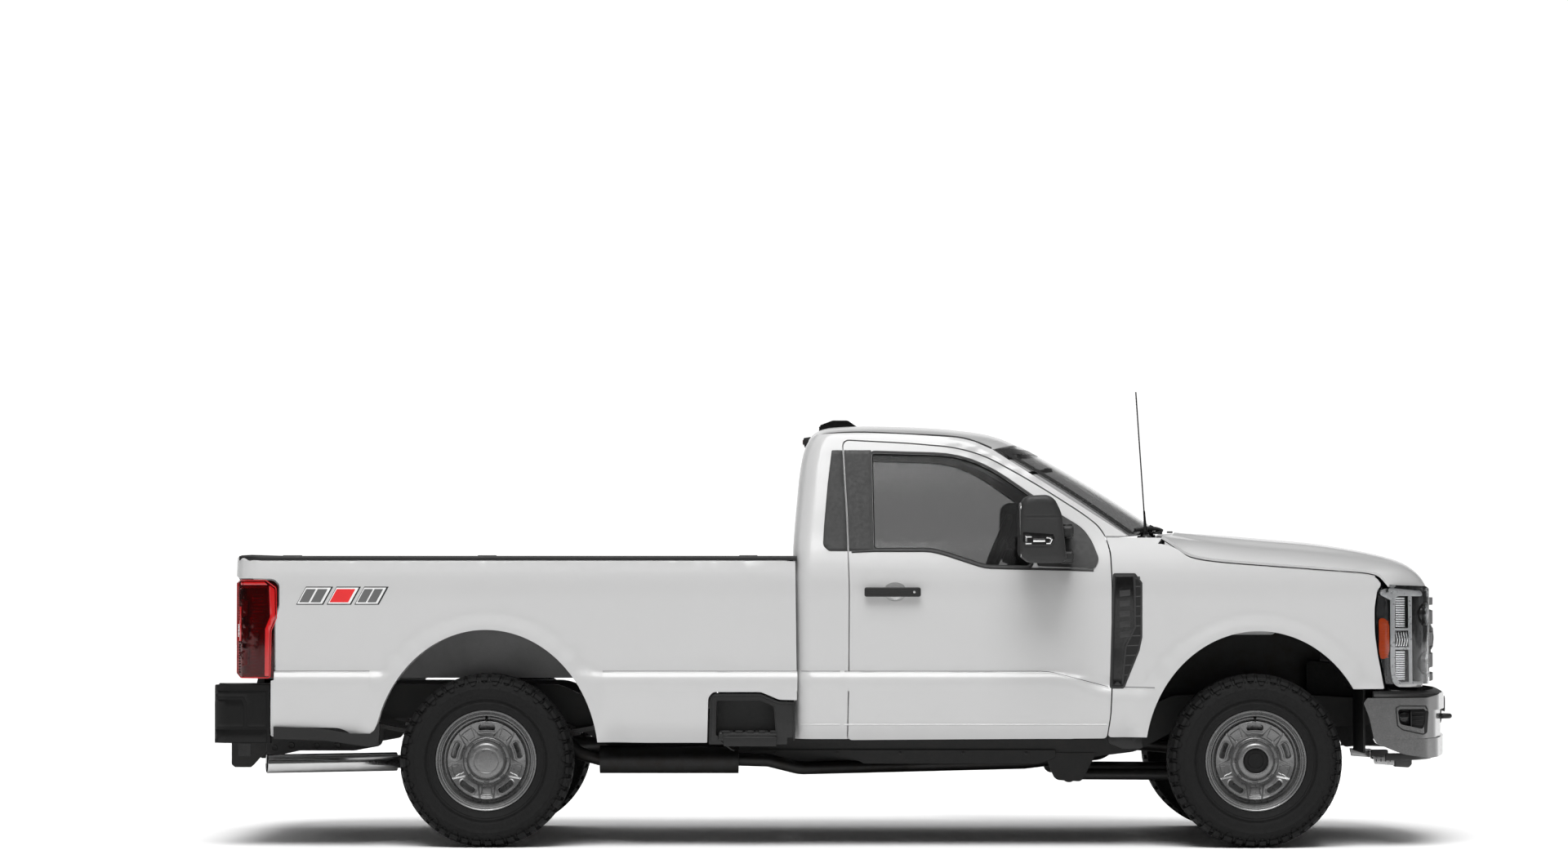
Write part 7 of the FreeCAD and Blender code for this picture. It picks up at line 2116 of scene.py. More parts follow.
for sg_ in (-1, 1):
    a_, b_ = 0.240 * sg_, 0.620 * sg_
    seam(TOPD, [(0.215, a_, .05), (0.600, a_, .05), (0.600, b_, .05), (0.215, b_, .05)], closed=True)
    for k in (1, 2, 3):
        x_ = 0.215 + 0.096 * k
        seam(TOPD, [(x_, a_ + 0.012 * sg_), (x_, b_ - 0.012 * sg_)], 0.0022)
    seam(BKD, [(a_, 1.120, .05), (a_, 1.500, .05), (b_, 1.500, .05), (b_, 1.120, .05)], closed=True)
    for k in (1, 2, 3):
        z_ = 1.120 + 0.095 * k
        seam(BKD, [(a_ + 0.012 * sg_, z_), (b_ - 0.012 * sg_, z_)], 0.0022)
seam(TOPD, [(0.230, -0.110, .04), (0.590, -0.110, .04), (0.590, 0.110, .04), (0.230, 0.110, .04)], closed=True)
seam(BKD, [(-0.110, 1.130, .04), (-0.110, 1.480, .04), (0.110, 1.480, .04), (0.110, 1.130, .04)], closed=True)
q.done("seat_cloth")
q = Piece("seat_base_shell", "interior_dark")
q.add(bm_prism([(0.152, 0.702, .01), (0.490, 0.702, .01), (0.540, 0.860, .03), (0.655, 0.915, .02), (0.655, 0.928, .005), (0.152, 0.928, .01)], "y", -0.640, 0.640, 0.008, 3))
for y_ in (-0.43, 0.43):
    for s_ in (-0.05, 0.05):
        q.add(cyl((0.068, y_ + s_, 1.555), (0, 0, 1), 0.0068, 0.085, 0.001, 20))
        q.add(cyl((0.068, y_ + s_, 1.578), (0, 0, 1), 0.014, 0.010, 0.002, 20))
for s_ in (-0.66, 0.66):
    q.add(bm_prism([(0.17, 0.90, .02), (0.30, 0.90, .02), (0.28, 0.985, .02), (0.19, 0.985, .02)], "y", min(s_, s_ * 1.035), max(s_, s_ * 1.035), 0.004, 2))
q.done("interior")

# belts: upper guide, webbing and buckle
q = Piece("seat_belts", "belt_web")
for sg_ in (-1, 1):
    pts = catmull([(-0.028, 0.715 * sg_, 1.600), (-0.020, 0.722 * sg_, 1.300), (0.000, 0.722 * sg_, 1.050), (0.010, 0.720 * sg_, 0.860)], 8)
    q.add(bm_sweep(pts, [(-0.023, -0.0008), (0.023, -0.0008), (0.023, 0.0008), (-0.023, 0.0008)], (0, sg_, 0)))
q.done("interior")
q = Piece("belt_fittings", "interior_dark")
for sg_ in (-1, 1):
    y0_, y1_ = sorted((0.708 * sg_, 0.728 * sg_))
    q.add(bm_box(-0.062, 0.006, y0_, y1_, 1.590, 1.632, 0.008, 3))
    q.add(bm_box(-0.022, 0.036, y0_, y1_, 0.835, 0.875, 0.006, 3))
    for y_ in (0.176 * sg_,):
        q.add(bm_box(0.235, 0.262, y_ - 0.012, y_ + 0.012, 1.020, 1.112, 0.006, 3))
q.done("interior")

# dashboard face
DX = Drop(["dashboard"], "x-")


def on_dash(piece, pts, out, into, bev=0.002):
    ys = [p_[0] for p_ in pts]
    zs = [p_[1] for p_ in pts]
    h_ = [DX.get(a_, b_) for a_ in (min(ys), max(ys)) for b_ in (min(zs), max(zs))]
    h_ = [v_.x for v_ in h_ if v_ is not None]
    x_ = min(h_) if h_ else 0.985
    piece.add(bm_prism(pts, "x", x_ - out, x_ + into, bev, 2))
    return x_


q = Piece("dash_bezels", "dash_trim")
S1 = Piece("dash_screens", "screen_glass")
S2 = Piece("dash_controls", "trim_black")
x_i = on_dash(q, [(0.252, 1.185, .03), (0.588, 1.185, .03), (0.588, 1.345, .04), (0.252, 1.345, .04)], 0.006, 0.02)
on_dash(S1, [(0.266, 1.198, .02), (0.574, 1.198, .02), (0.574, 1.333, .03), (0.266, 1.333, .03)], 0.0075, 0.0)
for yc in (0.338, 0.502):
    q.add(bm_lathe([(0.056, 0.0), (0.060, 0.004), (0.060, 0.008), (0.056, 0.010), (0.053, 0.007), (0.053, 0.0)], (x_i - 0.006, yc, 1.265), (-1, 0, 0), 48))
    for k in range(11):
        w_ = math.radians(-40 + 26 * k)
        a_ = Vector((x_i - 0.0085, yc + 0.045 * math.cos(w_), 1.265 + 0.045 * math.sin(w_)))
        q.add(bm_box(a_.x - 0.0008, a_.x + 0.0008, a_.y - 0.0015, a_.y + 0.0015, a_.z - 0.003, a_.z + 0.003, 0.0004, 1))
on_dash(q, [(-0.150, 1.150, .02), (0.150, 1.150, .02), (0.165, 1.355, .03), (-0.165, 1.355, .03)], 0.008, 0.03)
on_dash(S1, [(-0.118, 1.250, .01), (0.118, 1.250, .01), (0.118, 1.345, .01), (-0.118, 1.345, .01)], 0.0105, 0.0)
for yc in (-0.085, 0.0, 0.085):
    S2.add(cyl((0.9765, yc, 1.200), (-1, 0, 0), 0.020, 0.018, 0.003, 40))
for k in range(6):
    S2.add(bm_box(0.9715, 0.9765, -0.128 + 0.044 * k, -0.128 + 0.044 * k + 0.034, 1.158, 1.172, 0.002, 2))
for yc, w_ in ((-0.240, 0.062), (0.700, 0.062), (-0.700, 0.062), (0.205, 0.030)):
    on_dash(q, [(yc - w_, 1.232, .012), (yc + w_, 1.232, .012), (yc + w_, 1.298, .012), (yc - w_, 1.298, .012)], 0.006, 0.02)
    on_dash(S1, [(yc - w_ + 0.008, 1.240, .006), (yc + w_ - 0.008, 1.240, .006), (yc + w_ - 0.008, 1.290, .006), (yc - w_ + 0.008, 1.290, .006)], 0.0065, 0.0)
    for k in range(4):
        z_ = 1.2455 + 0.0125 * k
        S2.add(bm_box(0.975, 0.981, yc - w_ + 0.010, yc + w_ - 0.010, z_, z_ + 0.0035, 0.001, 1))
on_dash(q, [(-0.760, 1.080, .02), (-0.300, 1.080, .02), (-0.300, 1.150, .02), (-0.760, 1.150, .02)], 0.003, 0.03)
on_dash(q, [(-0.800, 1.170, .02), (-0.320, 1.170, .02), (-0.320, 1.218, .02), (-0.800, 1.218, .02)], 0.005, 0.02)
S2.add(bm_box(0.9740, 0.9790, -0.590, -0.500, 1.128, 1.140, 0.002, 2))
q.done("interior")
S1.done("interior")
S2.done("interior")
q = Piece("column_stalks", "trim_black")
n_w = Vector((-math.cos(math.radians(22)), 0, math.sin(math.radians(22))))
cc_ = Vector((0.790, 0.420, 1.392)) - n_w * 0.115
q.add(bm_lathe([(0.0, 0.0), (0.050, 0.0), (0.056, 0.010), (0.056, 0.11), (0.046, 0.150), (0.0, 0.152)], cc_ + n_w * 0.035, -n_w, 40))
for sg_ in (-1, 1):
    q.add(tube([cc_ + Vector((0, 0.045 * sg_, 0.0)), cc_ + Vector((-0.010, 0.110 * sg_, 0.018)), cc_ + Vector((-0.020, 0.170 * sg_, 0.030))], 0.0075, 12, smooth=5))
q.add(tube([cc_ + Vector((0, -0.040, 0.030)), cc_ + Vector((0.0, -0.110, 0.095)), cc_ + Vector((-0.015, -0.160, 0.110))], 0.009, 12, smooth=5))
q.done("interior")

# steering wheel cover, centre pad and spoke faces
W4 = Matrix.Translation(Vector((0.790, 0.420, 1.392))) @ Matrix((Vector((0, 1, 0)), n_w.cross(Vector((0, 1, 0))), n_w)).transposed().to_4x4()
q = Piece("steering_wheel_cover", "interior_dark", "steering_wheel")
bm = bmesh.new()
rings = []
for i in range(72):
    w_ = 2 * math.pi * i / 72
    rr = 0.0168 + 0.0022 * max(0, math.cos(2 * (w_ - math.radians(45)))) ** 8 + 0.0004 * math.cos(36 * w_)
    rings.append([bm.verts.new(((0.180 + rr * math.cos(u_)) * math.cos(w_), (0.180 + rr * math.cos(u_)) * math.sin(w_), rr * math.sin(u_))) for u_ in [2 * math.pi * k / 14 for k in range(14)]])
for i in range(72):
    a, b = rings[i], rings[(i + 1) % 72]
    for k in range(14):
        bm.faces.new((a[k], a[(k + 1) % 14], b[(k + 1) % 14], b[k]))
q.add(bm, M4=W4)
q.add(bm_prism([(-0.078, -0.062, .03), (0.078, -0.062, .03), (0.088, 0.030, .03), (0.055, 0.066, .03), (-0.055, 0.066, .03), (-0.088, 0.030, .03)], "z", -0.034, 0.022, 0.012, 4), M4=W4)
q.done("interior")
q = Piece("steering_wheel_spokes", "dash_trim", "steering_wheel")
for sg_ in (-1, 1):
    q.add(bm_prism([(0.080 * sg_, -0.024, .006), (0.166 * sg_, -0.016, .006), (0.166 * sg_, 0.018, .006), (0.080 * sg_, 0.030, .006)][::sg_], "z", -0.018, 0.010, 0.004, 3), M4=W4)
    for k in range(3):
        q.add(bm_box(0.098 * sg_ - 0.008 + 0.020 * k * sg_, 0.098 * sg_ + 0.008 + 0.020 * k * sg_, -0.006, 0.010, 0.008, 0.0125, 0.002, 2), M4=W4)
q.add(bm_prism([(-0.020, -0.168, .006), (0.020, -0.168, .006), (0.030, -0.060, .006), (-0.030, -0.060, .006)], "z", -0.018, 0.009, 0.004, 3), M4=W4)
q.done("interior")

# pedals, mats, inner mirror, visors, roof lining
q = Piece("pedals", "mat_rubber")
for yc, w_, z0_, z1_ in ((0.470, 0.060, 0.800, 0.865), (0.300, 0.030, 0.760, 0.885)):
    q.add(bm_box(1.085, 1.102, yc - w_, yc + w_, z0_, z1_, 0.005, 3))
    for k in range(4):
        z_ = z0_ + 0.010 + (z1_ - z0_ - 0.02) * k / 3
        q.add(bm_box(1.081, 1.086, yc - w_ + 0.008, yc + w_ - 0.008, z_ - 0.003, z_ + 0.003, 0.001, 1))
    q.add(tube([(1.100, yc, (z0_ + z1_) / 2), (1.160, yc, 0.930), (1.200, yc, 1.075)], 0.008, 10, smooth=5))
q.done("interior")
FZ = Drop(["cab_floor"], "z+", hi=0.95)
q = Piece("floor_mats", "mat_rubber")
for sg_ in (-1, 1):
    ys_ = (0.160 * sg_, 0.690 * sg_)
    q.add(bm_patch([(0.540, ys_[0], .05), (1.080, ys_[0], .05), (1.080, ys_[1], .05), (0.540, ys_[1], .05)], FZ, 0.007, 0.0075, 0.05, edge=0.003))
    for k in range(13):
        x_ = 0.600 + 0.034 * k
        h_ = FZ.get(x_, 0.425 * sg_)
        if h_ is not None:
            q.add(bm_box(x_ - 0.006, x_ + 0.006, min(0.22 * sg_, 0.63 * sg_), max(0.22 * sg_, 0.63 * sg_), h_.z + 0.005, h_.z + 0.010, 0.002, 2))
q.done("floor_mat")
q = Piece("inner_mirror", "interior_dark")
q.add(bm_prism([(-0.120, 1.715, .02), (0.120, 1.715, .02), (0.112, 1.778, .02), (-0.112, 1.778, .02)], "x", 0.880, 0.902, 0.006, 3))
h_ = WSX.at(0.0, 1.790)
q.add(tube([(0.902, 0, 1.750), (0.935, 0, 1.768), ((h_.x - 0.030) if h_ else 1.03, 0, 1.785)], 0.009, 12, smooth=4))
q.add(cyl(((h_.x - 0.050) if h_ else 1.02, 0, 1.775), (0, 0, 1), 0.020, 0.020, 0.004, 24))
q.done("interior")
q = Piece("inner_mirror_face", "mirror_face")
q.add(bm_prism([(-0.113, 1.721, .016), (0.113, 1.721, .016), (0.106, 1.772, .016), (-0.106, 1.772, .016)], "x", 0.8785, 0.8805, 0.0006, 1))
q.done("interior")
RU = Drop(["roof"], "z-")
q = Piece("roof_lining", "headliner")
q.add(bm_patch([(-0.060, -0.600, .06), (0.720, -0.600, .10), (0.720, 0.600, .10), (-0.060, 0.600, .06)], RU, 0.006, 0.010, 0.05, edge=0.003))
q.done("interior")
q = Piece("sun_visors", "headliner")
for sg_ in (-1, 1):
    h_ = RU.get(0.700, 0.36 * sg_)
    z_ = (h_.z if h_ else 1.87) - 0.014
    q.add(bm_box(0.600, 0.755, min(0.13 * sg_, 0.57 * sg_), max(0.13 * sg_, 0.57 * sg_), z_ - 0.018, z_ - 0.002, 0.007, 4))
q.done("interior")
q = Piece("dome_lamp", "clear_cover")
h_ = RU.get(0.30, 0.0)
z_ = (h_.z if h_ else 1.93) - 0.006
q.add(bm_box(0.240, 0.360, -0.060, 0.060, z_ - 0.016, z_ - 0.002, 0.005, 3))
q.done("interior")

# door linings
DI = Drop(["door_right"], "y+", hi=-0.70)
q = Piece("door_lining_right", "interior_dark", "door_right")
LIN = [(0.140, 0.640, .05), (1.020, 0.640, .08), (1.160, 0.820, .08), (1.180, 1.205, .04), (0.120, 1.205, .04)]
q.add(bm_patch(LIN, DI, 0.005, 0.007, 0.04, edge=0.003))
h_ = DI.get(0.55, 1.02)
yi = h_.y if h_ else -0.86
q.add(bm_prism([(0.240, 0.985, .03), (0.860, 0.985, .03), (0.930, 1.060, .03), (0.860, 1.075, .02), (0.220, 1.045, .02)], "y", yi - 0.002, yi + 0.058, 0.012, 4))
q.add(bm_prism([(0.220, 0.655, .03), (0.820, 0.655, .03), (0.790, 0.800, .04), (0.240, 0.790, .04)], "y", yi - 0.002, yi + 0.030, 0.008, 3))
q.done("interior", twin="door_left", name2="door_lining_left")
q = Piece("door_controls_right", "dash_trim", "door_right")
q.add(bm_box(0.700, 0.850, yi + 0.020, yi + 0.050, 1.073, 1.080, 0.002, 2))
for k in range(3):
    q.add(bm_box(0.715 + 0.042 * k, 0.745 + 0.042 * k, yi + 0.026, yi + 0.044, 1.079, 1.085, 0.002, 2))
q.add(bm_prism([(0.910, 1.125, .01), (1.040, 1.125, .01), (1.040, 1.165, .01), (0.910, 1.165, .01)], "y", yi + 0.003, yi + 0.018, 0.003, 2))
q.add(bm_prism([(0.930, 1.136, .005), (1.010, 1.136, .005), (1.010, 1.154, .005), (0.930, 1.154, .005)], "y", yi + 0.016, yi + 0.030, 0.003, 2))
q.add(bm_lathe([(0.0, 0.008), (0.070, 0.008), (0.082, 0.006), (0.086, 0.0), (0.0, 0.0)], (0.930, yi + 0.003, 0.790), (0, 1, 0), 48))
for r_ in (0.018, 0.034, 0.050, 0.066):
    q.add(bm_lathe([(r_ - 0.002, 0.007), (r_, 0.0105), (r_ + 0.002, 0.007)], (0.930, yi + 0.003, 0.790), (0, 1, 0), 40))
q.done("interior", twin="door_left", name2="door_controls_left")


# ================================================================ underside, brakes, load bed, engine bay
metal("disc_steel", g(110), 0.3, 0.95, brush=(1, 1, 1))
plastic("tank_black", g(20), 0.6, 160, 0.2)
plastic("engine_cover_grey", g(46), 0.5, 400, 0.15)
plastic("bottle_white", g(196), 0.35, 200, 0.05)
AF_X, AR_X, WR_Z = 1.951, -1.646, 0.406

# leaf springs: U-bolts with their nuts, and blocks at the spring ends
q = Piece("spring_clamps", "bare_steel")
for sg_ in (-1, 1):
    for x_ in (AR_X - 0.062, AR_X + 0.062):
        yc = 0.548 * sg_
        q.add(tube([(x_, yc - 0.045, 0.330), (x_, yc - 0.045, 0.585), (x_, yc - 0.038, 0.600), (x_, yc + 0.038, 0.600), (x_, yc + 0.045, 0.585), (x_, yc + 0.045, 0.330)], 0.0075, 10))
        for s_ in (-0.045, 0.045):
            q.add(cyl((x_, yc + s_, 0.338), (0, 0, 1), 0.0135, 0.014, 0.002, 6))
    for x_ in (AR_X - 0.36, AR_X + 0.36):
        q.add(bm_box(x_ - 0.018, x_ + 0.018, 0.548 * sg_ - 0.044, 0.548 * sg_ + 0.044, 0.484 if True else 0, 0.545, 0.004, 2))
q.done("chassis_steel")

# brakes: front and rear discs turn with the wheels, callipers stay on the knuckle or axle
for nm, sg_, xc, yw, wheel, carrier in (("front_right", -1, AF_X, -0.790, "wheel_front_right", "knuckle_right"), ("front_left", 1, AF_X, 0.790, "wheel_front_left", "knuckle_left"),
                                        ("rear_right", -1, AR_X, -0.725, "wheel_rear_right", "chassis"), ("rear_left", 1, AR_X, 0.725, "wheel_rear_left", "chassis")):
    q = Piece("brake_disc_" + nm, "disc_steel", wheel)
    pr = [(0.095, 0.0), (0.166, 0.0), (0.168, 0.001), (0.168, 0.013), (0.166, 0.014), (0.164, 0.0145), (0.164, 0.0185), (0.166, 0.019), (0.168, 0.020), (0.168, 0.031), (0.166, 0.032), (0.095, 0.032)]
    q.add(bm_lathe(pr, (xc, yw - 0.016 * sg_, WR_Z), (0, sg_, 0), 72, closed=True))
    q.done("cast")
    q = Piece("brake_calliper_" + nm, "cast_iron", carrier)
    a0_ = 150 if sg_ else 150
    bm = bmesh.new()
    rings = []
    for i in range(13):
        w_ = math.radians(152 + 56 * i / 12)
        prf = [(0.118, -0.052), (0.182, -0.052), (0.188, -0.040), (0.188, 0.040), (0.182, 0.050), (0.118, 0.050), (0.114, 0.026), (0.114, 0.0215), (0.172, 0.0215), (0.172, -0.0215), (0.114, -0.0215), (0.114, -0.030)]
        rings.append([bm.verts.new((xc + r_ * math.cos(w_), yw + h_ * sg_, WR_Z + r_ * math.sin(w_))) for r_, h_ in prf])
    for a, b in zip(rings, rings[1:]):
        for k in range(12):
            bm.faces.new((a[k], a[(k + 1) % 12], b[(k + 1) % 12], b[k]))
    bm.faces.new(rings[0])
    bm.faces.new(list(reversed(rings[-1])))
    q.add(bm)
    q.done("cast")

# pipes along the frame
q = Piece("brake_and_fuel_pipes", "bare_steel")
for k in range(3):
    z_ = 0.575 + 0.022 * k
    q.add(tube([(1.30, -0.392, z_), (0.60, -0.392, z_), (0.0, -0.392, z_), (-0.70, -0.392, z_), (-1.20, -0.392, z_ + 0.03)], 0.0042, 8, smooth=4))
q.done("chassis_steel")

# ---------------------------------------------------------------- load bed
BF = Drop(["bed_floor"], "z+")
q = Piece("bed_tie_down_hooks", "black_steel")
for sg_ in (-1, 1):
    for x_ in (-2.640, -0.420):
        for z_ in (0.930, 1.230):
            y_ = 0.0
            D_ = Drop(["bed_side_left", "bed_floor"], "y-", lo=0.3) if sg_ > 0 else Drop(["bed_side_right", "bed_floor"], "y+", hi=-0.3)
            bvh = D_.t
            hit = bvh.ray_cast(Vector((x_, 0, z_)), Vector((0, sg_, 0)))
            if hit[0] is None:
                continue
            y_ = hit[0].y
            y0_, y1_ = sorted((y_, y_ - 0.006 * sg_))
            q.add(bm_box(x_ - 0.032, x_ + 0.032, y0_, y1_, z_ - 0.024, z_ + 0.024, 0.003, 2))
            q.add(tube([(x_ - 0.022, y_ - 0.004 * sg_, z_), (x_ - 0.020, y_ - 0.026 * sg_, z_ - 0.006), (x_, y_ - 0.036 * sg_, z_ - 0.012), (x_ + 0.020, y_ - 0.026 * sg_, z_ - 0.006), (x_ + 0.022, y_ - 0.004 * sg_, z_)], 0.0048, 10, smooth=4))
            for s_ in (-0.024, 0.024):
                q.add(cyl((x_ + s_, y_ - 0.005 * sg_, z_ + 0.014), (0, -sg_, 0), 0.005, 0.004, 0.001, 12))
q.done("chassis_black")
q = Piece("bed_floor_bolts", "bare_steel")
for x_ in (-2.600, -1.980, -1.300, -0.640):
    for y_ in (-0.430, -0.190, 0.190, 0.430):
        h_ = BF.get(x_, y_)
        if h_ is not None:
            q.add(bm_lathe([(0.0, 0.004), (0.008, 0.0038), (0.013, 0.002), (0.0145, -0.001)], (x_, y_, h_.z), (0, 0, 1), 24))
q.done("bed_lining")
q = Piece("tailgate_inner_panel", "paint_bed", "tailgate")
TX = Drop(["tailgate"], "x+")
lp = [(-0.640, 0.905, .04), (0.640, 0.905, .04), (0.640, 1.250, .04), (-0.640, 1.250, .04)]
line = densify(rpoly(lp, True, 6), 0.03, True)
path = [TX.get(p_.x, p_.y) for p_ in line]
path = [p_ for p_ in path if p_ is not None]
if len(path) > 8:
    q.add(bm_sweep(path, half_round(0.012, 0.003), (1, 0, 0), True))
for k in range(4):
    y_ = -0.48 + 0.32 * k
    pth = [TX.get(y_, 0.935 + 0.285 * i / 6) for i in range(7)]
    pth = [p_ for p_ in pth if p_ is not None]
    if len(pth) > 3:
        q.add(bm_sweep(pth, half_round(0.030, 0.004), (1, 0, 0)))
q.done("body_paint")

# ---------------------------------------------------------------- engine bay
EZ = Drop(["engine"], "z+")
e0 = EZ.get(1.90, 0.0)
ez = e0.z if e0 else 1.230
q = Piece("engine_cover", "engine_cover_grey")
q.add(bm_prism([(1.560, -0.230, .05), (2.200, -0.230, .07), (2.200, 0.230, .07), (1.560, 0.230, .05)], "z", ez - 0.010, ez + 0.030, 0.014, 4))
for k in range(7):
    y_ = -0.165 + 0.055 * k
    q.add(bm_box(1.640, 2.120, y_ - 0.010, y_ + 0.010, ez + 0.026, ez + 0.036, 0.005, 3))
q.done("cast")
q = Piece("engine_bay_boxes", "tank_black")
q.add(bm_box(2.200, 2.430, -0.640, -0.400, 0.980, 1.180, 0.014, 3))
q.add(bm_box(2.190, 2.440, -0.650, -0.390, 1.165, 1.190, 0.008, 3))
q.add(bm_prism([(2.110, 0.370, .03), (2.430, 0.370, .04), (2.430, 0.660, .04), (2.110, 0.660, .03)], "z", 0.990, 1.150, 0.020, 4))
q.add(bm_prism([(2.120, 0.380, .03), (2.420, 0.380, .04), (2.420, 0.650, .04), (2.120, 0.650, .03)], "z", 1.145, 1.185, 0.012, 3))
for k in range(5):
    q.add(bm_box(2.160 + 0.050 * k, 2.180 + 0.050 * k, 0.410, 0.620, 1.180, 1.192, 0.004, 2))
q.add(tube([(2.270, 0.380, 1.080), (2.290, 0.260, 1.120), (2.240, 0.120, 1.180), (2.150, 0.040, ez - 0.02)], 0.045, 20, smooth=6))
q.add(bm_box(1.560, 1.760, -0.640, -0.420, 1.060, 1.220, 0.016, 3))
q.done("cast")
q = Piece("battery_terminals", "bare_steel")
for y_ in (-0.590, -0.450):
    q.add(cyl((2.240, y_, 1.188), (0, 0, 1), 0.010, 0.018, 0.002, 24))
    q.add(bm_box(2.222, 2.262, y_ - 0.014, y_ + 0.014, 1.190, 1.202, 0.004, 2))
q.add(bm_box(2.290, 2.310, -0.655, -0.385, 1.190, 1.198, 0.002, 2))
q.done("chassis_steel")
q = Piece("fluid_bottles", "bottle_white")
q.add(bm_prism([(1.840, -0.640, .04), (2.080, -0.640, .03), (2.080, -0.470, .04), (1.840, -0.470, .03)], "z", 0.990, 1.160, 0.022, 4))
q.add(cyl((1.920, -0.555, 1.155), (0, 0, 1), 0.026, 0.030, 0.004, 32))
q.add(bm_prism([(1.600, 0.480, .03), (1.720, 0.480, .03), (1.720, 0.600, .03), (1.600, 0.600, .03)], "z", 1.060, 1.180, 0.018, 4))
q.done("cast")
q = Piece("bottle_caps", "tank_black")
q.add(cyl((1.920, -0.555, 1.180), (0, 0, 1), 0.031, 0.018, 0.004, 32))
q.add(cyl((1.660, 0.540, 1.175), (0, 0, 1), 0.028, 0.020, 0.004, 32))
q.add(cyl((2.050, 0.130, ez + 0.025), (0, 0, 1), 0.030, 0.022, 0.004, 32))
q.done("cast")
q = Piece("hoses_and_looms", "rubber")
for pts, r_ in (([(2.560, -0.300, 1.100), (2.460, -0.280, 1.130), (2.340, -0.200, 1.120), (2.250, -0.140, 1.060)], 0.022), ([(2.560, 0.330, 0.820), (2.450, 0.300, 0.800), (2.350, 0.220, 0.830)], 0.022),
                ([(2.230, -0.450, 1.200), (2.120, -0.380, 1.235), (1.900, -0.300, 1.235), (1.650, -0.290, 1.225), (1.540, -0.360, 1.200)], 0.010), ([(1.720, 0.540, 1.100), (1.850, 0.440, 1.180), (2.000, 0.290, 1.200)], 0.012),
                ([(2.240, -0.590, 1.200), (2.120, -0.660, 1.180), (1.950, -0.680, 1.160), (1.700, -0.660, 1.200)], 0.009)):
    q.add(tube(pts, r_, 14, smooth=6))
q.done("cast")
q = Piece("fan_shroud", "tank_black")
q.add(bm_prism([(-0.560, 0.730, .04), (0.560, 0.730, .04), (0.560, 1.140, .04), (-0.560, 1.140, .04)], "x", 2.520, 2.553, 0.008, 3))
q.add(bm_lathe([(0.185, 0.0), (0.200, 0.0), (0.205, 0.030), (0.200, 0.060), (0.185, 0.060)], (2.520, 0.0, 0.935), (-1, 0, 0), 56, closed=True))
for k in range(7):
    w_ = 2 * math.pi * k / 7
    M_ = Matrix.Translation(Vector((2.490, 0.0, 0.935))) @ Matrix.Rotation(w_, 4, "X") @ Matrix.Translation(Vector((0, 0.105, 0))) @ Matrix.Rotation(math.radians(28), 4, "Y")
    q.add(bm_box(-0.003, 0.003, -0.070, 0.070, -0.030, 0.030, 0.002, 2), M4=M_)
q.add(cyl((2.520, 0.0, 0.935), (-1, 0, 0), 0.040, 0.062, 0.006, 32))
q.done("cast")


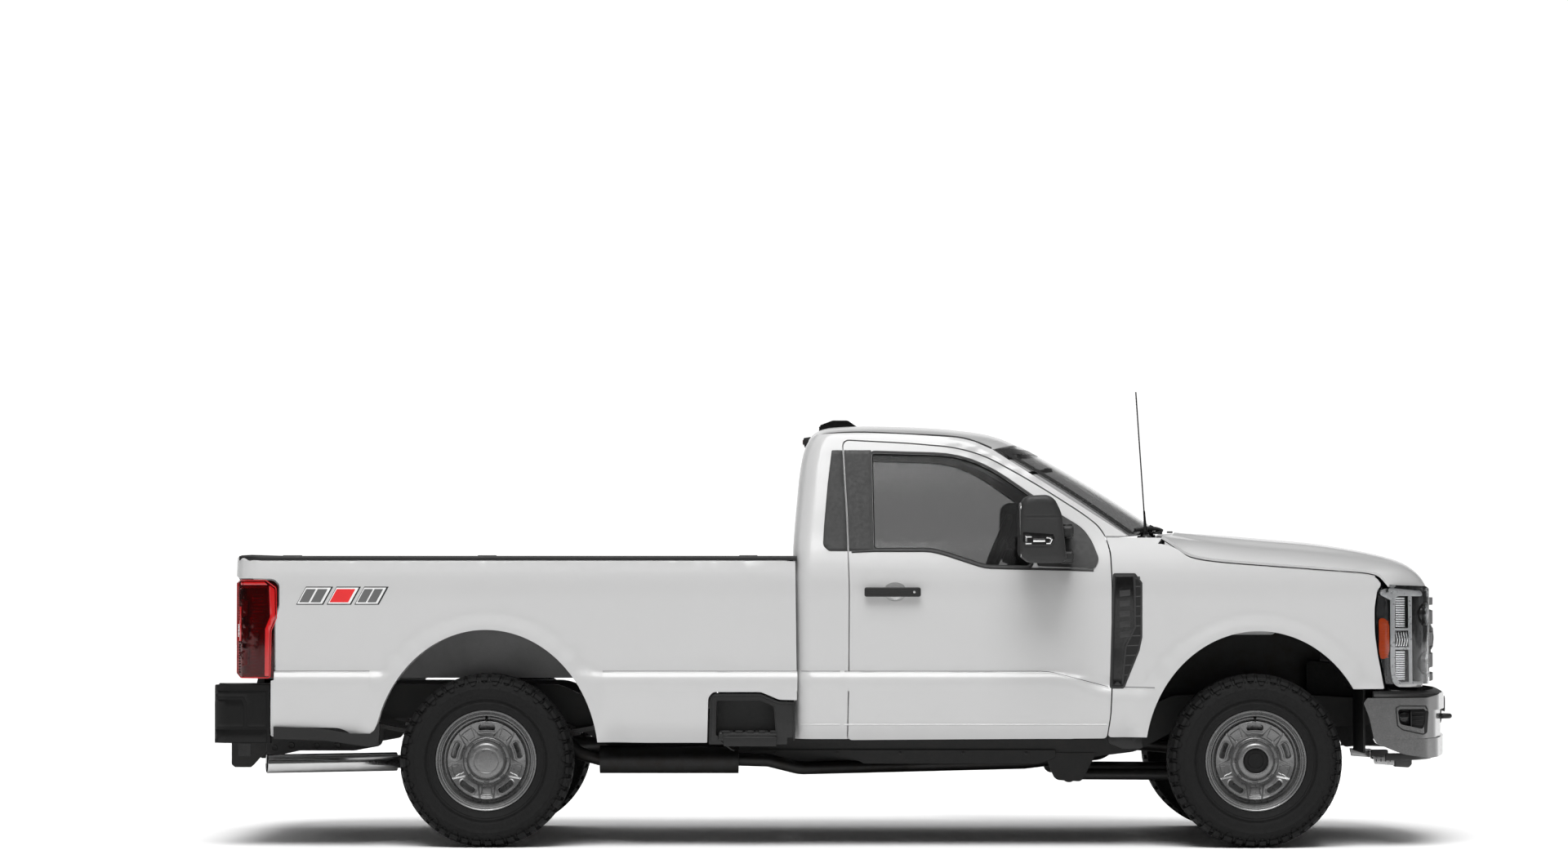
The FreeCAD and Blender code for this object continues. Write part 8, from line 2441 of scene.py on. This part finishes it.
# ================================================================ stage and light
def add_stage():
    me = bpy.data.meshes.new("floor")
    s = 60.0
    me.from_pydata([(-s, -s, 0), (s, -s, 0), (s, s, 0), (-s, s, 0)], [], [(0, 1, 2, 3)])
    fl = bpy.data.objects.new("floor", me)
    SC.collection.objects.link(fl)
    m = Mat("floor_white")
    m.color(m.ramp(m.noise(0.8, 2), [(0.3, g(248)), (0.7, g(250))]))
    m.set(Roughness=0.8, Specular_IOR_Level=0.05)
    me.materials.append(m.m)
    w = bpy.data.worlds.new("studio")
    w.use_nodes = True
    t = w.node_tree
    bg = t.nodes["Background"]
    bg.inputs["Strength"].default_value = 1.0
    tc = t.nodes.new("ShaderNodeTexCoord")
    sp = t.nodes.new("ShaderNodeSeparateXYZ")
    t.links.new(tc.outputs["Generated"], sp.inputs[0])

    def ramp(sock, stops):
        rp = t.nodes.new("ShaderNodeValToRGB")
        el = rp.color_ramp.elements
        while len(el) > 1:
            el.remove(el[-1])
        el[0].position, el[0].color = stops[0][0], (stops[0][1],) * 3 + (1,)
        for q, c in stops[1:]:
            e = el.new(q)
            e.color = (c, c, c, 1)
        t.links.new(sock, rp.inputs["Fac"])
        return rp.outputs["Color"]
    # dim walls up to a little over eye level, a bright ceiling, and one white wall behind the object
    near = ramp(sp.outputs["Z"], [(0.0, 0.08), (0.25, 0.09), (0.50, 0.16), (0.66, 0.55), (0.80, 1.10), (1.0, 1.30)])

    def mth(op, a_, b_=None, clamp=False):
        n_ = t.nodes.new("ShaderNodeMath")
        n_.operation = op
        n_.use_clamp = clamp
        for i_, v_ in enumerate((a_, b_)):
            if isinstance(v_, (int, float)):
                n_.inputs[i_].default_value = v_
            elif v_ is not None:
                t.links.new(v_, n_.inputs[i_])
        return n_.outputs[0]
    wy = mth("MULTIPLY", mth("SUBTRACT", sp.outputs["Y"], 0.955), 60.0, True)
    wz = mth("SUBTRACT", 1.0, mth("MULTIPLY", mth("SUBTRACT", mth("ABSOLUTE", sp.outputs["Z"]), 0.19), 14.0, True), True)
    win = mth("MULTIPLY", wy, wz)
    mx = t.nodes.new("ShaderNodeMix")
    mx.data_type = "RGBA"
    t.links.new(win, mx.inputs["Factor"])
    t.links.new(near, mx.inputs["A"])
    mx.inputs["B"].default_value = (1.08, 1.08, 1.08, 1)
    t.links.new(mx.outputs["Result"], bg.inputs["Color"])
    SC.world = w

    def area(name, loc, size, power, target):
        d = bpy.data.lights.new(name, "AREA")
        d.shape = "RECTANGLE"
        d.size, d.size_y = size
        d.energy = power
        o = bpy.data.objects.new(name, d)
        o.location = loc
        o.rotation_euler = (Vector(target) - Vector(loc)).to_track_quat("-Z", "Y").to_euler()
        SC.collection.objects.link(o)
    area("key", (1.0, -9.5, 9.6), (10, 3), 120, (0, 0, 1.0))
    d = bpy.data.lights.new("overhead", "SUN")
    d.energy = 2.45
    d.angle = 0.62
    o = bpy.data.objects.new("overhead", d)
    o.rotation_euler = Vector((0.05, 0.52, -0.85)).to_track_quat("-Z", "Y").to_euler()
    SC.collection.objects.link(o)


add_stage()
SC.view_settings.view_transform = "Standard"
SC.view_settings.look = "None"
SC.view_settings.exposure = 0.0
